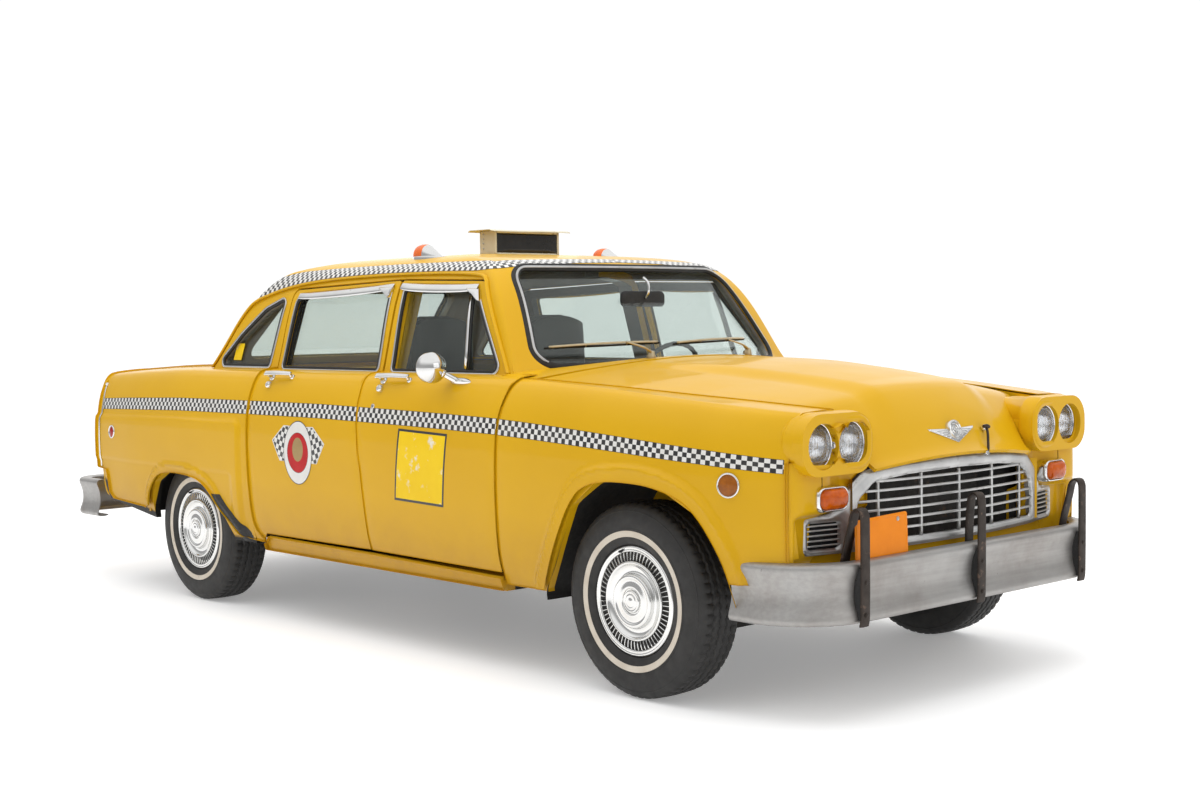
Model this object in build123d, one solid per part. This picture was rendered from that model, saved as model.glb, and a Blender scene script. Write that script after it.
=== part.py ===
"""Purpose-built taxi sedan, separate-frame construction.

Frame: X forward, Y to the car's left, Z up, millimetres.
Origin: on the ground, under the middle of the overall box.
"""
from build123d import *
from math import sin, cos, tan, radians, sqrt, pi, atan2
import os

os.makedirs("parts", exist_ok=True)

# ------------------------------------------------------------ driving sizes
WHEELBASE = 3048
X_FA = 1780                     # front axle
X_RA = X_FA - WHEELBASE         # rear axle
TYRE_R = 346.5
TYRE_W = 208
RIM_R = 195
TRACK_F = 818.5                 # half track at the tyre's middle, front
TRACK_R = 804                   # and rear
Y_KING = 700                    # kingpin
BELT_Z = 1115
ROOF_Z = 1618
DOOR_GAP = 7                    # shut gap at the skin
SHELL_T = 34                    # greenhouse wall
SKIN_T = 25                     # wing and quarter wall
DOOR_IN_Y = 835                 # door's trim face
HINGE_Y = 962                   # door hinge line

out = {}


# ------------------------------------------------------------ helpers
def place(plane, k):
    """Map (u, v) to 3-D on one of the row's planes at offset k."""
    return {"xz": lambda u, v: Vector(u, k, v),
            "yz": lambda u, v: Vector(k, u, v),
            "xy": lambda u, v: Vector(u, v, k)}[plane]


def outline(pts, plane, k=0.0):
    """Closed wire of lines and tangent arcs; pts rows are (u, v[, radius])."""
    m = place(plane, k)
    n = len(pts)
    pieces = []
    for i in range(n):
        p = pts[i]
        r = p[2] if len(p) > 2 else 0
        P = m(p[0], p[1])
        if r <= 0:
            pieces.append((P, None, P))
            continue
        A = m(*pts[i - 1][:2])
        B = m(*pts[(i + 1) % n][:2])
        a = (A - P).normalized()
        b = (B - P).normalized()
        half = radians(a.get_angle(b)) / 2
        d = r / tan(half)
        mid = P + (a + b).normalized() * (r / sin(half) - r)
        pieces.append((P + a * d, mid, P + b * d))
    edges = []
    for i in range(n):
        s, mid, e = pieces[i]
        if mid is not None:
            edges.append(Edge.make_three_point_arc(s, mid, e))
        nxt = pieces[(i + 1) % n][0]
        if (nxt - e).length > 1e-6:
            edges.append(Edge.make_line(e, nxt))
    return Wire(edges)


def prism(pts, plane, k0, k1):
    """Outline pushed from k0 to k1 along the plane's normal."""
    w = outline(pts, plane, k0)
    d = {"xz": Vector(0, k1 - k0, 0), "yz": Vector(k1 - k0, 0, 0),
         "xy": Vector(0, 0, k1 - k0)}[plane]
    return Solid.extrude(Face(w), d)


def box(x0, x1, y0, y1, z0, z1):
    return Solid.make_box(x1 - x0, y1 - y0, z1 - z0,
                          Plane(origin=(x0, y0, z0)))


def cyl(r, h, at, direction):
    return Solid.make_cylinder(r, h, Plane(origin=at, z_dir=direction))


def solids(s):
    if s is None:
        return []
    if isinstance(s, (list, tuple, ShapeList)):
        return [q for t in s for q in solids(t)]
    return list(s.solids())


def fuse(*ss):
    ss = solids(ss)
    r = ss[0]
    if len(ss) > 1:
        r = ss[0].fuse(*ss[1:])
    return solids(r)


def cut(a, *bs):
    bs = solids(bs)
    res = []
    for s in solids(a):
        res += solids(s.cut(*bs))
    return res


def common(a, b):
    res = []
    for s in solids(a):
        for t in solids(b):
            res += solids(s.intersect(t))
    return res


def flip(ss):
    return [s.mirror(Plane.XZ) for s in solids(ss)]


def save(node, ss, one=False):
    ss = [s for s in solids(ss) if abs(s.volume) > 200]
    if one:
        ss = sorted(ss, key=lambda s: -s.volume)[:1]
    out[node] = ss
    shape = ss[0] if len(ss) == 1 else Compound(ss)
    export_step(shape, f"parts/{node}.step")
    bb = shape.bounding_box()
    print(f"{node:22s} solids {len(ss)}  volume {sum(s.volume for s in ss)/1e6:9.3f} dm3 "
          f"x {bb.min.X:.0f}..{bb.max.X:.0f} y {bb.min.Y:.0f}..{bb.max.Y:.0f} z {bb.min.Z:.0f}..{bb.max.Z:.0f}")


# ------------------------------------------------------------ greenhouse
# plan sections; columns: height, front middle x, front corner x and |y|,
# side from x and |y|, side to x, rear corner x and |y|, rear middle x, and
# how far the inner wall drops for each mm of wall
GREENHOUSE = [
    (BELT_Z, 1232, 1045, 712, 1022, 800, -1250, -1440, 640, -1500, 0.0),
    (1500, 860, 790, 603, 768, 690, -900, -1010, 565, -1045, 0.25),
    (1562, 770, 712, 560, 660, 642, -760, -860, 505, -880, 0.75),
    (1600, 520, 480, 470, 430, 540, -430, -500, 405, -520, 1.0),
    (ROOF_Z, 230, 212, 250, 190, 300, -200, -230, 232, -240, 1.0),
]


def house_section(row, off):
    z, xf, xk, yk, xs, hw, xe, xr, yr, xm, kz = row
    zz = z - off * kz
    if z == BELT_Z and off > 0:
        zz = z - 1
    xf, xk, xs = xf - 1.35 * off, xk - 1.2 * off, xs - 0.8 * off
    xe, xr, xm = xe + 0.8 * off, xr + 1.2 * off, xm + 1.35 * off
    hw, yk, yr = hw - off, yk - 0.55 * off, yr - 0.55 * off
    V = lambda x, y: Vector(x, y, zz)
    e = [Edge.make_three_point_arc(V(xk, -yk), V(xf, 0), V(xk, yk)),
         Edge.make_line(V(xk, yk), V(xs, hw)),
         Edge.make_line(V(xs, hw), V(xe, hw)),
         Edge.make_line(V(xe, hw), V(xr, yr)),
         Edge.make_three_point_arc(V(xr, yr), V(xm, 0), V(xr, -yr)),
         Edge.make_line(V(xr, -yr), V(xe, -hw)),
         Edge.make_line(V(xe, -hw), V(xs, -hw)),
         Edge.make_line(V(xs, -hw), V(xk, -yk))]
    return Wire(e)


def house(off):
    return Solid.make_loft([house_section(r, off) for r in GREENHOUSE], ruled=True)


house_out = house(0)
house_in = house(SHELL_T)
shell = cut(house_out, house_in)

# side outlines in X and Z: door frames above the belt, their windows
FRONT_FRAME = [(984, BELT_Z), (728, 1487, 40), (165, 1503, 12), (165, BELT_Z)]
REAR_FRAME = [(151, BELT_Z), (151, 1503, 12), (-655, 1478, 40), (-668, BELT_Z)]
FRONT_GLASS = [(925, BELT_Z + 14, 18), (688, 1452, 30), (208, 1466, 18), (226, BELT_Z + 14, 12)]
REAR_GLASS = [(112, BELT_Z + 14, 12), (100, 1466, 18), (-606, 1440, 30), (-622, BELT_Z + 14, 12)]
QUARTER_GLASS = [(-748, BELT_Z + 20, 12), (-712, 1440, 20), (-860, 1390, 120), (-1030, 1275, 120), (-1190, BELT_Z + 20, 20)]
# windscreen and back window outlines in Y and Z
SCREEN = [(-690, BELT_Z + 35, 60), (690, BELT_Z + 35, 60), (588, 1535, 90), (-588, 1535, 90)]
BACKLIGHT = [(-560, BELT_Z + 40, 60), (560, BELT_Z + 40, 60), (500, 1478, 70), (-500, 1478, 70)]


def grow(pts, dx0, dx1, dz):
    """Door opening: the frame's outline moved out on its three free sides."""
    cx = sum(p[0] for p in pts) / len(pts)
    g = [(p[0] + (dx1 if p[0] > cx else -dx0), p[1] + (dz if p[1] > 1300 else 0)) + tuple(p[2:]) for p in pts]
    for end, nxt in ((0, 1), (-1, -2)):          # run the sides on below the belt
        k = 20 / (g[nxt][1] - g[end][1])
        g[end] = (g[end][0] + (g[end][0] - g[nxt][0]) * k, BELT_Z - 20)
    return g


def both(pts, y0=560, y1=1000):
    return [prism(pts, "xz", y0, y1), prism(pts, "xz", -y1, -y0)]


front_open = both(grow(FRONT_FRAME, 14, 20, 10))
rear_open = both(grow(REAR_FRAME, 16, 14, 10))
screen_cut = prism(SCREEN, "yz", 500, 1400)
back_cut = prism(BACKLIGHT, "yz", -1700, -700)
quarter_cut = both(QUARTER_GLASS)

# posts inside the door edges
POST_X = (112, 204)                 # centre post, from and to
post_ring = cut(house(SHELL_T + 6), house(SHELL_T + 44))
post_cap = cut(house(SHELL_T - 2), house(SHELL_T + 44))
post_up = common(post_ring, both([(POST_X[1], BELT_Z - 2), (POST_X[1], 1530), (POST_X[0], 1530), (POST_X[0], BELT_Z - 2)], 400, 900))
post_up += common(post_cap, both([(POST_X[1], 1520), (POST_X[1], 1562), (POST_X[0], 1562), (POST_X[0], 1520)], 400, 900))
post_low = [box(*POST_X, min(s * 700, s * 752), max(s * 700, s * 752), 365, BELT_Z) for s in (1, -1)]
A_POST = [(1104, 366), (1104, 938), (1136, 1030), (1225, 1030), (1225, 366)]
A_POST_IN = [(1002, BELT_Z + 4), (1040, BELT_Z + 4), (1225, 1050), (1225, 366), (1104, 366), (1104, 880), (1002, 1000)]
a_post = [fuse(prism(A_POST, "xz", s * 795, s * 858), prism(A_POST_IN, "xz", s * 752, s * 798)) for s in (1, -1)]
roof = shell
for opening in (screen_cut, back_cut, quarter_cut, front_open, rear_open):
    roof = cut(roof, opening)
roof_shell = fuse(roof, post_up, post_low, a_post)
save("roof_shell", roof_shell, one=True)

# glass
glass_layer = cut(house(12), house(18))
side_layer = cut(house(14), house(19))
windshield = common(glass_layer, screen_cut)
backlight = common(glass_layer, back_cut)
quarter_glass = common(side_layer, quarter_cut)
save("fixed_glass", [windshield, backlight, quarter_glass])

# ------------------------------------------------------------ doors
# outer side profile (|y|, z), widest at the middle of the door
SIDE = [(905, 310), (957, 560), (962, 700), (955, 905), (915, 1060), (900, 1092), (868, BELT_Z - 4)]


def door_profile(x):
    V = lambda y, z: Vector(x, y, z)
    s = SIDE
    e = [Edge.make_three_point_arc(V(*s[0]), V(*s[1]), V(*s[2])),
         Edge.make_three_point_arc(V(*s[2]), V(*s[3]), V(*s[4])),
         Edge.make_three_point_arc(V(*s[4]), V(*s[5]), V(*s[6])),
         Edge.make_line(V(*s[6]), V(800, BELT_Z)),
         Edge.make_line(V(800, BELT_Z), V(800 - SHELL_T, BELT_Z)),
         Edge.make_line(V(800 - SHELL_T, BELT_Z), V(800 - SHELL_T, 1070)),
         Edge.make_line(V(800 - SHELL_T, 1070), V(DOOR_IN_Y, 1030)),
         Edge.make_line(V(DOOR_IN_Y, 1030), V(DOOR_IN_Y, 310)),
         Edge.make_line(V(DOOR_IN_Y, 310), V(*s[0]))]
    return Wire(e)


door_bar = Solid.extrude(Face(door_profile(-1300)), Vector(2700, 0, 0))
door_bar = cut(door_bar, box(978, 1300, 700, 808, 1000, 1300))   # clears the screen pillar
# skins: outlines in X and Z, bottom first
FRONT_SKIN = [(1090, 368, 12), (1092, 930, 60), (1143, BELT_Z + 20), (165, BELT_Z + 20), (178, 925, 300), (242, 380, 12)]
REAR_SKIN = [(235, 380, 12), (171, 925, 300), (158, BELT_Z + 20), (-676, BELT_Z + 20), (-676, 930), (-664, 430, 90), (-585, 352), (-560, 384)]
FRONT_BOX = [(1078, 385, 12), (1078, 935, 60), (1130, BELT_Z + 20), (195, BELT_Z + 20), (208, 925, 300), (272, 395, 12)]
REAR_BOX = [(222, 395, 12), (158, 925, 300), (147, BELT_Z + 20), (-646, BELT_Z + 20), (-646, 930), (-632, 440, 90), (-545, 398)]
Y_REBATE = 932


def door(skin, core, frame, glass):
    low = fuse(common(common(door_bar, prism(skin, "xz", 700, 1000)), box(-1400, 1400, Y_REBATE, 1000, 300, 1200)),
               common(common(door_bar, prism(core, "xz", 700, 1000)), box(-1400, 1400, 700, Y_REBATE, 300, 1200)))
    up = cut(common(shell, prism(frame, "xz", 560, 1000)), prism(glass, "xz", 560, 1000))
    return fuse(low, up)


def pane(glass):
    return common(side_layer, prism(glass, "xz", 560, 1000))


def mirror_head():
    foot, top = Vector(802, 880, 1084), Vector(730, 978, 1150)
    stalk = Solid.make_cylinder(8, (top - foot).length, Plane(origin=foot, z_dir=top - foot))
    head = Solid.make_cylinder(58, 26, Plane(origin=top - Vector(16, 0, 0), z_dir=(1, 0.12, 0)))
    return fuse(stalk, head)


front_door = fuse(door(FRONT_SKIN, FRONT_BOX, FRONT_FRAME, FRONT_GLASS), mirror_head())
rear_door = door(REAR_SKIN, REAR_BOX, REAR_FRAME, REAR_GLASS)
save("front_door_left", front_door, one=True)
save("front_door_right", flip(front_door), one=True)
save("rear_door_left", rear_door, one=True)
save("rear_door_right", flip(rear_door), one=True)
for tag, g in (("front", pane(FRONT_GLASS)), ("rear", pane(REAR_GLASS))):
    save(f"{tag}_door_glass_left", g)
    save(f"{tag}_door_glass_right", flip(g))

# ------------------------------------------------------------ front wings
# columns: x, widest |y|, low edge z, shoulder z, hood edge |y| and z
WING = [(1097, 955, 330, 1108, 852, 1106),
        (1500, 955, 330, 1088, 795, 1086),
        (1900, 952, 330, 1058, 712, 1056),
        (2180, 922, 345, 1034, 660, 1036),
        (2300, 890, 360, 1024, 632, 1026),
        (2430, 835, 400, 1008, 606, 1016)]


def wing_section(row):
    x, w, zl, zt, ye, zs = row
    V = lambda y, z: Vector(x, y, z)
    t = SKIN_T
    e = [Edge.make_three_point_arc(V(w - 48, zl), V(w - 5, 540), V(w, 690)),
         Edge.make_three_point_arc(V(w, 690), V(w - 8, zt - 190), V(w - 42, zt - 50)),
         Edge.make_three_point_arc(V(w - 42, zt - 50), V(w - 58, zt - 18), V(w - 95, zt)),
         Edge.make_line(V(w - 95, zt), V(ye, zs)),
         Edge.make_line(V(ye, zs), V(ye, zs - t)),
         Edge.make_line(V(ye, zs - t), V(w - 100, zt - t)),
         Edge.make_line(V(w - 100, zt - t), V(w - 70, zt - 75)),
         Edge.make_line(V(w - 70, zt - 75), V(w - t - 2, 690)),
         Edge.make_line(V(w - t - 2, 690), V(w - 48 - t, zl)),
         Edge.make_line(V(w - 48 - t, zl), V(w - 48, zl))]
    return Wire(e)


def apron_section(row):
    x, w, zl, zt, ye, zs = row
    return outline([(ye + 6, zs - 23), (ye + 6, zs - 48), (531, 725), (531, 450), (516, 450), (516, 738)][::-1], "yz", x)


ARCH_F = [(X_FA - 449, 300), (X_FA - 449, 343), (X_FA - 339, 543), (X_FA - 264, 669, 60), (X_FA - 110, 776, 200),
          (X_FA + 130, 776, 200), (X_FA + 353, 659, 120), (X_FA + 440, 500), (X_FA + 470, 300)]
wing_skin = Solid.make_loft([wing_section(r) for r in WING], ruled=True)
wing_skin = cut(wing_skin, prism(ARCH_F, "xz", 600, 1000), box(2190, 2500, 600, 1000, 300, 545),
                prism([(1000, 300), (1097, 300), (1099, 930), (1150, 1135), (1000, 1135)], "xz", 700, 1000))
apron = Solid.make_loft([apron_section(r) for r in
                         [(1232, 955, 330, 1102, 834, 1100)] + WING[1:5]], ruled=True)
apron = cut(apron, box(1680, 1880, 480, 560, 400, 512))
POD = (475, 835, 812, 1015)         # |y| from, to, z from, to
pod = prism([(POD[0], POD[2], 80), (POD[1], POD[2], 80), (POD[1], POD[3], 90), (POD[0], POD[3], 90)], "yz", 2346, 2492)
LAMPS = [(729, 909), (576, 909)]    # headlamp centres |y|, z
LAMP_R = 73
front_wing = fuse(wing_skin, apron, pod)
for y, z in LAMPS:
    front_wing = cut(front_wing, cyl(LAMP_R + 3, 120, (2400, y, z), (1, 0, 0)))
save("front_wings", [sorted(s, key=lambda q: -q.volume)[0] for s in (front_wing, flip(front_wing))])

# ------------------------------------------------------------ hood
# columns: x, half width, edge z, middle z
HOOD = [(1097, 839, 1106, 1178), (1500, 788, 1086, 1170), (1900, 705, 1056, 1144), (2180, 653, 1036, 1115), (2300, 625, 1026, 1097), (2336, 617, 1023, 1090)]


def hood_section(row, t0, t1, dw=0):
    x, w, zs, zc = row
    V = lambda y, z: Vector(x, y, z)
    w = w - dw
    return Wire([Edge.make_three_point_arc(V(-w, zs - t0), V(0, zc - t0), V(w, zs - t0)),
                 Edge.make_line(V(w, zs - t0), V(w, zs - t1)),
                 Edge.make_three_point_arc(V(w, zs - t1), V(0, zc - t1), V(-w, zs - t1)),
                 Edge.make_line(V(-w, zs - t1), V(-w, zs - t0))])


hood_slab = Solid.make_loft([hood_section(r, 0, 22) for r in HOOD], ruled=True)
HOOD_REAR_MID, HOOD_REAR_SIDE = 1290, 1172
hood_plan = Wire([Edge.make_three_point_arc(Vector(HOOD_REAR_SIDE, -900, 900), Vector(HOOD_REAR_MID, 0, 900), Vector(HOOD_REAR_SIDE, 900, 900)),
                  Edge.make_line(Vector(HOOD_REAR_SIDE, 900, 900), Vector(2500, 900, 900)),
                  Edge.make_line(Vector(2500, 900, 900), Vector(2500, -900, 900)),
                  Edge.make_line(Vector(2500, -900, 900), Vector(HOOD_REAR_SIDE, -900, 900))])
hood_zone = Solid.extrude(Face(hood_plan), Vector(0, 0, 400))
NOSE = [(2325, 1092.5), (2375, 1063, 40), (2432, 985, 60), (2475, 905, 60), (2530, 850), (2515, 842), (2455, 895, 60), (2414, 972, 60), (2358, 1045, 40), (2325, 1068)]
nose = prism(NOSE, "xz", -462, 462)
hood = fuse(common(hood_slab, hood_zone), nose)
save("hood", hood, one=True)

# cowl between hood and windscreen
COWL = [(960, 868, 1112, 1176), (1150, 852, 1106, 1177), (1330, 822, 1096, 1176)]
cowl_slab = Solid.make_loft([hood_section(r, 0, 20) for r in COWL], ruled=True)
hood_gap_plan = Wire([Edge.make_three_point_arc(Vector(HOOD_REAR_SIDE - 7, -900, 900), Vector(HOOD_REAR_MID - 7, 0, 900), Vector(HOOD_REAR_SIDE - 7, 900, 900)),
                      Edge.make_line(Vector(HOOD_REAR_SIDE - 7, 900, 900), Vector(2500, 900, 900)),
                      Edge.make_line(Vector(2500, 900, 900), Vector(2500, -900, 900)),
                      Edge.make_line(Vector(2500, -900, 900), Vector(HOOD_REAR_SIDE - 7, -900, 900))])
hood_gap_zone = Solid.extrude(Face(hood_gap_plan), Vector(0, 0, 400))
house_foot = Solid.make_loft([house_section((BELT_Z - 60,) + GREENHOUSE[0][1:], 0), house_section(GREENHOUSE[0], 0)], ruled=True)
cowl = cut(cowl_slab, hood_gap_zone, house_out, house_foot, front_wing, flip(front_wing), roof_shell, box(900, 1052, -900, 900, 1000, 1300), box(900, 1152, 748, 900, 1000, 1300), box(900, 1152, -900, -748, 1000, 1300))
save("cowl_panel", [cowl, ], one=True)

# ------------------------------------------------------------ rear quarters
# columns: x, widest |y|, low z, shoulder z, top z at the lid
QUARTER = [(-684, 962, 330, 1111, 1116), (-1268, 962, 330, 1111, 1116), (-1700, 956, 380, 1098, 1108), (-2172, 932, 430, 1074, 1086), (-2280, 926, 440, 1067, 1078)]
Y_LID = 612
# the tail is bowed in plan: radius of its face and where that is centred
TAIL_R, TAIL_MID_X = 4353, -2290
TAIL_CX = TAIL_MID_X + TAIL_R


def turned(radius, x_mid, z0, z1, inside=True):
    """Slice about the tail's centre: in front of the bowed face whose middle
    is at x_mid, or everything behind it."""
    r = TAIL_CX - x_mid
    disc = Solid.make_cylinder(r, z1 - z0, Plane(origin=(TAIL_CX, 0, z0)))
    if inside:
        return disc
    return cut(box(-2600, -2000, -1000, 1000, z0, z1), disc)



def quarter_section(row):
    x, w, zl, zt, zi = row
    V = lambda y, z: Vector(x, y, z)
    t = SKIN_T
    yi = 800 - 2 if x > -1300 else Y_LID
    yi = {-684: 772, -1268: 772, -1700: Y_LID, -2172: Y_LID, -2280: Y_LID}[x]
    e = [Edge.make_three_point_arc(V(w - 40, zl), V(w - 2, 560), V(w, 700)),
         Edge.make_three_point_arc(V(w, 700), V(w - 8, zt - 200), V(w - 47, zt - 51)),
         Edge.make_three_point_arc(V(w - 47, zt - 51), V(w - 62, zt - 19), V(w - 94, zt)),
         Edge.make_line(V(w - 94, zt), V(yi, zi - 2)),
         Edge.make_line(V(yi, zi - 2), V(yi, zi - t)),
         Edge.make_line(V(yi, zi - t), V(w - 100, zt - t)),
         Edge.make_line(V(w - 100, zt - t), V(w - 74, zt - 75)),
         Edge.make_line(V(w - 74, zt - 75), V(w - t - 2, 700)),
         Edge.make_line(V(w - t - 2, 700), V(w - 40 - t, zl)),
         Edge.make_line(V(w - 40 - t, zl), V(w - 40, zl))]
    return Wire(e)


ARCH_R = [(X_RA - 385, 200), (X_RA - 358, 440), (X_RA - 300, 560, 60), (X_RA - 180, 617, 120), (X_RA + 120, 614, 160), (X_RA + 260, 552, 160), (X_RA + 395, 350), (X_RA + 420, 200)]
q_skin = Solid.make_loft([quarter_section(r) for r in QUARTER], ruled=True)
q_skin = cut(q_skin, prism(ARCH_R, "xz", 700, 1000), turned(TAIL_R, TAIL_MID_X + 25, 300, 1300, inside=False))
# keep the front edge behind the door, with its dogleg
q_skin = cut(q_skin, prism([(-640, 300), (-640, 1300), (-684, 1300), (-684, 930), (-672, 430), (-606, 352), (-606, 300)], "xz", 600, 1000))
tub_ring = cut(cyl(420, 275, (X_RA, 655, TYRE_R), (0, 1, 0)), cyl(405, 275, (X_RA, 655, TYRE_R), (0, 1, 0)))
tub_ring = cut(tub_ring, box(-2000, -600, 600, 1000, -100, 402))
tub_wall = cut(cyl(420, 15, (X_RA, 655, TYRE_R), (0, 1, 0)), box(-2000, -600, 600, 1000, -100, 402))
jamb = prism([(-716, 362), (-716, 1085), (-736, 1085), (-736, 362)], "xz", 742, 905)
quarter = fuse(q_skin, tub_ring, tub_wall, jamb)
save("rear_quarters", [sorted(s, key=lambda q: -q.volume)[0] for s in (quarter, flip(quarter))])

# ------------------------------------------------------------ rear deck, tail, lid
deck = prism([(-1440, 1113), (-1440, 1093), (-1088, 1085), (-1088, 1070), (-1460, 1070), (-1588, 1090), (-1592, 1128), (-1510, 1131)], "xz", -600, 600)
deck = cut(deck, shell)
save("rear_deck", deck, one=True)
TAIL_OUT = [(-895, 440, 40), (895, 440, 40), (905, 700, 200), (880, 1050, 40), (612, 1070), (-612, 1070), (-880, 1050, 40), (-905, 700, 200)]
band = cut(Solid.make_cylinder(TAIL_R, 700, Plane(origin=(TAIL_CX, 0, 400))), Solid.make_cylinder(TAIL_R - 24, 700, Plane(origin=(TAIL_CX, 0, 400))))
tail = common(band, prism(TAIL_OUT, "yz", -2330, -2100))
tail = cut(tail, box(-2400, -2100, -608, 608, 698, 1200))
tail = cut(tail, [box(-2400, -2100, s0, s1, 400, 493) for s0, s1 in ((398, 472), (-472, -398))])
save("tail_panel", tail, one=True)
LID_PROUD = 8                       # the lid's face stands out of the tail
LX = TAIL_MID_X - LID_PROUD
LID = [(-1500, 1131), (-1900, 1119, 600), (LX + 102, 1096, 80), (LX + 36, 1050, 50), (LX, 930, 200), (LX, 706), (LX + 22, 706), (LX + 22, 930, 160), (LX + 56, 1036, 50), (LX + 114, 1075, 60), (-1900, 1097, 600), (-1500, 1109)]
lid = Solid.revolve(Face(outline([(p[0] - TAIL_CX,) + tuple(p[1:]) for p in LID], "xz", 0)), 24, Axis((0, 0, 0), (0, 0, 1))).rotate(Axis((0, 0, 0), (0, 0, 1)), -12).moved(Location((TAIL_CX, 0, 0)))
lid = common(lid, box(-2400, -1600, -600, 600, 600, 1300))
save("trunk_lid", lid)
tail_lamps = []
TAIL_LAMPS = [(770, 905), (770, 770)]    # |y|, z
for y, z in TAIL_LAMPS:
    cy, sy = sqrt(1 - (y / TAIL_R) ** 2), y / TAIL_R
    for s in (1, -1):
        at = lambda k: Vector(TAIL_CX - (TAIL_R + k) * cy, s * (TAIL_R + k) * sy, z)
        out_dir = Vector(-cy, s * sy, 0)
        tail_lamps.append(fuse(Solid.make_cylinder(56, 12, Plane(origin=at(0.6), z_dir=out_dir)),
                               Solid.make_cone(50, 34, 26, Plane(origin=at(12.5), z_dir=out_dir))))
save("tail_lamps", tail_lamps)

# ------------------------------------------------------------ nose, grille, lamps
nose_outer = [(-760, 450, 30), (760, 450, 30), (765, 545), (812, 700, 60), (800, 806), (-800, 806), (-812, 700, 60), (-765, 545)]
GRILLE_R, GRILLE_X = 2891, 2530      # plan radius and front of the bowed grille
GRILLE_CX = GRILLE_X - GRILLE_R


def bow(k0, k1, z0=300, z1=1100):
    """Bowed layer from k0 to k1 behind the grille's face."""
    return cut(Solid.make_cylinder(GRILLE_R - k0, z1 - z0, Plane(origin=(GRILLE_CX, 0, z0))),
               Solid.make_cylinder(GRILLE_R - k1, z1 - z0 + 20, Plane(origin=(GRILLE_CX, 0, z0 - 10))))


nose_panel = common(bow(24, 44), prism(nose_outer, "yz", 2300, 2600))
nose_panel = cut(nose_panel, prism([(-560, 562, 20), (560, 562, 20), (545, 690, 20), (470, 795, 60), (-470, 795, 60), (-545, 690, 20)], "yz", 2300, 2500))
radiator = box(2310, 2350, -330, 330, 460, 1000)
shelf = box(2310, 2466, -420, 420, 450, 466)
nose_node = fuse(nose_panel, shelf, radiator)
nose_node = cut(nose_node, front_wing, flip(front_wing))
save("nose_panel", nose_node, one=True)

GRILLE_OUT = [(-735, 541, 25), (735, 541, 25), (735, 672, 25), (588, 680, 40), (470, 812, 60), (250, 832, 100), (-250, 832, 100), (-470, 812, 60), (-588, 680, 40), (-735, 672, 25)]
GRILLE_IN = [(-555, 572, 15), (555, 572, 15), (545, 680, 40), (455, 790, 60), (-455, 790, 60), (-545, 680, 40)]
ring = common(bow(0, 22), cut(prism(GRILLE_OUT, "yz", 2300, 2600), prism(GRILLE_IN, "yz", 2300, 2600)))
bar_layer = bow(4, 20)
bars = [common(bar_layer, box(2300, 2600, -562, 562, z - 5, z + 5)) for z in (608, 642, 675)]
bars += [common(bar_layer, box(2300, 2600, -520, 520, z - 5, z + 5)) for z in (708, 743, 774)]
bars += [common(bow(2, 21), box(2300, 2600, y - 6, y + 6, 566, 798)) for y in (-420, -210, 0, 210, 420)]
grille = fuse(ring, bars)
save("grille", grille, one=True)

lamps = []
LAMP = [(2404, 0), (2404, LAMP_R), (2446, LAMP_R), (2460, 52), (2467, 0)]   # x, radius
lamp_body = Solid.revolve(Face(outline(LAMP, "xz", 0)), 360, Axis((0, 0, 0), (1, 0, 0)))
for s in (1, -1):
    for y, z in LAMPS:
        lamps.append(lamp_body.moved(Location((0, s * y, z))))
    lamps += solids(prism([(s * 588, 690, 38), (s * 735, 690, 38), (s * 735, 776, 38), (s * 588, 776, 38)], "yz", 2447, 2492))
save("front_lamps", lamps)

# ------------------------------------------------------------ bumpers
def bumper_plan(x_face, y_flat, r, y_out, x_end, off, sign):
    """Closed plan of the bumper's outside, drawn in by off."""
    xf, rr, yo = x_face - sign * off, r - off, y_out - off
    cx = x_face - sign * r
    V = lambda x, y: Vector(x, y, 0)
    k = sqrt(0.5)
    pts = []
    e = [Edge.make_line(V(xf, -y_flat), V(xf, y_flat)),
         Edge.make_three_point_arc(V(xf, y_flat), V(cx + sign * rr * k, y_flat + rr * k), V(cx, y_flat + rr)),
         Edge.make_line(V(cx, y_flat + rr), V(x_end, yo)),
         Edge.make_line(V(x_end, yo), V(x_end, -yo)),
         Edge.make_line(V(x_end, -yo), V(cx, -y_flat - rr)),
         Edge.make_three_point_arc(V(cx, -y_flat - rr), V(cx + sign * rr * k, -y_flat - rr * k), V(xf, -y_flat))]
    return Wire(e)


def bumper(x_face, y_flat, r, y_out, x_end, z0, z1, sign):
    def slab(off, a, b, extra=0):
        w = bumper_plan(x_face, y_flat, r, y_out, x_end - sign * extra, off, sign)
        return Solid.extrude(Face(w), Vector(0, 0, b - a)).moved(Location((0, 0, a)))
    b = cut(slab(0, z0, z1), slab(14, z0 + 12, z1 - 12, 5), slab(62, z0 - 5, z1 + 5, 5))
    return b


fb = bumper(2580, 620, 280, 900, 2222, 330, 535, 1)
GUARD = [(2581, 322), (2600, 340), (2600, 690, 14), (2588, 709, 10), (2574, 709, 10), (2500, 560), (2500, 500), (2512, 500), (2512, 556), (2576, 685, 6), (2586, 685, 6), (2586, 336), (2581, 336)]
GUARD_MID = [(2581, 322), (2600, 340), (2600, 690, 14), (2588, 709, 8), (2574, 709, 8), (2540, 560), (2540, 500), (2550, 500), (2550, 556), (2576, 685, 3), (2586, 685, 3), (2586, 336), (2581, 336)]
fb = fuse(fb, *[prism(GUARD, "xz", y - 23, y + 23) for y in (-649, 649)], prism(GUARD_MID, "xz", -23, 23),
          *[box(2505, 2571, y - 20, y + 20, 497, 525) for y in (-649, 649)], box(2515, 2571, -20, 20, 497, 525),
          *[box(2452, 2568, s * 435 - 30, s * 435 + 30, 370, 420) for s in (1, -1)])
PLATE = [(-662, 525, 10), (-357, 525, 10), (-357, 677, 10), (-662, 677, 10)]
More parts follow.
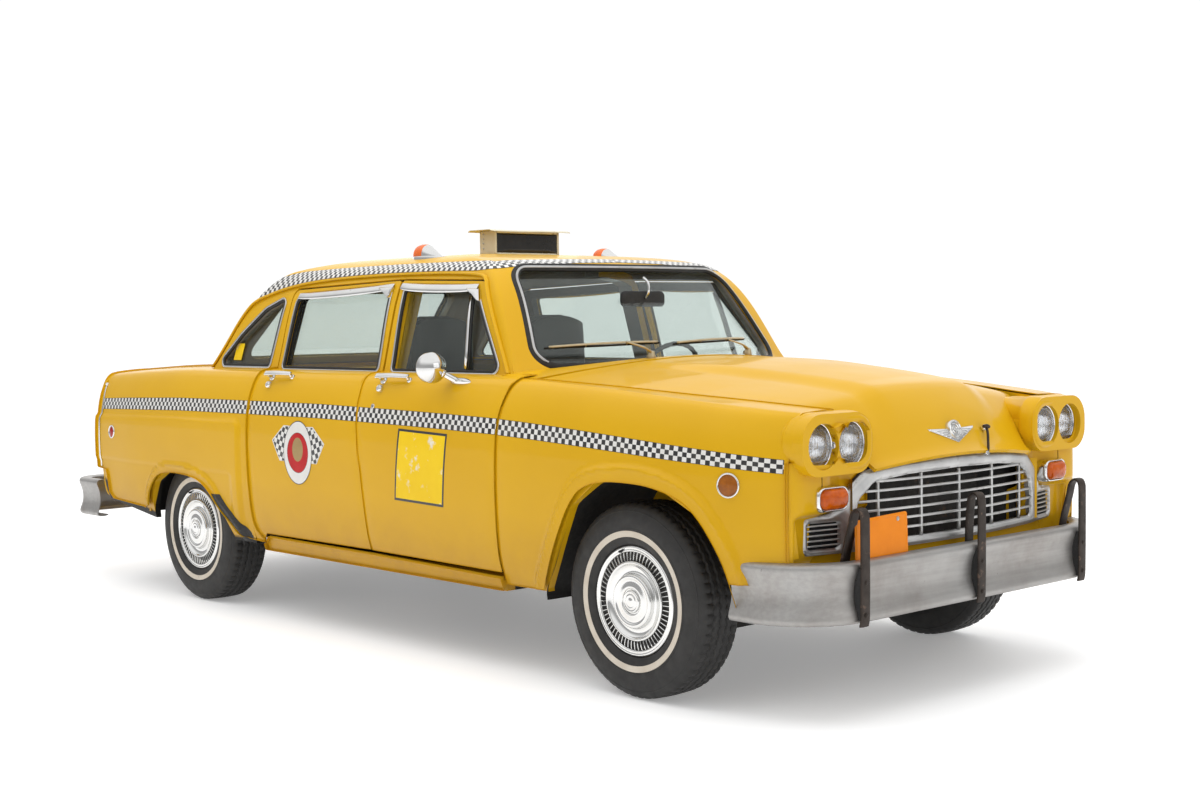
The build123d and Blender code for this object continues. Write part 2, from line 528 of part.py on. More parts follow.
PLATE_HOLES = [(-509.5 - 89, 664), (-509.5 + 89, 664)]
plate = prism(PLATE, "yz", 2544, 2548)
plate_arm = [box(2533, 2545, y - 15, y + 15, 522, 640) for y in (-570, -450)]
front_plate = fuse(plate, plate_arm)
for y, z in PLATE_HOLES:
    front_plate = cut(front_plate, cyl(3.5, 40, (2530, y, z), (1, 0, 0)))
fb = fuse(fb, front_plate)
save("front_bumper", fb, one=True)
rb = bumper(-2600, 765, 150, 915, -2280, 325, 520, -1)
rb = fuse(rb, *[box(-2588, -2302, s * 435 - 30, s * 435 + 30, 400, 450) for s in (1, -1)])
save("rear_bumper", rb, one=True)

# ------------------------------------------------------------ floor and frame
FLOOR = [(1170, 1085), (1170, 530), (975, 345), (-690, 345), (-900, 550), (-1580, 550), (-1750, 505), (-2170, 505), (-2170, 525), (-1755, 525), (-1585, 570), (-908, 570), (-698, 365), (967, 365), (1150, 538), (1150, 1085)]
floor = prism(FLOOR, "xz", -830, 830)
floor = cut(floor, [box(1095, 1300, s0, s1, 300, 1200) for s0, s1 in ((750, 900), (-900, -750))],
            [box(-3000, -706, s0, s1, 300, 1200) for s0, s1 in ((652, 900), (-900, -652))])
TUNNEL_OUT = [(-165, 350), (-120, 505, 60), (120, 505, 60), (165, 350)]
TUNNEL_IN = [(-150, 320), (-108, 490, 50), (108, 490, 50), (150, 320)]
tunnel = prism(TUNNEL_OUT, "yz", -760, 1112)
tunnel_in = prism(TUNNEL_IN, "yz", -860, 1300)
floor = cut(fuse(floor, tunnel), tunnel_in)
sill = [prism([(s * 800, 305), (s * 912, 305), (s * 922, 350), (s * 880, 352), (s * 870, 362), (s * 800, 362)], "yz", -590, 1088) for s in (1, -1)]
floor = fuse(floor, sill)
save("floor_pan", floor, one=True)

HORN_X = 2396                       # the rails end here and the horns go on
RAIL = [(HORN_X, 340), (2150, 340, 80), (1960, 235, 80), (-700, 235, 120), (-960, 430, 120), (-1560, 430, 100), (-1740, 385, 100), (-2300, 385),
        (-2300, 490), (-1730, 490, 100), (-1560, 540, 100), (-930, 540, 120), (-720, 343, 100), (1980, 343, 80), (2120, 445, 80), (HORN_X, 445)]
rails = [prism(RAIL, "xz", s0, s1) for s0, s1 in ((400, 470), (-470, -400))]
TOW_X, TOW_R = 2425, 9
members = [box(2180, 2250, -405, 405, 345, 420), box(660, 730, -405, 405, 237, 285), box(-60, 10, -405, 405, 237, 285),
           box(-660, -590, -405, 405, 237, 285), box(-1800, -1730, -405, 405, 400, 480), box(-2245, -2180, -405, 405, 400, 480)]
outriggers = [box(x, x + 60, s0, s1, 250, 338) for x in (900, 150, -560) for s0, s1 in ((465, 800), (-800, -465))]
frame = fuse(rails, members, outriggers)
horns = [cut(box(HORN_X, 2450, s * 435 - 35, s * 435 + 35, 340, 445), cyl(TOW_R, 140, (TOW_X, s * 435, 325), (0, 0, 1))) for s in (1, -1)]
save("frame_rails", frame, one=True)
save("frame_horns", horns)

# ------------------------------------------------------------ running gear
engine = box(1320, 2020, -255, 255, 350, 905)
gearbox = box(800, 1325, -100, 100, 255, 455)
save("engine_block", fuse(engine, gearbox, box(1300, 1400, -100, 100, 255, 455)), one=True)

EYE_LOW, EYE_UP = (226, 248), (452, 474)
cross = [box(1690, 1870, -400, 400, 205, 315)]
arms = []
for s in (1, -1):
    for (z0, z1), x0, x1 in ((EYE_LOW, 1690, 1870), (EYE_UP, 1710, 1850)):
        arm = prism([(x0, s * 470), (x1, s * 470), (1800, s * 690), (1760, s * 690)], "xy", z0, z1)
        eye = cut(fuse(arm, cyl(30, z1 - z0, (X_FA, s * Y_KING, z0), (0, 0, 1))), cyl(17, 60, (X_FA, s * Y_KING, z0 - 10), (0, 0, 1)))
        arms += eye
    arms += solids(box(1700, 1860, min(s * 402, s * 475), max(s * 402, s * 475), 343, 500))
    arms += solids(box(1700, 1860, min(s * 470, s * 486), max(s * 470, s * 486), 205, 500))
susp = fuse(cross, arms, *[box(1690, 1870, min(s * 398, s * 486), max(s * 398, s * 486), 205, 234) for s in (1, -1)])
susp = cut(susp, rails)
save("front_suspension", susp, one=True)


def knuckle(s):
    king = cyl(15, 252, (X_FA, s * Y_KING, 224), (0, 0, 1))
    upright = box(X_FA - 28, X_FA + 28, min(s * 682, s * 742), max(s * 682, s * 742), 254, 446)
    spindle = cyl(22, 122, (X_FA, s * 735, TYRE_R), (0, s, 0))
    drum = cyl(140, 44, (X_FA, s * 752, TYRE_R), (0, s, 0))
    arm = box(X_FA - 150, X_FA, min(s * 676, s * 700), max(s * 676, s * 700), 268, 288)
    return fuse(king, upright, spindle, drum, arm)


save("knuckle_left", knuckle(1), one=True)
save("knuckle_right", knuckle(-1), one=True)

axle = [cyl(40, 1400, (X_RA, -700, TYRE_R), (0, 1, 0)), Solid.make_sphere(135, Plane(origin=(X_RA, 0, TYRE_R))),
        cyl(140, 44, (X_RA, 700, TYRE_R), (0, 1, 0)), cyl(140, 44, (X_RA, -744, TYRE_R), (0, 1, 0)),
        cyl(22, 1660, (X_RA, -830, TYRE_R), (0, 1, 0)),
        cyl(34, 1960, (X_RA + 100, 0, TYRE_R), (1, 0, 0))]
SPRING = [(X_RA + 640, 330), (X_RA + 640, 342), (X_RA + 60, 306), (X_RA - 60, 306), (X_RA - 660, 366), (X_RA - 660, 354), (X_RA - 60, 276), (X_RA + 60, 276)]
for s0, s1 in ((520, 584), (-584, -520)):
    axle.append(prism(SPRING, "xz", s0, s1))
    axle.append(box(X_RA - 55, X_RA + 55, s0, s1, 300, 330))
rear_axle = fuse(*axle)
rear_axle = cut(rear_axle, box(798, 2000, -60, 60, 300, 400))
save("rear_axle", rear_axle, one=True)

PIPE_Y, PIPE_R = -335, 24
route = [(1290, 312), (-870, 312), (-1050, 462), (-1480, 462), (-1720, 288), (-2440, 288)]
path = FilletPolyline(*[(x, PIPE_Y, z) for x, z in route], radius=90)
sect = Face(Wire([Edge.make_circle(PIPE_R, Plane(origin=(1290, PIPE_Y, 312), z_dir=(-1, 0, 0)))]))
pipe = Solid.sweep(sect, path)
muffler = prism([(PIPE_Y - 60, 240, 40), (PIPE_Y + 130, 240, 40), (PIPE_Y + 130, 334, 40), (PIPE_Y - 60, 334, 40)], "yz", -560, -90)
exhaust = fuse(pipe, muffler)
TAILPIPE_BORE = 20
exhaust = cut(exhaust, cyl(TAILPIPE_BORE, 120, (-2340, PIPE_Y, 288), (-1, 0, 0)), frame)
save("exhaust", exhaust, one=True)
tank = prism([(-2120, 330, 40), (-1830, 330, 40), (-1830, 498, 30), (-2120, 498, 30)], "xz", -240, 380)
save("fuel_tank", tank)

# ------------------------------------------------------------ seats and dash
FRONT_SEAT = [(560, 520, 40), (560, 640, 60), (60, 655), (-60, 1085, 50), (-190, 1085, 50), (-90, 520, 40)]
FRONT_BASE = [(500, 367), (500, 540), (-20, 540), (-20, 367)]
# a high back above the bench for each of the two places
HIGH_BACKS = [(-445, -110), (250, 585)]
high = [prism([(y0, 1000), (y1, 1000), (y1, 1357, 85), (y0, 1357, 85)], "yz", -182, -94) for y0, y1 in HIGH_BACKS]
seat = fuse(prism(FRONT_SEAT, "xz", -655, 655), prism(FRONT_BASE, "xz", 200, 620), prism(FRONT_BASE, "xz", -620, -200), *high)
save("front_seat", seat, one=True)
REAR_SEAT = [(-360, 368, 20), (-360, 640, 60), (-815, 640), (-930, 1068, 60), (-1050, 1068, 40), (-1050, 575), (-905, 575), (-675, 368)]
seat = cut(prism(REAR_SEAT, "xz", -640, 640), tunnel, tunnel_in)
save("rear_seat", seat, one=True)
COL_END = (646, 380, 1030)
COL_DIR = (-cos(radians(25)), 0, sin(radians(25)))
DASH = [(1146, 1098), (900, 1098, 30), (862, 1060, 20), (862, 950, 20), (900, 915), (1000, 860), (1146, 860)]
dash = prism(DASH, "xz", -690, 690)
back = 20
column = cyl(26, 420, tuple(COL_END[i] - COL_DIR[i] * (420 + back) for i in range(3)), COL_DIR)
dash_node = cut(fuse(dash, column), floor)
save("dashboard", dash_node, one=True)
plane_w = Plane(origin=COL_END, z_dir=COL_DIR, x_dir=(0, 1, 0))
rim_sect = outline([(193, -6), (198, -12), (212, -12), (217, -6), (217, 6), (212, 12), (198, 12), (193, 6)], "xz", 0)
rim = Solid.revolve(Face(rim_sect), 360, Axis((0, 0, 0), (0, 0, 1))).moved(Location(plane_w))
hub = cyl(42, 30, tuple(COL_END[i] - COL_DIR[i] * 17 for i in range(3)), COL_DIR)
spokes = []
for a in (200, 340):
    d = plane_w.x_dir * cos(radians(a)) + plane_w.y_dir * sin(radians(a))
    spokes.append(Solid.make_cylinder(9, 172, Plane(origin=Vector(*COL_END) + d * 28, z_dir=d)))
save("steering_wheel", fuse(rim, hub, *spokes), one=True)

# ------------------------------------------------------------ roof sign and lights
sign = fuse(box(58, 168, -190, 190, ROOF_Z, 1730), box(30, 196, -235, 235, 1730, 1736))
save("roof_sign", sign, one=True)
lights = []
for s in (1, -1):
    body = Solid.make_loft([outline([(60, s * 528 - 45, 40), (172, s * 528 - 45, 40), (172, s * 528 + 45, 40), (60, s * 528 + 45, 40)], "xy", 1580),
                            outline([(90, s * 528 - 34, 30), (168, s * 528 - 34, 30), (168, s * 528 + 34, 30), (90, s * 528 + 34, 30)], "xy", 1650)], ruled=True)
    lights += cut(body, house_out)
save("roof_lights", lights)

# ------------------------------------------------------------ wheels
def ring_of(profile, x, s, y_mid):
    """Turn a (radius, offset from the tyre's middle) outline about the axle."""
    w = outline([(p[1], p[0]) + tuple(p[2:]) for p in profile], "yz", 0)
    body = Solid.revolve(Face(w), 360, Axis((0, 0, 0), (0, 1, 0)))
    if s < 0:
        body = body.mirror(Plane.XZ)
    return body.moved(Location((x, s * y_mid, TYRE_R)))


H = TYRE_W / 2
TYRE = [(RIM_R + 0.4, -80), (RIM_R + 8, -92, 6), (270, -H, 60), (330, -92, 26), (TYRE_R, -70, 12), (TYRE_R, 70, 12), (330, 92, 26), (270, H, 60), (RIM_R + 8, 92, 6), (RIM_R + 0.4, 80)]
WHEEL = [(24, 20), (24, 44), (0, 44), (0, 112), (48, 110, 12), (62, 90, 20), (150, 92, 20), (188, 84, 8), (RIM_R, 88), (RIM_R, -84), (RIM_R - 8, -84), (RIM_R - 8, 60), (110, 66), (62, 20)]
for end, x, y_mid in (("front", X_FA, TRACK_F), ("rear", X_RA, TRACK_R)):
    for side, s in (("left", 1), ("right", -1)):
        prof = WHEEL
        save(f"{end}_tyre_{side}", ring_of(TYRE, x, s, y_mid))
        save(f"{end}_wheel_{side}", ring_of(prof, x, s, y_mid))

print("nodes", len(out))
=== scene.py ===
import bpy, bmesh, math
import numpy as np
from mathutils import Vector, Matrix
from mathutils.geometry import delaunay_2d_cdt


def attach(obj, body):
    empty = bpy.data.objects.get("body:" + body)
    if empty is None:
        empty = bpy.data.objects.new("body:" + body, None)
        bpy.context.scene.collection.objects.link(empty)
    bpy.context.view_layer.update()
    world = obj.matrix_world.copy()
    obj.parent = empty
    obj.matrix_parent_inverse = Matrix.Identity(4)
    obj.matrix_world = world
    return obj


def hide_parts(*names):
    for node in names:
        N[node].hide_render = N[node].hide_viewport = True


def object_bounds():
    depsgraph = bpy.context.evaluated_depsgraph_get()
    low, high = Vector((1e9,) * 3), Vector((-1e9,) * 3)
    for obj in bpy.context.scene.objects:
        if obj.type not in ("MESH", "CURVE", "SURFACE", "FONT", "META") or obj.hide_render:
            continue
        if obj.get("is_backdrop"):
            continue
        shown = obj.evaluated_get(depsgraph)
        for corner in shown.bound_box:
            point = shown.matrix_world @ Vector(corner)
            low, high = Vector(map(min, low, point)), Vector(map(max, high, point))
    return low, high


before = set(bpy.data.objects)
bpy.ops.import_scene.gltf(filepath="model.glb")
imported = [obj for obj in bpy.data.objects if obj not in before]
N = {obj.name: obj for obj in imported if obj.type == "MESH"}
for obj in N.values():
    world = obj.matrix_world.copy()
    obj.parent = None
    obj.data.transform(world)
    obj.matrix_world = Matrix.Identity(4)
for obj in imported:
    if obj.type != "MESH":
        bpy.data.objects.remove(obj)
CAD_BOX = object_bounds()
SC = bpy.context.scene
pi = math.pi

# ============================================================ materials
def mat(name):
    m = bpy.data.materials.new(name)
    m.use_nodes = True
    nt = m.node_tree
    b = nt.nodes["Principled BSDF"]
    return m, nt, b


def node(nt, kind, **inp):
    n = nt.nodes.new("ShaderNode" + kind)
    for k, v in inp.items():
        if k in n.inputs:
            n.inputs[k].default_value = v
        else:
            setattr(n, k, v)
    return n


def noise(nt, scale, detail=4, rough=.5, vec=None, stretch=None):
    n = node(nt, "TexNoise", Scale=scale, Detail=detail, Roughness=rough)
    if vec is None:
        tc = node(nt, "TexCoord")
        vec = tc.outputs["Object"]
    if stretch:
        mp = node(nt, "Mapping")
        mp.inputs["Scale"].default_value = stretch
        nt.links.new(vec, mp.inputs["Vector"])
        vec = mp.outputs["Vector"]
    nt.links.new(vec, n.inputs["Vector"])
    return n


def ramp(nt, fac, stops):
    r = node(nt, "ValToRGB")
    e = r.color_ramp.elements
    while len(e) > 1:
        e.remove(e[-1])
    e[0].position, e[0].color = stops[0][0], stops[0][1]
    for p, c in stops[1:]:
        q = e.new(p)
        q.color = c
    nt.links.new(fac, r.inputs["Fac"])
    return r


def g(v):
    return (v, v, v, 1)


def rgb(r, gg, b):
    f = lambda c: ((c / 255) / 12.92 if c / 255 <= .04045 else ((c / 255 + .055) / 1.055) ** 2.4)
    return (f(r), f(gg), f(b), 1)


def mix(nt, fac, a, b):
    m = nt.nodes.new("ShaderNodeMix")
    m.data_type = "RGBA"
    if isinstance(fac, (int, float)):
        m.inputs[0].default_value = fac
    else:
        nt.links.new(fac, m.inputs[0])
    for s, v in ((6, a), (7, b)):
        if isinstance(v, tuple):
            m.inputs[s].default_value = v
        else:
            nt.links.new(v, m.inputs[s])
    return m.outputs[2]


def bump(nt, b, height, strength=.2, dist=.001, chain=None):
    n = node(nt, "Bump", Strength=strength, Distance=dist)
    nt.links.new(height, n.inputs["Height"])
    if chain is not None:
        nt.links.new(chain.outputs["Normal"], n.inputs["Normal"])
    nt.links.new(n.outputs["Normal"], b.inputs["Normal"])
    return n


def surface(name, c1, c2, scale=20, rough=(.4, .6), metal=0, bump_s=.15, bscale=200, bdist=.0006, coat=0, coat_r=.05,
            stretch=None, spec=.5, wear=None, wear_c=None, wscale=8):
    """Two-tone surface with its own roughness variation, bump and wear patches."""
    m, nt, b = mat(name)
    n1 = noise(nt, scale, 5, .6, stretch=stretch)
    r1 = ramp(nt, n1.outputs["Fac"], [(.3, c1), (.7, c2)])
    col = r1.outputs["Color"]
    if wear is not None:
        n2 = noise(nt, wscale, 8, .65)
        r2 = ramp(nt, n2.outputs["Fac"], [(wear, g(0)), (wear + .09, g(1))])
        col = mix(nt, r2.outputs["Color"], col, wear_c)
    nt.links.new(col, b.inputs["Base Color"])
    n3 = noise(nt, scale * 1.7, 4, .6, stretch=stretch)
    rr = ramp(nt, n3.outputs["Fac"], [(.25, g(rough[0])), (.75, g(rough[1]))])
    nt.links.new(rr.outputs["Color"], b.inputs["Roughness"])
    b.inputs["Metallic"].default_value = metal
    b.inputs["Specular IOR Level"].default_value = spec
    if coat:
        b.inputs["Coat Weight"].default_value = coat
        b.inputs["Coat Roughness"].default_value = coat_r
    n4 = noise(nt, bscale, 3, .5, stretch=stretch)
    bump(nt, b, n4.outputs["Fac"], bump_s, bdist)
    return m


YEL_A, YEL_B = (.620, .345, .0045, 1), (.665, .376, .006, 1)


def cab_axis_mask(nt):
    """1 on faces that look out of the cabin, 0 on faces that look into it."""
    geo = node(nt, "NewGeometry")
    sub = node(nt, "VectorMath", operation="SUBTRACT")
    nt.links.new(geo.outputs["Position"], sub.inputs[0])
    sub.inputs[1].default_value = (0, 0, 1.02)
    mul = node(nt, "VectorMath", operation="MULTIPLY")
    nt.links.new(sub.outputs[0], mul.inputs[0])
    mul.inputs[1].default_value = (.25, 1, 1)
    dot = node(nt, "VectorMath", operation="DOT_PRODUCT")
    nt.links.new(mul.outputs[0], dot.inputs[0])
    nt.links.new(geo.outputs["True Normal"], dot.inputs[1])
    mr = node(nt, "MapRange")
    mr.inputs["From Min"].default_value = -.12
    mr.inputs["From Max"].default_value = -.08
    nt.links.new(dot.outputs["Value"], mr.inputs["Value"])
    return mr.outputs["Result"]


def paint(name, inner=None, well=None):
    m, nt, b = mat(name)
    n1 = noise(nt, 1.6, 6, .55)
    r1 = ramp(nt, n1.outputs["Fac"], [(.3, YEL_A), (.72, YEL_B)])
    col = r1.outputs["Color"]
    # darker towards the bottom, in noise patches
    geo = node(nt, "NewGeometry")
    sep = node(nt, "SeparateXYZ")
    nt.links.new(geo.outputs["Position"], sep.inputs[0])
    lo = node(nt, "MapRange")
    lo.inputs["From Min"].default_value = .62
    lo.inputs["From Max"].default_value = .30
    nt.links.new(sep.outputs["Z"], lo.inputs["Value"])
    n2 = noise(nt, 7, 7, .65)
    mu = node(nt, "Math", operation="MULTIPLY")
    nt.links.new(lo.outputs["Result"], mu.inputs[0])
    nt.links.new(n2.outputs["Fac"], mu.inputs[1])
    col = mix(nt, mu.outputs[0], col, (.40, .20, .02, 1))
    rough = ramp(nt, noise(nt, 3, 6, .6).outputs["Fac"], [(.3, g(.30)), (.75, g(.42))]).outputs["Color"]
    if inner is not None:
        k = cab_axis_mask(nt)
        nz = noise(nt, 160, 3, .5)
        ic = ramp(nt, nz.outputs["Fac"], [(.35, tuple(c * .8 for c in inner[:3]) + (1,)), (.65, inner)]).outputs["Color"]
        col = mix(nt, k, ic, col)
        rough = mix(nt, k, g(.72), rough)
    if well is not None:
        # dark sound deadener inside the wheel well and on the floor pan; in the nose material the same box is painted
        # shade behind the nose
        wx, r0, y0, z1 = well
        px = node(nt, "Math", operation="SUBTRACT")
        nt.links.new(sep.outputs["X"], px.inputs[0]); px.inputs[1].default_value = wx
        hy = node(nt, "Math", operation="ABSOLUTE")
        nt.links.new(sep.outputs["Y"], hy.inputs[0])
        ysm = node(nt, "MapRange")
        ysm.inputs["From Min"].default_value = y0 + .004
        ysm.inputs["From Max"].default_value = y0
        nt.links.new(hy.outputs[0], ysm.inputs["Value"])
        zm = node(nt, "Math", operation="LESS_THAN"); zm.inputs[1].default_value = z1
        nt.links.new(sep.outputs["Z"], zm.inputs[0])
        xa = node(nt, "Math", operation="ABSOLUTE")
        nt.links.new(px.outputs[0], xa.inputs[0])
        xm = node(nt, "Math", operation="LESS_THAN"); xm.inputs[1].default_value = r0
        nt.links.new(xa.outputs[0], xm.inputs[0])
        m1 = node(nt, "Math", operation="MULTIPLY")
        nt.links.new(ysm.outputs["Result"], m1.inputs[0]); nt.links.new(zm.outputs[0], m1.inputs[1])
        m2 = node(nt, "Math", operation="MULTIPLY")
        nt.links.new(m1.outputs[0], m2.inputs[0]); nt.links.new(xm.outputs[0], m2.inputs[1])
        col = mix(nt, m2.outputs[0], col, (.012, .011, .010, 1))
        rough = mix(nt, m2.outputs[0], rough, g(.85))
    nt.links.new(col, b.inputs["Base Color"])
    nt.links.new(rough, b.inputs["Roughness"])
    b.inputs["Coat Weight"].default_value = .26
    b.inputs["Coat Roughness"].default_value = .045
    b.inputs["Specular IOR Level"].default_value = .10
    n4 = noise(nt, 520, 2, .5)
    b1 = bump(nt, b, n4.outputs["Fac"], .05, .0003)
    n5 = noise(nt, 3.5, 3, .5)
    bump(nt, b, n5.outputs["Fac"], .10, .0012, b1)
    return m


M = {}
M["paint"] = paint("body_yellow")
M["paint_cab"] = paint("body_yellow_cabin", inner=(.32, .30, .27, 1))
M["paint_door"] = paint("body_yellow_door", inner=(.028, .026, .025, 1))
M["paint_well"] = paint("body_yellow_wells", well=(-1.45, .90, .925, .97))
M["paint_sill"] = paint("body_yellow_sill", well=(0, 9, .868, 9))
# nose paint: near black behind x 2.37, painted shade for the recess behind the grille
M["paint_nose"] = paint("body_yellow_nose_shaded", well=(0, 2.37, 2, 9))
M["under"] = surface("underseal_black", (.010, .010, .010, 1), (.022, .020, .018, 1), 30, (.75, .95), 0, .5, 90, .002)
M["chassis"] = surface("chassis_black_grime", (.014, .013, .012, 1), (.035, .030, .025, 1), 12, (.6, .85), .2, .35, 140, .001,
                       wear=.60, wear_c=(.11, .055, .025, 1), wscale=14)
M["engine"] = surface("engine_iron", (.03, .045, .06, 1), (.06, .07, .08, 1), 10, (.5, .75), .4, .3, 160, .001,
                      wear=.58, wear_c=(.10, .06, .035, 1), wscale=12)
M["exhaust"] = surface("exhaust_steel", (.16, .13, .10, 1), (.28, .22, .17, 1), 14, (.45, .7), .8, .3, 180, .0008,
                       wear=.52, wear_c=(.20, .09, .035, 1), wscale=16)
M["chrome"] = surface("bright_chrome", (.72, .72, .71, 1), (.80, .80, .79, 1), 6, (.07, .17), 1, .04, 60, .0003,
                      wear=.66, wear_c=(.45, .43, .40, 1), wscale=30)
M["bronze"] = surface("wiper_champagne", (.44, .36, .22, 1), (.56, .46, .30, 1), 30, (.28, .42), .9, .08, 200, .0004)
M["alu"] = surface("grille_aluminium", (.44, .44, .44, 1), (.62, .62, .61, 1), 9, (.30, .46), .85, .12, 120, .0006,
                   wear=.60, wear_c=(.36, .35, .33, 1), wscale=22)
M["strap"] = surface("guard_steel_dark", (.030, .024, .020, 1), (.065, .050, .042, 1), 18, (.42, .62), .7, .35, 150, .001,
                     wear=.60, wear_c=(.15, .10, .075, 1), wscale=26)
M["rubber"] = surface("rubber_black", (.010, .010, .010, 1), (.020, .020, .020, 1), 60, (.55, .72), 0, .15, 300, .0004)
M["vinyl"] = surface("vinyl_black", (.014, .013, .013, 1), (.024, .023, .022, 1), 12, (.38, .52), 0, .35, 420, .0006)
M["dash"] = surface("dash_grey", (.035, .035, .036, 1), (.055, .055, .055, 1), 14, (.45, .6), 0, .2, 260, .0005)
M["whitewall"] = surface("whitewall_rubber", (.62, .61, .58, 1), (.74, .73, .70, 1), 14, (.5, .65), 0, .1, 240, .0004,
                         wear=.64, wear_c=(.42, .40, .36, 1), wscale=20)
M["dark"] = surface("shadow_black", (.004, .004, .004, 1), (.008, .008, .008, 1), 30, (.8, .95), 0, .1, 80, .0005)
M["plate"] = surface("plate_orange", (.74, .205, .004, 1), (.80, .235, .006, 1), 12, (.34, .46), 0, .12, 60, .0006, coat=.2,
                     wear=.70, wear_c=(.5, .2, .06, 1), wscale=16)
M["sign_cream"] = surface("sign_cream", (.60, .56, .42, 1), (.70, .66, .52, 1), 9, (.32, .48), .15, .1, 160, .0005,
                          wear=.64, wear_c=(.40, .36, .26, 1), wscale=20)
M["sign_black"] = surface("sign_face_black", (.012, .012, .012, 1), (.022, .022, .022, 1), 14, (.10, .2), 0, .05, 90, .0003, coat=.5)
M["steelw"] = surface("wheel_steel", (.40, .40, .39, 1), (.55, .55, .54, 1), 10, (.22, .38), .9, .1, 160, .0005)


def brushed(name):
    """Cast bumper alloy, dull, with long scratches and stains."""
    m, nt, b = mat(name)
    n1 = noise(nt, 3.2, 8, .62)
    r1 = ramp(nt, n1.outputs["Fac"], [(.28, (.29, .265, .245, 1)), (.5, (.385, .37, .355, 1)), (.75, (.45, .445, .435, 1))])
    n2 = noise(nt, 60, 6, .6, stretch=(1, .06, 1.2))
    r2 = ramp(nt, n2.outputs["Fac"], [(.40, g(.88)), (.60, g(1))])
    mm = nt.nodes.new("ShaderNodeMix"); mm.data_type = "RGBA"; mm.blend_type = "MULTIPLY"
    mm.inputs[0].default_value = .8
    nt.links.new(r1.outputs["Color"], mm.inputs[6]); nt.links.new(r2.outputs["Color"], mm.inputs[7])
    n5 = noise(nt, 46, 9, .7)
    r5 = ramp(nt, n5.outputs["Fac"], [(.66, g(0)), (.72, g(1))])
    col = mix(nt, r5.outputs["Color"], mm.outputs[2], (.16, .145, .13, 1))
    nt.links.new(col, b.inputs["Base Color"])
    n3 = noise(nt, 24, 6, .65)
    rr = ramp(nt, n3.outputs["Fac"], [(.25, g(.36)), (.8, g(.58))])
    nt.links.new(rr.outputs["Color"], b.inputs["Roughness"])
    b.inputs["Metallic"].default_value = .78
    b1 = bump(nt, b, n2.outputs["Fac"], .12, .0005)
    bump(nt, b, noise(nt, 9, 5, .6).outputs["Fac"], .22, .003, b1)
    return m


M["bumper"] = brushed("bumper_cast_alloy")


def glassy(name, tint, rough=.02, trans=1.0, ior=1.45, alpha=1.0):
    m, nt, b = mat(name)
    n1 = noise(nt, 5, 5, .6)
    r = ramp(nt, n1.outputs["Fac"], [(.3, tint), (.7, tuple(c * .94 for c in tint[:3]) + (1,))])
    nt.links.new(r.outputs["Color"], b.inputs["Base Color"])
    rr = ramp(nt, noise(nt, 11, 6, .6).outputs["Fac"], [(.3, g(rough)), (.8, g(rough * 2.5 + .01))])
    nt.links.new(rr.outputs["Color"], b.inputs["Roughness"])
    b.inputs["Transmission Weight"].default_value = trans
    b.inputs["IOR"].default_value = ior
    b.inputs["Alpha"].default_value = alpha
    bump(nt, b, noise(nt, 4, 3, .5).outputs["Fac"], .04, .001)
    return m


def pane_glass(name, tint, amount):
    """Thin sheet glass: sees through, with the shader's own gloss on top."""
    m, nt, b = mat(name)
    out = nt.nodes["Material Output"]
    tr = nt.nodes.new("ShaderNodeBsdfTransparent")
    tr.inputs["Color"].default_value = tint
    gl = nt.nodes.new("ShaderNodeBsdfGlossy")
    gl.inputs["Roughness"].default_value = .02
    gl.inputs["Color"].default_value = (.9, .95, .95, 1)
    dirt = nt.nodes.new("ShaderNodeBsdfDiffuse")
    dirt.inputs["Color"].default_value = (.45, .45, .42, 1)
    lw = node(nt, "LayerWeight", Blend=.5)
    pw = node(nt, "Math", operation="POWER"); pw.inputs[1].default_value = 4.2
    nt.links.new(lw.outputs["Facing"], pw.inputs[0])
    sc = node(nt, "Math", operation="MULTIPLY_ADD"); sc.inputs[1].default_value = .62; sc.inputs[2].default_value = .035
    nt.links.new(pw.outputs[0], sc.inputs[0])
    m1 = nt.nodes.new("ShaderNodeMixShader")
    nt.links.new(sc.outputs[0], m1.inputs[0])
    nt.links.new(tr.outputs[0], m1.inputs[1])
    nt.links.new(gl.outputs[0], m1.inputs[2])
    n1 = noise(nt, 5, 6, .65)
    r = ramp(nt, n1.outputs["Fac"], [(.35, g(amount * .5)), (.8, g(amount * 1.6))])
    m2 = nt.nodes.new("ShaderNodeMixShader")
    nt.links.new(r.outputs["Color"], m2.inputs[0])
    nt.links.new(m1.outputs[0], m2.inputs[1])
    nt.links.new(dirt.outputs[0], m2.inputs[2])
    nt.links.new(m2.outputs[0], out.inputs["Surface"])
    return m


M["glass"] = pane_glass("window_glass", (.88, .915, .90, 1), .030)
M["amber"] = surface("amber_lens", (.42, .060, .002, 1), (.66, .125, .003, 1), 24, (.08, .16), 0, .35, 150, .001, coat=.6)
M["amber_l"] = surface("amber_lens_light", (.90, .42, .03, 1), (.95, .52, .06, 1), 24, (.08, .16), 0, .2, 120, .001, coat=.6)
M["amber_roof"] = surface("amber_roof_lens", (.66, .105, .006, 1), (.85, .17, .010, 1), 24, (.10, .2), 0, .3, 130, .001, coat=.3)
M["red"] = surface("red_lens", (.26, .008, .006, 1), (.38, .014, .010, 1), 24, (.08, .16), 0, .3, 150, .001, coat=.6)
M["reflector"] = surface("lamp_reflector", (.75, .76, .78, 1), (.86, .87, .88, 1), 10, (.06, .14), 1, .05, 60, .0004)


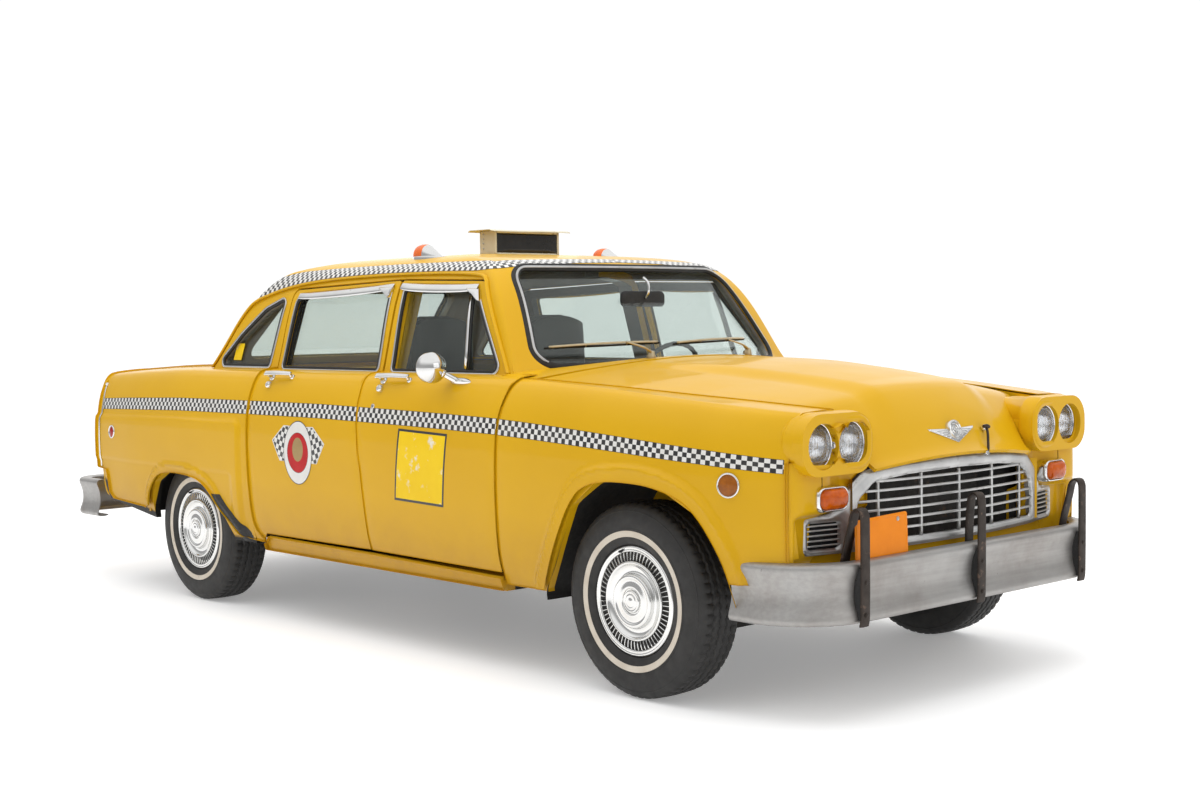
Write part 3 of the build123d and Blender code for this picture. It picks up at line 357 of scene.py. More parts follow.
def lampglass():
    m, nt, b = mat("headlamp_glass")
    tc = node(nt, "TexCoord")
    w = node(nt, "TexWave", Scale=46, Distortion=.4)
    w.bands_direction = "Y"
    nt.links.new(tc.outputs["Object"], w.inputs["Vector"])
    r = ramp(nt, w.outputs["Fac"], [(.2, (.86, .88, .90, 1)), (.8, (.97, .98, 1, 1))])
    nt.links.new(r.outputs["Color"], b.inputs["Base Color"])
    rr = ramp(nt, noise(nt, 30, 4, .6).outputs["Fac"], [(.3, g(.03)), (.8, g(.10))])
    nt.links.new(rr.outputs["Color"], b.inputs["Roughness"])
    b.inputs["Transmission Weight"].default_value = .92
    b.inputs["IOR"].default_value = 1.45
    b1 = bump(nt, b, w.outputs["Fac"], .55, .004)
    n = node(nt, "TexWave", Scale=9)
    n.bands_direction = "Z"
    nt.links.new(tc.outputs["Object"], n.inputs["Vector"])
    bump(nt, b, n.outputs["Fac"], .35, .004, b1)
    return m


M["lampglass"] = lampglass()


def checks(name, length, height, cell):
    """Black and white checks in the strip's own UV, with worn print."""
    m, nt, b = mat(name)
    uv = node(nt, "UVMap")
    mp = node(nt, "Mapping")
    mp.inputs["Scale"].default_value = (1 / cell, 1 / cell, 1)
    mp.inputs["Location"].default_value = (.0001, .0001, .5)
    nt.links.new(uv.outputs["UV"], mp.inputs["Vector"])
    ck = node(nt, "TexChecker", Scale=1.0)
    ck.inputs["Color1"].default_value = (.013, .013, .014, 1)
    ck.inputs["Color2"].default_value = (.72, .71, .68, 1)
    nt.links.new(mp.outputs["Vector"], ck.inputs["Vector"])
    sep = node(nt, "SeparateXYZ")
    nt.links.new(uv.outputs["UV"], sep.inputs[0])
    # thin black border along both edges
    lo = node(nt, "Math", operation="LESS_THAN"); lo.inputs[1].default_value = 0
    hi = node(nt, "Math", operation="GREATER_THAN"); hi.inputs[1].default_value = height
    nt.links.new(sep.outputs["Y"], lo.inputs[0]); nt.links.new(sep.outputs["Y"], hi.inputs[0])
    ad = node(nt, "Math", operation="ADD")
    nt.links.new(lo.outputs[0], ad.inputs[0]); nt.links.new(hi.outputs[0], ad.inputs[1])
    col = mix(nt, ad.outputs[0], ck.outputs["Color"], (.013, .013, .014, 1))
    dust = ramp(nt, noise(nt, 14, 7, .65).outputs["Fac"], [(.45, g(0)), (.9, g(.25))])
    col = mix(nt, dust.outputs["Color"], col, (.34, .31, .26, 1))
    nt.links.new(col, b.inputs["Base Color"])
    rr = ramp(nt, noise(nt, 10, 5, .6).outputs["Fac"], [(.3, g(.26)), (.8, g(.40))])
    nt.links.new(rr.outputs["Color"], b.inputs["Roughness"])
    b.inputs["Coat Weight"].default_value = .4
    b.inputs["Coat Roughness"].default_value = .08
    bump(nt, b, noise(nt, 300, 2, .5).outputs["Fac"], .05, .0003)
    return m


M["belt_checks"] = checks("belt_checks", 5, .0570, .0190)
M["roof_checks"] = checks("roof_checks", 5, .0720, .0180)


# ============================================================ mesh tools
def interp(xs, ys):
    """Smooth curve through a short table: monotone cubic."""
    xs, ys = np.asarray(xs, float), np.asarray(ys, float)
    h = np.diff(xs); d = np.diff(ys) / h
    m = np.zeros(len(xs))
    m[0], m[-1] = d[0], d[-1]
    for i in range(1, len(xs) - 1):
        if d[i - 1] * d[i] > 0:
            w1, w2 = 2 * h[i] + h[i - 1], h[i] + 2 * h[i - 1]
            m[i] = (w1 + w2) / (w1 / d[i - 1] + w2 / d[i])

    def f(x):
        x = np.asarray(x, float)
        i = np.clip(np.searchsorted(xs, x) - 1, 0, len(h) - 1)
        t = (x - xs[i]) / h[i]
        lo, hi = t < 0, t > 1
        tt = np.clip(t, 0, 1)
        y = ((1 + 2 * tt) * (1 - tt) ** 2 * ys[i] + tt * (1 - tt) ** 2 * h[i] * m[i]
             + tt ** 2 * (3 - 2 * tt) * ys[i + 1] + tt ** 2 * (tt - 1) * h[i] * m[i + 1])
        y = np.where(lo, ys[0] + m[0] * (x - xs[0]), y)
        return np.where(hi, ys[-1] + m[-1] * (x - xs[-1]), y)
    return f


def smooth(a, b, x):
    t = np.clip((np.asarray(x, float) - a) / (b - a), 0, 1)
    return t * t * (3 - 2 * t)


def inside(P, poly):
    x, y = P[:, 0], P[:, 1]
    q = np.zeros(len(P), bool)
    n = len(poly)
    for i in range(n):
        x0, y0 = poly[i]; x1, y1 = poly[(i + 1) % n]
        if y0 == y1:
            continue
        c = ((y0 > y) != (y1 > y)) & (x < (x1 - x0) * (y - y0) / (y1 - y0) + x0)
        q ^= c
    return q


def dist_poly(P, poly, closed=True):
    d = np.full(len(P), 1e9)
    n = len(poly)
    for i in range(n if closed else n - 1):
        a, b = np.array(poly[i]), np.array(poly[(i + 1) % n])
        ab = b - a
        L = max((ab ** 2).sum(), 1e-12)
        t = np.clip(((P - a) @ ab) / L, 0, 1)
        d = np.minimum(d, np.hypot(*(P - a - t[:, None] * ab).T))
    return d


def rounded(pts, seg=7):
    """Polygon with rounded corners; rows (u, v[, radius])."""
    out = []
    n = len(pts)
    for i in range(n):
        p = np.array(pts[i][:2], float)
        r = pts[i][2] if len(pts[i]) > 2 else 0
        if r <= 0:
            out.append(tuple(p)); continue
        a = np.array(pts[i - 1][:2]) - p; b = np.array(pts[(i + 1) % n][:2]) - p
        la, lb = np.hypot(*a), np.hypot(*b)
        a, b = a / la, b / lb
        half = math.acos(np.clip(a @ b, -1, 1)) / 2
        d = min(r / math.tan(half), .48 * la, .48 * lb)
        rr = d * math.tan(half)
        c = p + (a + b) / np.hypot(*(a + b)) * rr / math.sin(half)
        s, e = p + a * d - c, p + b * d - c
        a0, a1 = math.atan2(s[1], s[0]), math.atan2(e[1], e[0])
        da = (a1 - a0 + pi) % (2 * pi) - pi
        for k in range(seg + 1):
            t = a0 + da * k / seg
            out.append((c[0] + rr * math.cos(t), c[1] + rr * math.sin(t)))
    return out


def resample(poly, step, closed=True):
    out = []
    n = len(poly)
    for i in range(n if closed else n - 1):
        a, b = np.array(poly[i], float), np.array(poly[(i + 1) % n], float)
        k = max(1, int(math.ceil(np.hypot(*(b - a)) / step)))
        for j in range(k):
            out.append(tuple(a + (b - a) * j / k))
    if not closed:
        out.append(tuple(poly[-1]))
    return out


def build(name, V, F, material, body="root", normals=None, smooth_on=True, uv=None, slot=None, mats=None, fmat=None, sharp=None):
    me = bpy.data.meshes.new(name)
    me.from_pydata([tuple(map(float, v)) for v in V], [], [tuple(map(int, f)) for f in F])
    if uv is not None:
        lay = me.uv_layers.new(name="UVMap")
        li = np.zeros(len(me.loops), np.int32)
        me.loops.foreach_get("vertex_index", li)
        lay.data.foreach_set("uv", np.asarray(uv, np.float32)[li].ravel())
    if smooth_on:
        me.polygons.foreach_set("use_smooth", [True] * len(me.polygons))
    if sharp is not None:
        me.set_sharp_from_angle(angle=math.radians(sharp))
    if normals is not None:
        me.normals_split_custom_set_from_vertices([tuple(map(float, q)) for q in normals])
    for q in (mats or [material]):
        me.materials.append(q)
    if fmat is not None:
        me.polygons.foreach_set("material_index", list(map(int, fmat)))
    o = bpy.data.objects.new(name, me)
    SC.collection.objects.link(o)
    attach(o, body)
    return o


def sheet(name, outline, holes, step, fn, material, body="root", thick=.003, lip=None, side=1, rim=True, uvs=None, slot="body_paint", both_sides=True, curve=None):
    """Trimmed sheet: the outline and holes are in the surface's own two
    coordinates, and fn maps them to the row frame."""
    outs = []
    loops = [resample(outline, step)] + [resample(h, step) for h in holes]
    B = np.array([p for l in loops for p in l])
    edges, base = [], 0
    for l in loops:
        k = len(l)
        edges += [(base + i, base + (i + 1) % k) for i in range(k)]
        base += k
    lo, hi = B.min(0), B.max(0)
    nx, ny = [max(2, int((hi[i] - lo[i]) / step)) for i in (0, 1)]
    gx, gy = np.meshgrid(np.linspace(lo[0], hi[0], nx + 1), np.linspace(lo[1], hi[1], ny + 1))
    G = np.stack([gx.ravel(), gy.ravel()], 1)
    keep = inside(G, loops[0])
    for h in loops[1:]:
        keep &= ~inside(G, h)
    G = G[keep]
    dmin = np.full(len(G), 1e9)
    for l in loops:
        dmin = np.minimum(dmin, dist_poly(G, l))
    G = G[dmin > step * .42]
    P = np.vstack([B, G])
    r = delaunay_2d_cdt([Vector(p) for p in P], edges, [], 0, 1e-7)
    Q = np.array([tuple(v) for v in r[0]])
    T = np.array([f for f in r[2] if len(f) == 3])
    C = Q[T].mean(1)
    keep = inside(C, loops[0])
    for h in loops[1:]:
        keep &= ~inside(C, h)
    T = T[keep]
    e = 1e-4
    X = fn(Q)
    du = fn(Q + np.array([e, 0])) - fn(Q - np.array([e, 0]))
    dv = fn(Q + np.array([0, e])) - fn(Q - np.array([0, e]))
    Nn = np.cross(du, dv)
    Nn /= np.maximum(np.linalg.norm(Nn, axis=1), 1e-12)[:, None]
    # orient by the given sense
    tri = X[T]
    fnm = np.cross(tri[:, 1] - tri[:, 0], tri[:, 2] - tri[:, 0])
    if (fnm * Nn[T[:, 0]]).sum(1).mean() < 0:
        T = T[:, ::-1]
    for sgn in ((1, -1) if both_sides else (side,)):
        XX, NN, TT = X.copy(), Nn.copy(), T.copy()
        if sgn < 0:
            XX[:, 1] *= -1; NN[:, 1] *= -1; TT = TT[:, ::-1]
        V, Nr, F = [XX], [NN], [TT]
        cnt = len(XX)
        # boundary edges
        ed = {}
        for t in TT:
            for a, b in ((t[0], t[1]), (t[1], t[2]), (t[2], t[0])):
                ed[(a, b)] = 1
        bd = [(a, b) for (a, b) in ed if (b, a) not in ed]
        depth = lip if lip is not None else thick
        if rim and bd:
            idx = sorted(set(i for q in bd for i in q))
            mp = {v: i for i, v in enumerate(idx)}
            outn = np.zeros((len(idx), 3))
            for a, b in bd:
                ev = XX[b] - XX[a]
                o = np.cross(ev, NN[a])
                o = o / max(np.linalg.norm(o), 1e-12)
                outn[mp[a]] += o; outn[mp[b]] += o
            outn /= np.maximum(np.linalg.norm(outn, axis=1), 1e-12)[:, None]
            top = XX[idx]
            bot = top - NN[idx] * depth
            V += [top, bot]; Nr += [outn, outn]
            k = len(idx)
            F.append(np.array([(cnt + mp[a], cnt + mp[a] + k, cnt + mp[b] + k) for a, b in bd]))
            F.append(np.array([(cnt + mp[a], cnt + mp[b] + k, cnt + mp[b]) for a, b in bd]))
            cnt += 2 * k
        if thick and lip is None:
            V.append(XX - NN * thick); Nr.append(-NN); F.append(TT[:, ::-1] + cnt)
            cnt += len(XX)
        VV, NR, FF = np.vstack(V), np.vstack(Nr), np.vstack(F)
        nm = name
        if both_sides:
            nm = name + ("_left" if sgn > 0 else "_right")
        uv = None
        if uvs is not None:
            qq = uvs(Q)
            uv = np.vstack([qq, np.zeros((len(VV) - len(Q), 2))])
        o = build(nm, VV, FF, material, body if isinstance(body, str) else body[0 if sgn > 0 else 1], NR, uv=uv, slot=slot)
        outs.append(o)
    return outs


def grid(name, X, material, body="root", closed_u=False, closed_v=False, slot=None, smooth_on=True, sharp=None, flipf=False, caps=False, uv=None):
    """Mesh from a (rows, columns, 3) array."""
    R, Cn = X.shape[:2]
    V = X.reshape(-1, 3)
    F = []
    for i in range(R if closed_u else R - 1):
        for j in range(Cn if closed_v else Cn - 1):
            a, b = i * Cn + j, i * Cn + (j + 1) % Cn
            c, d = ((i + 1) % R) * Cn + (j + 1) % Cn, ((i + 1) % R) * Cn + j
            F.append((a, b, c, d) if not flipf else (d, c, b, a))
    if caps:
        F.append(tuple(range(Cn))[::-1] if not flipf else tuple(range(Cn)))
        F.append(tuple((R - 1) * Cn + j for j in range(Cn)) if not flipf else tuple((R - 1) * Cn + j for j in range(Cn))[::-1])
    return build(name, V, F, material, body, smooth_on=smooth_on, slot=slot, sharp=sharp, uv=uv)


def join(name, objs, body="root"):
    """Several made pieces as one, already in place."""
    objs = [o for o in objs if o]
    for o in objs:
        o.parent = None
    for o in bpy.context.selected_objects:
        o.select_set(False)
    with bpy.context.temp_override(active_object=objs[0], selected_editable_objects=objs, selected_objects=objs, object=objs[0]):
        bpy.ops.object.join()
    o = objs[0]
    o.name = name
    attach(o, body)
    return o


def tube(name, pts, r, material, body="root", n=10, closed=False, flat=None, caps=True, slot=None, up=(0, 0, 1), sharp=None, rs=None):
    """Bar or bead along a path. flat=(width, height) gives a rounded strip."""
    P = np.array(pts, float)
    K = len(P)
    T = np.zeros_like(P)
    for i in range(K):
        a = P[(i - 1) % K] if (closed or i > 0) else P[i]
        b = P[(i + 1) % K] if (closed or i < K - 1) else P[i]
        T[i] = (b - a) / max(np.linalg.norm(b - a), 1e-12)
    up = np.array(up, float)
    rows = []
    prev = None
    for i in range(K):
        u = up[i] if up.ndim == 2 else up
        s = np.cross(T[i], u)
        if np.linalg.norm(s) < 1e-3:
            s = prev if prev is not None else np.cross(T[i], (1, 0, 0))
        s /= np.linalg.norm(s)
        prev = s
        w = np.cross(s, T[i])
        ang = np.linspace(0, 2 * pi, n, endpoint=False) + pi / n
        rr = rs[i] if rs is not None else 1
        if flat:
            ca, sa = np.cos(ang), np.sin(ang)
            e = .5
            cx = np.sign(ca) * np.abs(ca) ** e * flat[0] / 2 * rr
            cy = np.sign(sa) * np.abs(sa) ** e * flat[1] / 2 * rr
        else:
            cx, cy = np.cos(ang) * r * rr, np.sin(ang) * r * rr
        rows.append(P[i] + cx[:, None] * s + cy[:, None] * w)
    return grid(name, np.array(rows), material, body, closed_u=closed, closed_v=True, caps=caps and not closed, slot=slot, sharp=sharp, flipf=True)


def spline(pts, n=40, closed=False):
    """Catmull-Rom through the points."""
    P = [np.array(p, float) for p in pts]
    K = len(P)
    out = []
    segs = K if closed else K - 1
    for i in range(segs):
        p0 = P[(i - 1) % K] if (closed or i > 0) else 2 * P[0] - P[1]
        p1, p2 = P[i], P[(i + 1) % K]
        p3 = P[(i + 2) % K] if (closed or i < K - 2) else 2 * P[-1] - P[-2]
        m = max(2, n // segs)
        for k in range(m):
            t = k / m
            out.append(.5 * ((2 * p1) + (-p0 + p2) * t + (2 * p0 - 5 * p1 + 4 * p2 - p3) * t * t + (-p0 + 3 * p1 - 3 * p2 + p3) * t ** 3))
    if not closed:
        out.append(P[-1])
    return np.array(out)


def rev(name, prof, at, axis, material, body="root", n=64, slot=None, sharp=None, closed=False, flipf=False):
    """Turned piece: profile rows (radius, offset along the axis)."""
    ax = Vector(axis).normalized()
    s = ax.orthogonal().normalized()
    t = ax.cross(s)
    A = np.array(prof, float)
    ang = np.linspace(0, 2 * pi, n, endpoint=False)
    X = (np.array(at) + A[:, 1][:, None, None] * np.array(ax)
         + A[:, 0][:, None, None] * (np.cos(ang)[None, :, None] * np.array(s) + np.sin(ang)[None, :, None] * np.array(t)))
    return grid(name, X, material, body, closed_v=True, closed_u=closed, slot=slot, sharp=sharp, flipf=flipf)


# ============================================================ camera, light, floor
YAW, PITCH, ROLL = math.radians(137.3106), math.radians(-2.848), math.radians(-.7893)
CAM = Vector((5.994, -4.9428, 1.3415))
fwd = Vector((math.cos(YAW) * math.cos(PITCH), math.sin(YAW) * math.cos(PITCH), math.sin(PITCH)))
rt = fwd.cross(Vector((0, 0, 1))).normalized()
up = rt.cross(fwd)
rt2 = rt * math.cos(ROLL) + up * math.sin(ROLL)
up2 = -rt * math.sin(ROLL) + up * math.cos(ROLL)
cam_data = bpy.data.cameras.new("camera")
cam_data.lens = 1682.737 / 1200 * 36
cam_data.sensor_width = 36
cam_data.clip_end = 200
cam = bpy.data.objects.new("camera", cam_data)
SC.collection.objects.link(cam)
cam.matrix_world = Matrix(((rt2.x, up2.x, -fwd.x, CAM.x), (rt2.y, up2.y, -fwd.y, CAM.y), (rt2.z, up2.z, -fwd.z, CAM.z), (0, 0, 0, 1)))
SC.camera = cam


def area(name, loc, look, size, size_y, power, color=(1, 1, 1)):
    d = bpy.data.lights.new(name, "AREA")
    d.shape = "RECTANGLE"
    d.size, d.size_y, d.energy, d.color = size, size_y, power, color
    o = bpy.data.objects.new(name, d)
    SC.collection.objects.link(o)
    o.location = loc
    o.rotation_euler = (Vector(look) - Vector(loc)).to_track_quat("-Z", "Y").to_euler()
    return o


area("key_top", (.6, -1.2, 5.2), (0, 0, .6), 8, 4.5, 170).visible_glossy = False
area("side_soft", (1.5, -8.5, 3.2), (0, 0, .7), 9, 4, 4)
area("front_soft", (9, 1.5, 3.4), (0, 0, .7), 6, 4, 60)
area("back_soft", (-8, 4, 4), (0, 0, .8), 6, 4, 40)
area("left_soft", (0, 8.5, 4), (0, 0, .8), 8, 4, 40)
wd = bpy.data.worlds.new("world")
wd.use_nodes = True
wd.node_tree.nodes["Background"].inputs["Color"].default_value = (1, 1, 1, 1)
wnt = wd.node_tree
# an open studio: white backdrop behind the car and overhead, dimmer low down elsewhere
wtc = node(wnt, "TexCoord")
wdot = node(wnt, "VectorMath", operation="DOT_PRODUCT")
wdot.inputs[1].default_value = (-.735, .678, 0)
wnt.links.new(wtc.outputs["Generated"], wdot.inputs[0])
w1 = node(wnt, "MapRange"); w1.interpolation_type = "SMOOTHSTEP"
w1.inputs["From Min"].default_value = .66; w1.inputs["From Max"].default_value = .86
wnt.links.new(wdot.outputs["Value"], w1.inputs["Value"])
wsep = node(wnt, "SeparateXYZ")
wnt.links.new(wtc.outputs["Generated"], wsep.inputs[0])
w2 = node(wnt, "MapRange"); w2.interpolation_type = "SMOOTHSTEP"
w2.inputs["From Min"].default_value = .20; w2.inputs["From Max"].default_value = .66
wnt.links.new(wsep.outputs["Z"], w2.inputs["Value"])
w3 = node(wnt, "Math", operation="MAXIMUM")
wnt.links.new(w1.outputs["Result"], w3.inputs[0]); wnt.links.new(w2.outputs["Result"], w3.inputs[1])
w4 = node(wnt, "Math", operation="MULTIPLY_ADD")
w4.inputs[1].default_value = .62; w4.inputs[2].default_value = .42
wnt.links.new(w3.outputs[0], w4.inputs[0])
wnt.links.new(w4.outputs[0], wnt.nodes["Background"].inputs["Strength"])
SC.world = wd
fm, fnt, fb = mat("floor_white")
nf = noise(fnt, .6, 3, .5)
rf = ramp(fnt, nf.outputs["Fac"], [(.3, g(.86)), (.7, g(.89))])
fnt.links.new(rf.outputs["Color"], fb.inputs["Base Color"])
fb.inputs["Roughness"].default_value = .62
fb.inputs["Specular IOR Level"].default_value = .25
bump(fnt, fb, noise(fnt, 40, 3, .5).outputs["Fac"], .02, .001)
fb.inputs["Emission Color"].default_value = (1, 1, 1, 1)
fb.inputs["Emission Strength"].default_value = .26
fl = bpy.data.meshes.new("floor")
rowsf = [(-40, 0), (40, 0)]
fl.from_pydata([(-60, -60, 0), (60, -60, 0), (60, 60, 0), (-60, 60, 0)], [], [(0, 1, 2, 3)])
fl.materials.append(fm)
flo = bpy.data.objects.new("floor", fl)
SC.collection.objects.link(flo)
flo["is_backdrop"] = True

# ============================================================ body side
SKIN = .003
PROFILE = np.array([(.905, .310), (.925, .365), (.948, .46), (.9575, .56), (.9620, .66), (.9632, .74), (.9615, .82), (.9560, .90),
                    (.9480, .955), (.9365, 1.005), (.9255, 1.037), (.9135, 1.065), (.8990, 1.089), (.8845, 1.1035), (.8680, 1.1125)])
W0 = .9632
SL = np.concatenate([[0], np.cumsum(np.hypot(*np.diff(PROFILE, axis=0).T))])
S1 = SL[-1]
S2 = S1 + .068                     # the inner end of the flat shoulder
f_y, f_z = interp(SL, PROFILE[:, 0]), interp(SL, PROFILE[:, 1])
f_s = interp(PROFILE[:, 1], SL)    # height to distance along the profile

wing_w = interp([1.0, 1.1, 1.5, 1.9, 2.18, 2.30, 2.39, 2.43, 2.46], [.9632, .9625, .9605, .9545, .9245, .8930, .8580, .8370, .8200])
wing_zt = interp([1.0, 1.1, 1.5, 1.9, 2.18, 2.30, 2.43], [1.1125, 1.1105, 1.0910, 1.0610, 1.0370, 1.0270, 1.0150])
wing_ye = interp([1.0, 1.1, 1.5, 1.9, 2.18, 2.30, 2.43], [.861, .8505, .7945, .7115, .6595, .6315, .6065])
wing_ze = interp([1.0, 1.1, 1.5, 1.9, 2.18, 2.30, 2.43], [1.1105, 1.1085, 1.0885, 1.0585, 1.0385, 1.0285, 1.0185])
quarter_w = interp([-2.32, -2.172, -1.70, -1.268, -.6, 0, 1.0], [.926, .934, .9585, .9632, .9632, .9632, .9632])
quarter_zt = interp([-2.32, -2.172, -1.70, -1.268, -.6, 0, 1.0], [1.066, 1.077, 1.1005, 1.1125, 1.1125, 1.1125, 1.1125])
quarter_yi = interp([-2.32, -1.70, -1.55, -1.10, -.6, 0, 1.0], [.612, .612, .62, .72, .797, .797, .797])
quarter_zi = interp([-2.32, -2.172, -1.70, -1.268, -.6, 0, 1.0], [1.0805, 1.0885, 1.1105, 1.1185, 1.1185, 1.1185, 1.1185])

ARCH_F = [(-.449, .30), (-.449, .343), (-.396, .435), (-.339, .543), (-.264, .669), (-.192, .736), (-.088, .766), (.046, .772), (.160, .762), (.270, .725), (.353, .659), (.427, .544), (.462, .43), (.475, .30)]
ARCH_F = [(x + 1.780, z) for x, z in ARCH_F]
ARCH_R = [(-1.640, .20), (-1.634, .37), (-1.627, .44), (-1.597, .512), (-1.521, .586), (-1.418, .614), (-1.256, .617), (-1.112, .599), (-1.019, .556), (-.941, .484), (-.850, .415), (-.788, .351), (-.770, .20)]
af = spline(ARCH_F, 60)
ar = spline(ARCH_R, 60)


def flare(P, arch, w0=.014, reach=.068):
    d = dist_poly(P, [tuple(p) for p in arch], closed=False)
    t = np.clip(d / reach, 0, 1)
    return w0 * (1 - smooth(.55, 1, t)) * (1 - .25 * (1 - t)) + .004 * np.exp(-((t - .62) / .12) ** 2)


def side_fn(kind):
    if kind == "wing":
        w, zt, yi, zi = wing_w, wing_zt, wing_ye, wing_ze
    else:
        w, zt, yi, zi = quarter_w, quarter_zt, quarter_yi, quarter_zi

    def fn(Q):
        x, s = Q[:, 0], Q[:, 1]
        sc = np.minimum(s, S1)
        y0, z0 = f_y(sc), f_z(sc)
        k = (zt(x) - .72) / (1.1125 - .72)
        z = np.where(z0 > .72, .72 + (z0 - .72) * k, z0)
        inset = W0 - y0
        if kind == "wing":
            front = smooth(2.15, 2.43, x)
            inset = np.where(z0 > .8, inset * (1 - .22 * front), inset * (1 - .25 * front))
        y = w(x) - inset + SKIN
        # the shoulder runs on, almost level, to the hood, lid or glass
        t = np.clip((s - S1) / (S2 - S1), 0, None)
        ysh, zsh = y, z
        up = s > S1
        yy = ysh + (yi(x) - ysh) * t
        zz = zsh + (zi(x) + SKIN - zsh) * (1 - (1 - np.clip(t, 0, 1)) ** 2)
        y = np.where(up, yy, y)
        z = np.where(up, zz, z)
        if kind == "wing":
            Z = np.stack([x, z], 1)
            near = (z < .9) & (x > 1.2) & (x < 2.4)
            add = np.zeros(len(x))
            if near.any():
                add[near] = flare(Z[near], af)
            y = y + add * (z < .9)
        if kind == "quarter":
            Z = np.stack([x, z], 1)
            near = (z < .75) & (x < -.60)
            add = np.zeros(len(x))
            if near.any():
                add[near] = flare(Z[near], ar, .010, .055)
            # applied rear fender: a raised field with a rounded upper front corner
            top = .905 - .0243 * np.clip((-.82 - x) / 1.28, 0, 1.2)
            bx = np.minimum(smooth(-.722, -.752, x), 1)
            corner = np.hypot(np.clip(x + .80, 0, None), np.clip(z - top + .055, 0, None))
            field = smooth(.062, .030, corner) * smooth(top + .006, top - .026, z) * bx
            low = smooth(.30, .42, z)
            y = y + .013 * field * low + add * (z < .75)
            y = y - .006 * smooth(.650, .638, z) * field * smooth(-.80, -.84, x)
        return np.stack([x, y, z], 1)
    return fn


wing_fn, quarter_fn, door_fn = side_fn("wing"), side_fn("quarter"), side_fn("door")


def xs(pts):
    """Outline rows (x, z) on the side as (x, distance along the profile)."""
    out = []
    for p in pts:
        out.append((p[0], float(f_s(p[1])) if p[1] < 1.1125 else S1 + (p[1] - 1.1125) / .006 * (S2 - S1)))
    return out


G2 = .0022                          # half a shut gap
TOPZ = 1.1185


def run(pts, step=.03):
    return resample(pts, step, closed=False)


# shut lines, in x and z
LINE_A = [tuple(p) for p in spline([(1.090, .36), (1.0915, .60), (1.0925, .85), (1.098, .97), (1.1215, 1.07), (1.143, 1.1125)], 40)]
LINE_B = [tuple(p) for p in spline([(.2385, .36), (.230, .55), (.205, .75), (.1745, .925), (.166, 1.01), (.180, 1.07), (.1615, 1.1125)], 40)]
LINE_B = [tuple(p) for p in spline([(.2385, .36), (.232, .50), (.2085, .72), (.1745, .925), (.1690, 1.03), (.1615, 1.1125)], 40)]
LINE_C = [tuple(p) for p in spline([(-.585, .352), (-.628, .375), (-.660, .430), (-.672, .60), (-.682, .93), (-.679, 1.05), (-.676, 1.1125)], 40)]


def shift(line, dx):
    return [(p[0] + dx, p[1]) for p in line]


def rolled(fn, lines):
    """The panel edges roll in a little at the shut lines."""
    tabs = []
    for l in lines:
        L_ = sorted([(p[1], p[0]) for p in l])
        tabs.append((np.array([q[0] for q in L_]), np.array([q[1] for q in L_])))

    def f(Q):
        P = fn(Q)
        for zz_, xx_ in tabs:
            d_ = np.abs(P[:, 0] - np.interp(P[:, 2], zz_, xx_))
            P[:, 1] = P[:, 1] - .0023 * np.exp(-(d_ / .030) ** 2)
        return P
    return f


wing_fn = rolled(wing_fn, [LINE_A])
door_fn = rolled(door_fn, [LINE_A, LINE_B])
quarter_fn = rolled(quarter_fn, [LINE_B, LINE_C])

# front wing
wo = []
wo += shift([p for p in LINE_A if p[1] > .36], G2)
low = [(1.0905 + G2 + .006, .335)] + [tuple(p) for p in resample([(1.10, .335), (1.331, .338)], .03, False)]
arch = [tuple(p) for p in af if .338 < p[1] and p[0] < 2.30][0:]
a0 = [p for p in arch]
front_low = [(2.238, .455), (2.30, .455), (2.432, .47)]
wing_out_xz = low + a0[:-0 or None] + front_low
WX = [(p[0], p[1]) for p in wing_out_xz]
top_row = [(2.432, S2), (1.166, S2)]
outl = xs(WX) + [(2.432, float(f_s(.60))), (2.432, S1)] + top_row + list(reversed(xs([p for p in shift(LINE_A, G2 + .006) if p[1] > .37])))
sheet("front_wing_skin", outl, [], .0135, wing_fn, M["paint"], lip=.004)

# doors
fd_bottom = [(1.086, .372), (.243, .384)]
fo = ([(1.0905 - G2, float(f_s(.380)))] + xs(shift([p for p in LINE_A if p[1] > .385], -G2)) + [(1.150, S2)] + [(.1615 + G2, S2)]
      + list(reversed(xs(shift([p for p in LINE_B if p[1] > .395], G2)))) + xs([(.2425, .387)]))
sheet("front_door_skin", fo, [], .0145, door_fn, M["paint"], ("front_door_left", "front_door_right"), lip=.0035)
ro = (xs([(.2345, .388)]) + xs(shift([p for p in LINE_B if p[1] > .395], -G2)) + [(.1615 - G2, S2), (-.676 + G2, S2)]
      + list(reversed(xs(shift([p for p in LINE_C if p[1] > .375], G2)))) + xs([(-.60, .360), (-.575, .386)]))
sheet("rear_door_skin", ro, [], .0145, quarter_fn, M["paint"], ("rear_door_left", "rear_door_right"), lip=.0035)

# rear quarter: the tail edge follows the bowed tail
TR, TX = 4.353, -2.290


def tail_x(y, proud=0.0):
    return TX + TR - math.sqrt((TR + proud) ** 2 - y * y)


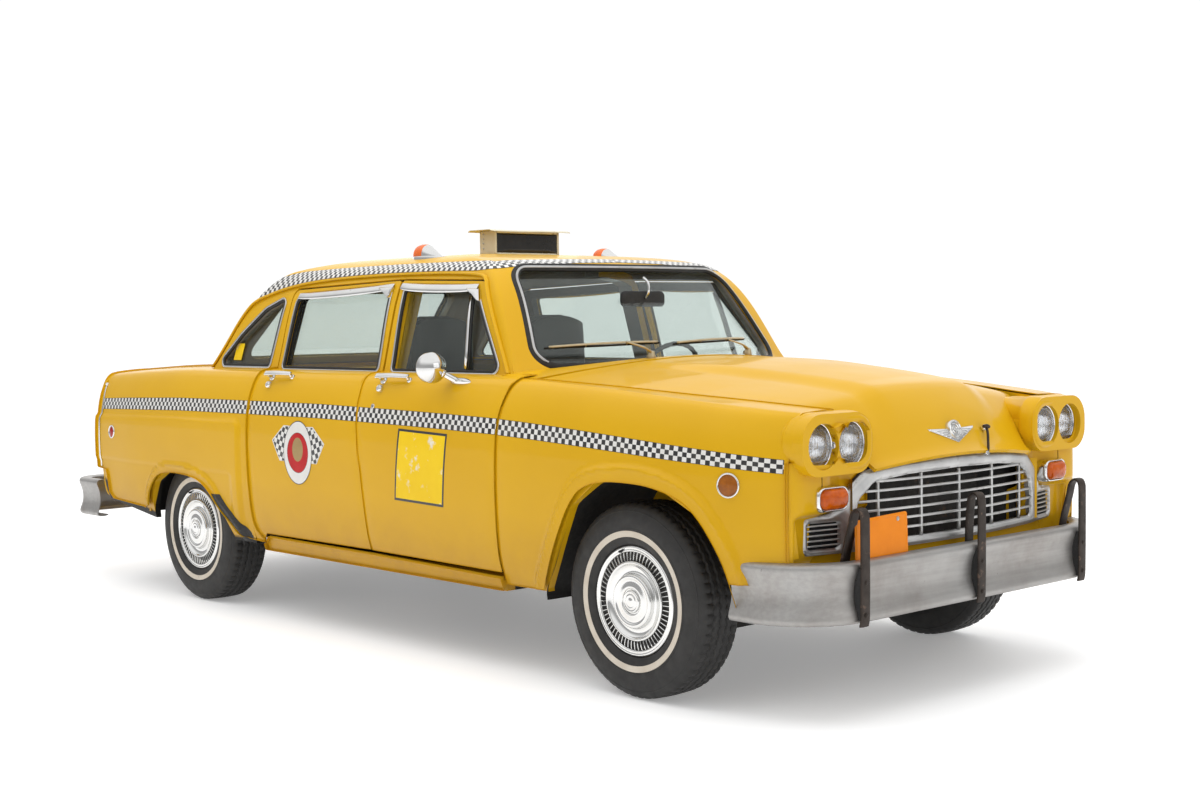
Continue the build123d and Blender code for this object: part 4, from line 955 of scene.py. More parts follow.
qo = []
qo += xs(shift([p for p in LINE_C if p[1] > .36], -G2))
qo += [(-.676 - G2, S2), (-1.10, S2), (-1.50, S2), (tail_x(.61) + .001, S2)]
for s_ in np.linspace(S2 - .02, S1 - .02, 6):
    y_ = .612 + (.868 - .612) * (S2 - s_) / (S2 - S1)
    qo.append((tail_x(min(y_, .86)) - .001, s_))
for z_ in (1.03, .97, .90, .80, .70, .60):
    qo.append((tail_x(.925) - .008, float(f_s(z_))))
qo += xs([(-2.182, .595), (-2.100, .590), (-2.086, .56), (-2.079, .471), (-2.038, .444), (-1.66, .427)])
qo += xs([tuple(p) for p in ar if p[1] > .40 or p[0] > -1][2:] if False else [tuple(p) for p in ar if p[1] > (.43 if p[0] < -1.2 else .352)])
qo += xs([(-.735, .352), (-.60, .345)])
sheet("rear_quarter_skin", qo, [], .0145, quarter_fn, M["paint"], lip=.010)
# sills below the doors
sheet("sill_skin", xs([(1.088, .314), (1.088, .3625), (.24, .3745), (-.550, .3775), (-.578, .3475), (-.60, .3435), (-.60, .314)]), [], .02, door_fn, M["paint"], lip=.02)

# ============================================================ hood and nose
CL = [(1.165, 1.1790), (1.280, 1.1770), (1.640, 1.1665), (1.920, 1.1445), (2.170, 1.1170), (2.300, 1.0975), (2.350, 1.0800), (2.385, 1.0520),
      (2.420, 1.0100), (2.450, .9640), (2.475, .9180), (2.503, .8720), (2.530, .8490)]
cl = spline([(x, 0, z) for x, z in CL], 240)[:, [0, 2]]
TL = np.concatenate([[0], np.cumsum(np.hypot(*np.diff(cl, axis=0).T))])
h_x = lambda t: np.interp(t, TL, cl[:, 0])
h_z = lambda t: np.interp(t, TL, cl[:, 1])
hx_s, hz_s = interp(TL[::8].tolist() + [TL[-1]] if (len(TL) - 1) % 8 else TL[::8], (cl[::8, 0].tolist() + [cl[-1, 0]]) if (len(TL) - 1) % 8 else cl[::8, 0]), \
    interp(TL[::8].tolist() + [TL[-1]] if (len(TL) - 1) % 8 else TL[::8], (cl[::8, 1].tolist() + [cl[-1, 1]]) if (len(TL) - 1) % 8 else cl[::8, 1])
t_of_x = lambda x: float(np.interp(x, cl[:, 0], TL))
hood_w = interp([1.10, 1.50, 1.90, 2.18, 2.30, 2.42], [.8460, .7900, .7070, .6550, .6270, .6030])
hood_e = interp([1.10, 1.50, 1.90, 2.18, 2.30, 2.42], [1.1085, 1.0885, 1.0585, 1.0385, 1.0285, 1.0185])


def hood_fn(Q):
    t, y = Q[:, 0], Q[:, 1]
    a = np.abs(y)
    x, z = hx_s(t), hz_s(t)
    xx = np.clip(x, 1.10, 2.33)
    w = hood_w(xx)
    total = np.interp(xx, [1.1, 1.28, 1.5, 1.9, 2.18, 2.33], [.071, .076, .080, .088, .078, .070])
    B = .020 * smooth(1.20, 1.75, x) * smooth(2.53, 2.36, x)
    edge = .40 - .10 * smooth(1.3, 2.4, x)
    bul = B * smooth(edge - .055, edge + .060, a)
    nose = smooth(2.33, 2.50, x)
    k = (total - B) / w ** 2
    k = k * (1 - nose) + .142 * nose
    zz = z - k * a ** 2 - bul
    bow = .173 * smooth(2.05, 2.52, x)
    return np.stack([x - bow * a ** 2, y, zz], 1)


tR = lambda y: t_of_x(1.290 - .118 * (y / .9) ** 2)
hood_out = []
for y in np.linspace(.832, -.832, 41):
    hood_out.append((tR(y) + .0005, float(y)))
sidex = [1.30, 1.5, 1.7, 1.9, 2.1, 2.3, 2.385]
sd = [(t_of_x(x), float(hood_w(x)) - .0025) for x in sidex]
nose_side = [(t_of_x(2.400), .585), (t_of_x(2.412), .530), (t_of_x(2.425), .492), (t_of_x(2.445), .474), (t_of_x(2.50), .466), (TL[-1], .464)]
hood_out += [(t, -y) for t, y in sd + nose_side]
hood_out += [(TL[-1], float(y)) for y in np.linspace(-.464, .464, 25)[1:-1]]
hood_out += [(t, y) for t, y in reversed(sd + nose_side)]
hood = sheet("hood_skin", hood_out, [], .0150, hood_fn, M["paint"], "hood", thick=.014, side=1, both_sides=False)[0]
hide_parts("hood")
# pressed frame under the hood
ribs = []
for y in (-.46, 0, .46):
    pts = hood_fn(np.array([(t_of_x(x), y) for x in np.linspace(1.36, 2.28, 12)]))
    pts[:, 2] -= .022
    ribs.append(tube("hr", pts, .02, M["paint"], "hood", n=12, flat=(.055, .018)))
for x in (1.40, 1.85, 2.24):
    w = float(hood_w(x)) - .09
    pts = hood_fn(np.array([(t_of_x(x), y) for y in np.linspace(-w, w, 15)]))
    pts[:, 2] -= .023
    ribs.append(tube("hr", pts, .02, M["paint"], "hood", n=12, flat=(.055, .018)))
join("hood_frame_inner", ribs, "hood")

# cowl between hood and windscreen
def cowl_fn(Q):
    x, y = Q[:, 0], Q[:, 1]
    a = np.abs(y)
    zc = np.interp(x, [1.0, 1.15, 1.30], [1.1780, 1.1785, 1.1775])
    w = .852 - (x - 1.10) * .14
    ze = 1.1115 - (x - 1.10) * .04
    return np.stack([x, y, zc - (zc - ze) * (a / w) ** 2 + .002], 1)


co = []
for y in np.linspace(.848, -.848, 41):
    co.append((1.290 - .118 * (y / .9) ** 2 - .0055, float(y)))
for y in np.linspace(-.838, .838, 41):
    xf = 1.232 - (1.232 - 1.045) * (y / .712) ** 2 if abs(y) < .712 else 1.045 - (abs(y) - .712) * .40
    co.append((min(xf, 1.290 - .118 * (y / .9) ** 2 - .02) - .004, float(y)))
sheet("cowl_skin", co, [], .0150, cowl_fn, M["paint"], "root", lip=.010, both_sides=False)

# ============================================================ headlamp pods
POD_O = [(.470, .812, .085), (.838, .812, .095), (.838, 1.0195, .118), (.470, 1.0195, .085)]


def inset_poly(pts, d, seg=9):
    c = [(.5 * (pts[0][0] + pts[1][0])), .5 * (pts[0][1] + pts[2][1])]
    out = []
    for p in pts:
        out.append((p[0] + (d if p[0] < c[0] else -d), p[1] + (d if p[1] < c[1] else -d), max(p[2] - d, .012)))
    return out


def pod_ring(x, d, n=112):
    pl = rounded(inset_poly(POD_O, d), 12)
    pl = np.array(pl)
    L = np.concatenate([[0], np.cumsum(np.hypot(*np.diff(np.vstack([pl, pl[:1]]), axis=0).T))])
    t = np.linspace(0, L[-1], n, endpoint=False)
    cl_ = np.vstack([pl, pl[:1]])
    y = np.interp(t, L, cl_[:, 0]); z = np.interp(t, L, cl_[:, 1])
    # swept back a little towards the outer side
    return np.stack([np.full(n, x) - .030 * np.clip((y - .47) / .37, 0, 1) ** 1.5, y, z], 1)


pod_rows = [(2.330, .006), (2.4330, .0055), (2.4334, .0030), (2.4352, .0004), (2.4450, 0), (2.462, .0006), (2.478, .0030), (2.489, .0075), (2.4965, .0145), (2.4995, .0225),
            (2.4985, .0300), (2.4945, .0370)]
X = np.array([pod_ring(x, d) for x, d in pod_rows])
LAMPS = [(.729, .909), (.576, .909)]
for sgn, tag in ((1, "left"), (-1, "right")):
    XX = X.copy(); XX[:, :, 1] *= sgn
    shell = grid("pod_shell_" + tag, XX, M["paint"], closed_v=True, flipf=sgn > 0)

    def face_fn(Q, sgn=sgn):
        y, z = Q[:, 0], Q[:, 1]
        x = 2.4945 - .030 * np.clip((y - .47) / .37, 0, 1) ** 1.5
        # the face falls back a little round each lamp
        for ly, lz in LAMPS:
            r = np.hypot(y - ly, z - lz)
            x = x - .016 * smooth(.104, .080, r)
        return np.stack([x, y * sgn, z], 1)
    fo_ = rounded(inset_poly(POD_O, .0370), 12)
    holes = [[(ly + .0785 * math.cos(a), lz + .0785 * math.sin(a)) for a in np.linspace(0, 2 * pi, 48, endpoint=False)] for ly, lz in LAMPS]
    face = sheet("pod_face_" + tag, fo_, holes, .0085, face_fn, M["paint"], "root", lip=.03, both_sides=False)[0]
    join("headlamp_pod_" + tag, [shell, face], "root")
    for i, (ly, lz) in enumerate(LAMPS):
        xl = 2.4785 - .030 * max(0, (ly - .47) / .37) ** 1.5
        at = (xl, sgn * ly, lz)
        rev(f"lamp_ring_{tag}_{i}", [(.0790, -.030), (.0790, -.002), (.0775, .0025), (.0745, .0035), (.0722, .001), (.0715, -.006)], at, (1, 0, 0), M["chrome"], n=72, slot="grille_metal")
        rev(f"lamp_bowl_{tag}_{i}", [(.0718, -.004)] + [(.0718 * math.cos(a), -.004 - .052 * math.sin(a)) for a in np.linspace(.15, 1.45, 12)] + [(.0, -.0558)], at, (1, 0, 0), M["reflector"], n=64, slot="lamp_glass")
        dome = [(.0716 * math.sin(a), -.002 + .0145 * (math.cos(a) - math.cos(1.35)) / (1 - math.cos(1.35))) for a in np.linspace(0.001, 1.35, 14)]
        dome = [(r * .0716 / (.0716 * math.sin(1.35)), o) for r, o in dome]
        rev(f"lamp_lens_{tag}_{i}", dome, at, (1, 0, 0), M["lampglass"], n=72, slot="lamp_glass", flipf=True)
        rev(f"lamp_boss_{tag}_{i}", [(.0, -.030), (.010, -.030), (.013, -.033), (.014, -.052)], at, (1, 0, 0), M["chrome"], n=32, slot="lamp_glass")

# ============================================================ front corner below the pod
plan = spline([(2.428, .8385, 0), (2.445, .8280, 0), (2.456, .8080, 0), (2.461, .7800, 0), (2.458, .7350, 0), (2.449, .6600, 0), (2.4640, .5600, 0), (2.478, .4600, 0)], 60)[:, :2]
plan = spline([(2.424, .8395, 0), (2.440, .8320, 0), (2.452, .8160, 0), (2.458, .7900, 0), (2.459, .7400, 0), (2.456, .6700, 0), (2.438, .6100, 0), (2.430, .5600, 0), (2.444, .4600, 0)], 60)[:, :2]
PLn = np.concatenate([[0], np.cumsum(np.hypot(*np.diff(plan, axis=0).T))])


def corner_fn(Q):
    p, z = Q[:, 0], Q[:, 1]
    x = np.interp(p, PLn, plan[:, 0]); y = np.interp(p, PLn, plan[:, 1])
    e = .004
    tx = np.interp(p + e, PLn, plan[:, 0]) - np.interp(p - e, PLn, plan[:, 0])
    ty = np.interp(p + e, PLn, plan[:, 1]) - np.interp(p - e, PLn, plan[:, 1])
    L = np.hypot(tx, ty)
    nx, ny = -ty / L, tx / L
    s = f_s(z)
    d = (W0 - f_y(s)) * .75 * smooth(.45, .05, p) + .0
    d = d + .028 * smooth(.56, .45, z)
    d = d + .054 * smooth(.694, .664, z) * smooth(.006, .080, p)
    return np.stack([x - nx * d * 1.0, y - ny * d + 0 * z, z], 1)


sheet("nose_corner_skin", [(0, .455), (PLn[-1], .455), (PLn[-1], .86), (0, .86)], [], .0130, corner_fn, M["paint"], lip=.012)

# ============================================================ greenhouse
# columns: distance up the surface, height, then the plan as in the CAD
HV = [0, .42, .52, .74, 1.02, 1.33]
HZ = interp(HV, [1.112, 1.500, 1.564, 1.6015, 1.6185, 1.6225])
HK = {k: interp(HV, v) for k, v in dict(
    xf=[1.234, .860, .770, .520, .230, .002], xk=[1.047, .790, .712, .480, .212, .001], yk=[.713, .603, .560, .470, .250, .001],
    xs=[1.024, .768, .660, .430, .190, .0015], hw=[.8008, .690, .642, .540, .300, .0015], xe=[-1.252, -.900, -.760, -.430, -.200, -.0015],
    xr=[-1.442, -1.010, -.860, -.500, -.230, -.001], yr=[.641, .565, .505, .405, .232, .001], xm=[-1.502, -1.045, -.880, -.520, -.240, -.002]).items()}
HU = np.array([0, .72, .83, 2.58, 2.84, 3.44])      # where each plan corner lies along U
CR = .020


def house_xy(U, V):
    k = {n: f(V) for n, f in HK.items()}
    nodes = np.stack([np.stack([k["xf"], 0 * V], -1), np.stack([k["xk"], k["yk"]], -1), np.stack([k["xs"], k["hw"]], -1),
                      np.stack([k["xe"], k["hw"]], -1), np.stack([k["xr"], k["yr"]], -1), np.stack([k["xm"], 0 * V], -1)], 1)

    def along(u):
        i = np.clip(np.searchsorted(HU, u, side="right") - 1, 0, 4)
        t = (u - HU[i]) / (HU[i + 1] - HU[i])
        a = np.take_along_axis(nodes, i[:, None, None].repeat(2, 2), 1)[:, 0]
        b = np.take_along_axis(nodes, (i + 1)[:, None, None].repeat(2, 2), 1)[:, 0]
        p = a + (b - a) * t[:, None]
        f0, f4 = i == 0, i == 4
        # bowed front and back
        p[f0, 0] = (k["xf"] - (k["xf"] - k["xk"]) * t ** 2)[f0]
        p[f0, 1] = (k["yk"] * t)[f0]
        tt = 1 - t
        p[f4, 0] = (k["xm"] + (k["xr"] - k["xm"]) * tt ** 2)[f4]
        p[f4, 1] = (k["yr"] * tt)[f4]
        return p
    P = along(U)
    for j in (1, 2, 3, 4):
        lo_, hi_ = HU[j] - CR, HU[j] + CR
        m = (U > lo_) & (U < hi_)
        if m.any():
            t = ((U - lo_) / (hi_ - lo_))[:, None]
            q = (1 - t) ** 2 * along(np.full_like(U, lo_)) + 2 * t * (1 - t) * nodes[:, j] + t ** 2 * along(np.full_like(U, hi_))
            P[m] = q[m]
    return P


def house_raw(Q):
    P = house_xy(Q[:, 0], Q[:, 1])
    return np.stack([P[:, 0], P[:, 1], HZ(Q[:, 1])], 1)


def house_off(off):
    def fn(Q):
        e = 1e-3
        X = house_raw(Q)
        du = house_raw(Q + np.array([e, 0])) - house_raw(Q - np.array([e, 0]))
        dv = house_raw(Q + np.array([0, e])) - house_raw(Q - np.array([0, e]))
        n = np.cross(du, dv)
        n /= np.maximum(np.linalg.norm(n, axis=1), 1e-12)[:, None]
        s = np.sign((n * (X - np.array([0, 0, 1.1]))).sum(1))
        return X + n * s[:, None] * off
    return fn


HSKIN = house_off(.003)
vz = np.linspace(0, 1.33, 600)
vz_z = HZ(vz)
V_of = lambda z: float(np.interp(z, vz_z, vz))


def side_uv(x, z):
    V = V_of(z)
    a, b = float(HK["xs"](V)), float(HK["xe"](V))
    return (HU[2] + (HU[3] - HU[2]) * (a - x) / (a - b), V)


def front_uv(y, z):
    V = V_of(z)
    return (HU[1] * y / float(HK["yk"](V)), V)


def back_uv(y, z):
    V = V_of(z)
    return (HU[5] - (HU[5] - HU[4]) * y / float(HK["yr"](V)), V)


def mm(pts, f, d=1000.0):
    return [f(p[0] / d, p[1] / d) for p in resample(pts, 12)]


FRONT_FRAME = rounded([(984, 1113), (728, 1487, 40), (165, 1503, 12), (165, 1113)])
REAR_FRAME = rounded([(151, 1113), (151, 1503, 12), (-655, 1478, 40), (-668, 1113)])
FRONT_GLASS = rounded([(925, 1129, 18), (688, 1452, 30), (208, 1466, 18), (226, 1129, 12)])
REAR_GLASS = rounded([(112, 1129, 12), (100, 1466, 18), (-606, 1440, 30), (-622, 1129, 12)])
QUARTER_GLASS = rounded([(-748, 1135, 12), (-712, 1440, 20), (-860, 1390, 120), (-1030, 1275, 120), (-1190, 1135, 20)])
SCREEN = rounded([(-690, 1150, 60), (690, 1150, 60), (588, 1535, 90), (-588, 1535, 90)], 12)
BACKLIGHT = rounded([(-560, 1155, 60), (560, 1155, 60), (500, 1478, 70), (-500, 1478, 70)], 12)

# root shell, one half; the door opening and both screens are notches in its outline
half_screen = [front_uv(y / 1000, z / 1000) for y, z in resample(SCREEN, 12) if y > 1]
hs = sorted(half_screen, key=lambda p: math.atan2(p[1] - V_of(1.34), p[0]))
half_back = sorted([back_uv(y / 1000, z / 1000) for y, z in resample(BACKLIGHT, 12) if y > 1], key=lambda p: math.atan2(p[1] - V_of(1.31), HU[5] - p[0]))
door_gap = [(984 + 8, 1113), (728 + 7, 1487 + 7), (400, 1503 + 4), (165, 1503 + 7), (-655 - 8, 1478 + 8), (-668 - 8, 1113)]
door_gap = rounded([(994, 1112.2), (736, 1495, 42), (165, 1511, 200), (-662, 1487, 44), (-676, 1112.2)])
dg = [side_uv(x / 1000, z / 1000) for x, z in resample(door_gap, 14, closed=False)]
rootout = [(0, 1.325), (0, hs[-1][1])] + list(reversed(hs)) + [(0, hs[0][1]), (0, .0)]
rootout += [(u, 0) for u in np.linspace(.1, dg[0][0] - .01, 5)] + dg
rootout += [(u, 0) for u in np.linspace(dg[-1][0] + .03, HU[5], 10)]
rootout += [(HU[5], half_back[0][1])] + half_back + [(HU[5], half_back[-1][1]), (HU[5], 1.325)]
quarter_hole = [side_uv(x / 1000, z / 1000) for x, z in resample(QUARTER_GLASS, 12)]
sheet("greenhouse_skin", rootout, [quarter_hole], .0140, HSKIN, M["paint"], lip=.010)


def frame_sheet(name, outer, hole, body):
    o = [side_uv(x / 1000, z / 1000) for x, z in resample(outer, 12)]
    h = [side_uv(x / 1000, z / 1000) for x, z in resample(hole, 12)]
    sheet(name, o, [h], .0120, HSKIN, M["paint"], body, lip=.010)


DOORS_F, DOORS_R = ("front_door_left", "front_door_right"), ("rear_door_left", "rear_door_right")
frame_sheet("front_door_frame", FRONT_FRAME, FRONT_GLASS, DOORS_F)
frame_sheet("rear_door_frame", REAR_FRAME, REAR_GLASS, DOORS_R)


def on_side(pts, off=.004, mirror=False):
    X = house_off(off)(np.array([side_uv(x, z) for x, z in pts]))
    if mirror:
        X[:, 1] *= -1
    return X


def pair(name, fn, bodies):
    """fn(sign, tag, body) for each side."""
    for s, tag, b in ((1, "left", bodies[0]), (-1, "right", bodies[1])):
        o = fn(s, name + "_" + tag, b)


ROOT2 = ("root", "root")


def ring_side(outline_mm, grow_mm, off, size, material, flat=True, step=14):
    """Moulding that follows a window's edge on the side of the greenhouse."""
    c = np.array(outline_mm)
    P = np.array(resample([tuple(p) for p in c], step))
    ctr = P.mean(0)
    n = len(P)
    T = np.roll(P, -1, 0) - np.roll(P, 1, 0)
    T /= np.hypot(*T.T)[:, None]
    Nn = np.stack([T[:, 1], -T[:, 0]], 1)
    if ((P + Nn - ctr) ** 2).sum() < ((P - Nn - ctr) ** 2).sum():
        Nn = -Nn
    P = P + Nn * grow_mm

    def f(s, nm, b):
        X = on_side([(x / 1000, z / 1000) for x, z in P], off, s < 0)
        return tube(nm, X, .003, M[material], b, n=8, closed=True, flat=size if flat else None, up=(0, 1, 0))
    return f


# window frames: rubber, then the bright strip
for nm, gl, bd in (("front_window", FRONT_GLASS, DOORS_F), ("rear_window", REAR_GLASS, DOORS_R), ("quarter_window", QUARTER_GLASS, ROOT2)):
    pair(nm + "_rubber", ring_side(gl, 2, .002, (.016, .012), "rubber"), bd)
    pair(nm + "_bright", ring_side(gl, 11, .0055, (.011, .006), "chrome"), bd)

# vent window bar and its frame
def vent(s, nm, b):
    pts = [(.7080, 1.130), (.6930, 1.210), (.6720, 1.330), (.6515, 1.447)]
    X = on_side(pts, -.004, s < 0)
    a = tube(nm + "a", X, .004, M["chrome"], b, n=10, flat=(.017, .014), up=(0, 1, 0))
    X2 = on_side([(x + .016, z) for x, z in pts], -.006, s < 0)
    c = tube(nm + "b", X2, .004, M["rubber"], b, n=8, flat=(.008, .010), up=(0, 1, 0))
    return join(nm, [a, c], b)


pair("vent_window_bar", vent, DOORS_F)


# rain visors over the doors' windows
def visor(x0, x1, z0, z1):
    def f(s, nm, b):
        xs_ = np.linspace(x0, x1, 26)
        zs_ = np.interp(xs_, [min(x0, x1), max(x0, x1)], [z1 if x1 < x0 else z0, z0 if x1 < x0 else z1])
        rows = []
        base = on_side(list(zip(xs_, zs_)), .0045, False)
        for k, (dy, dz) in enumerate([(0, .012), (.004, .010), (.016, .002), (.026, -.010), (.030, -.024), (.0285, -.025), (.0245, -.011), (.015, -.001), (.003, .006)]):
            t = np.sin(np.linspace(.05, pi - .05, 26)) ** .25
            R = base.copy()
            R[:, 1] += dy * t
            R[:, 2] += np.where(dz < 0, dz * t, dz)
            rows.append(R)
        X = np.array(rows)
        if s < 0:
            X[:, :, 1] *= -1
        return grid(nm, X, M["chrome"], b, flipf=s < 0)
    return f


pair("front_rain_visor", visor(.700, .175, 1.4640, 1.4790), DOORS_F)
pair("rear_rain_visor", visor(.118, -.600, 1.4790, 1.4520), DOORS_R)

# drip rail: up the rear pillar, along over the doors and down the screen pillar
DRIP = [(-1.262, 1.118), (-1.205, 1.190), (-1.120, 1.300), (-.985, 1.420), (-.850, 1.462), (-.700, 1.4905), (-.530, 1.509), (-.310, 1.5205), (0, 1.5270), (.30, 1.5265),
        (.52, 1.5220), (.690, 1.5110), (.7370, 1.490), (.760, 1.455), (.850, 1.325), (.960, 1.165), (.990, 1.121)]


def drip(s, nm, b):
    pts = spline([(x, z) for x, z in DRIP], 120)
    X = on_side([tuple(p) for p in pts], .009, s < 0)
    return tube(nm, X, .006, M["paint"], b, n=10, flat=(.018, .010), up=(0, 0, 1))


pair("drip_rail", drip, ROOT2)

# roof band of checks: rear pillar, roof edge and over the screen
BAND = [(-1.262, 1.128), (-1.205, 1.201), (-1.120, 1.311), (-.985, 1.431), (-.850, 1.473), (-.700, 1.501), (-.530, 1.519), (-.310, 1.531), (0, 1.5375), (.30, 1.537), (.50, 1.5340), (.640, 1.5310)]


def band_pts():
    low_ = [side_uv(x, z) for x, z in BAND]
    low_ = [tuple(p) for p in spline(low_, 100)]
    # then round the corner and across the front, above the screen's moulding
    last = low_[-1]
    corner = [(HU[2] + .03, V_of(1.5340)), (HU[2] - .05, V_of(1.5370)), (HU[1] - .02, V_of(1.5440))]
    front = [(u, V_of(z)) for u, z in zip(np.linspace(.62, 0, 14), np.interp(np.linspace(.62, 0, 14), [0, .3, .62], [1.5650, 1.5610, 1.5490]))]
    return low_ + [tuple(p) for p in spline([last] + corner + front[:1], 24)][1:-1] + front


BH = .0745


def band(s, nm, b):
    lowp = np.array(band_pts())
    F = house_off(.0046)
    e = .004
    base = F(lowp)
    rows, uvr = [], []
    d = np.gradient(base, axis=0)
    T = d / np.linalg.norm(d, axis=1)[:, None]
    # step up the surface at right angles to the line
    g_u = (F(lowp + [e, 0]) - F(lowp - [e, 0])) / (2 * e)
    g_v = (F(lowp + [0, e]) - F(lowp - [0, e])) / (2 * e)
    nrm = np.cross(g_u, g_v); nrm /= np.linalg.norm(nrm, axis=1)[:, None]
    side_dir = np.cross(nrm, T)
    side_dir *= np.sign((side_dir[:, 2]))[:, None]
    # in surface coordinates
    M11 = (g_u * g_u).sum(1); M12 = (g_u * g_v).sum(1); M22 = (g_v * g_v).sum(1)
    b1 = (side_dir * g_u).sum(1); b2 = (side_dir * g_v).sum(1)
    det = M11 * M22 - M12 ** 2
    su, sv = (M22 * b1 - M12 * b2) / det, (M11 * b2 - M12 * b1) / det
    k = np.ones(9) / 9
    su = np.convolve(np.pad(su, 4, "edge"), k, "valid"); sv = np.convolve(np.pad(sv, 4, "edge"), k, "valid")
    L = np.concatenate([[0], np.cumsum(np.linalg.norm(np.diff(base, axis=0), axis=1))])
    for h in np.linspace(0, BH, 9):
        q = lowp + np.stack([su, sv], 1) * h
        X = F(q)
        rows.append(X)
        uvr.append(np.stack([L, np.full(len(L), h - .0012)], 1))
    X = np.array(rows)
    if s < 0:
        X[:, :, 1] *= -1
    return grid(nm, X, M["roof_checks"], b, flipf=s > 0, uv=np.array(uvr).reshape(-1, 2))


pair("roof_band", band, ROOT2)

# ------------------------------------------------ screens: rubber, reveal moulding
def ring_screen(outline_mm, f_uv, grow_mm, off, size, material, nm, slot="bumper_metal"):
    P = np.array(resample(outline_mm, 14))
    T = np.roll(P, -1, 0) - np.roll(P, 1, 0)
    T /= np.hypot(*T.T)[:, None]
    Nn = np.stack([T[:, 1], -T[:, 0]], 1)
    c = P.mean(0)
    if (((P + Nn - c) ** 2).sum() < ((P - Nn - c) ** 2).sum()):
        Nn = -Nn
    P = P + Nn * grow_mm
    Q = np.array([f_uv(abs(y) / 1000, z / 1000) for y, z in P])
    X = house_off(off)(Q)
    X[:, 1] *= np.where(P[:, 0] < 0, -1, 1)
    outw = X - np.array([0, 0, 1.1])
    return tube(nm, X, .005, M[material], "root", n=10, closed=True, flat=size, up=outw / np.linalg.norm(outw, axis=1)[:, None], slot=slot)


ring_screen(SCREEN, front_uv, 7, .002, (.034, .018), "rubber", "windshield_rubber")
ring_screen(SCREEN, front_uv, 3, .0115, (.010, .005), "alu", "windshield_reveal")
ring_screen(BACKLIGHT, back_uv, 7, .002, (.032, .018), "rubber", "backlight_rubber")
ring_screen(BACKLIGHT, back_uv, 3, .0115, (.010, .005), "chrome", "backlight_reveal")

# ============================================================ CAD nodes that stay
def use(m, *names):
    for n in names:
        o = N[n]
        if not o.data.materials:
            o.data.materials.append(m)
        for i in range(len(o.data.materials)):
            o.data.materials[i] = m


use(M["paint_cab"], "roof_shell")
use(M["paint_door"], "front_door_left", "front_door_right", "rear_door_left", "rear_door_right")
use(M["paint_well"], "rear_quarters")
use(M["paint"], "cowl_panel", "rear_deck", "tail_panel", "trunk_lid", "front_wings")
use(M["glass"], "fixed_glass", "front_door_glass_left", "front_door_glass_right", "rear_door_glass_left", "rear_door_glass_right")
use(M["paint_sill"], "floor_pan")
use(M["chassis"], "frame_horns", "frame_rails", "front_suspension", "rear_axle", "knuckle_left", "knuckle_right", "fuel_tank")
use(M["engine"], "engine_block")
use(M["exhaust"], "exhaust")
use(M["vinyl"], "front_seat", "rear_seat")
use(M["dash"], "dashboard", "steering_wheel")
use(M["alu"], "grille")
use(M["bumper"], "front_bumper", "rear_bumper")
use(M["rubber"], "front_tyre_left", "front_tyre_right", "rear_tyre_left", "rear_tyre_right")
use(M["steelw"], "front_wheel_left", "front_wheel_right", "rear_wheel_left", "rear_wheel_right")
use(M["red"], "tail_lamps")
use(M["sign_cream"], "roof_sign")
use(M["amber_l"], "roof_lights")
SC.view_settings.view_transform = "Standard"

# ============================================================ helpers on the car's surfaces
def lifted(fn, off):
    """The same surface, standing off by a little."""
    def f(Q):
        e = 1e-3
        X = fn(Q)
        du = fn(Q + np.array([e, 0])) - fn(Q - np.array([e, 0]))
        dv = fn(Q + np.array([0, e])) - fn(Q - np.array([0, e]))
        n = np.cross(du, dv)
        n /= np.maximum(np.linalg.norm(n, axis=1), 1e-12)[:, None]
        n *= np.sign(n[:, 1])[:, None]
        return X + n * off
    return f


def spot(fn, x, z, s=1):
    """Point and outward normal on a side surface."""
    q = np.array([[x, float(f_s(z))]])
    P = fn(q)[0]
    n = lifted(fn, 1)(q)[0] - P
    n /= np.linalg.norm(n)
    if s < 0:
        P[1] *= -1; n[1] *= -1
    return P, n


def rr_ring(x, cy, cz, hw, hh, r, n=72, tilt=0.0):
    """Rounded rectangle in the plane of x; tilt sweeps its outer side back."""
    pl = np.array(rounded([(-hw, -hh, r), (hw, -hh, r), (hw, hh, r), (-hw, hh, r)], 8))
    pc = np.vstack([pl, pl[:1]])
    L = np.concatenate([[0], np.cumsum(np.hypot(*np.diff(pc, axis=0).T))])
    t = np.linspace(0, L[-1], n, endpoint=False)
    y = np.interp(t, L, pc[:, 0]); z = np.interp(t, L, pc[:, 1])
    return np.stack([x - tilt * (y + hw), y + cy, z + cz], 1)


def rr_loft(name, cy, cz, rows, material, body="root", s=1, n=72, tilt=0.0, slot=None, caps=False, sharp=None):
    X = np.array([rr_ring(x, cy, cz, hw, hh, r, n, tilt) for x, hw, hh, r in rows])
    if s < 0:
        X[:, :, 1] *= -1
    return grid(name, X, material, body, closed_v=True, slot=slot, flipf=s > 0, caps=caps, sharp=sharp)


def bolt(name, at, axis, r, material, body="root", h=None, slot="bumper_metal"):
    h = h or r * .7
    return rev(name, [(r * 1.25, 0), (r * 1.25, h * .2), (r, h * .25), (r * .96, h * .6), (r * .7, h * .9), (0, h)], at, axis, material, body, n=20, slot=slot, sharp=40)


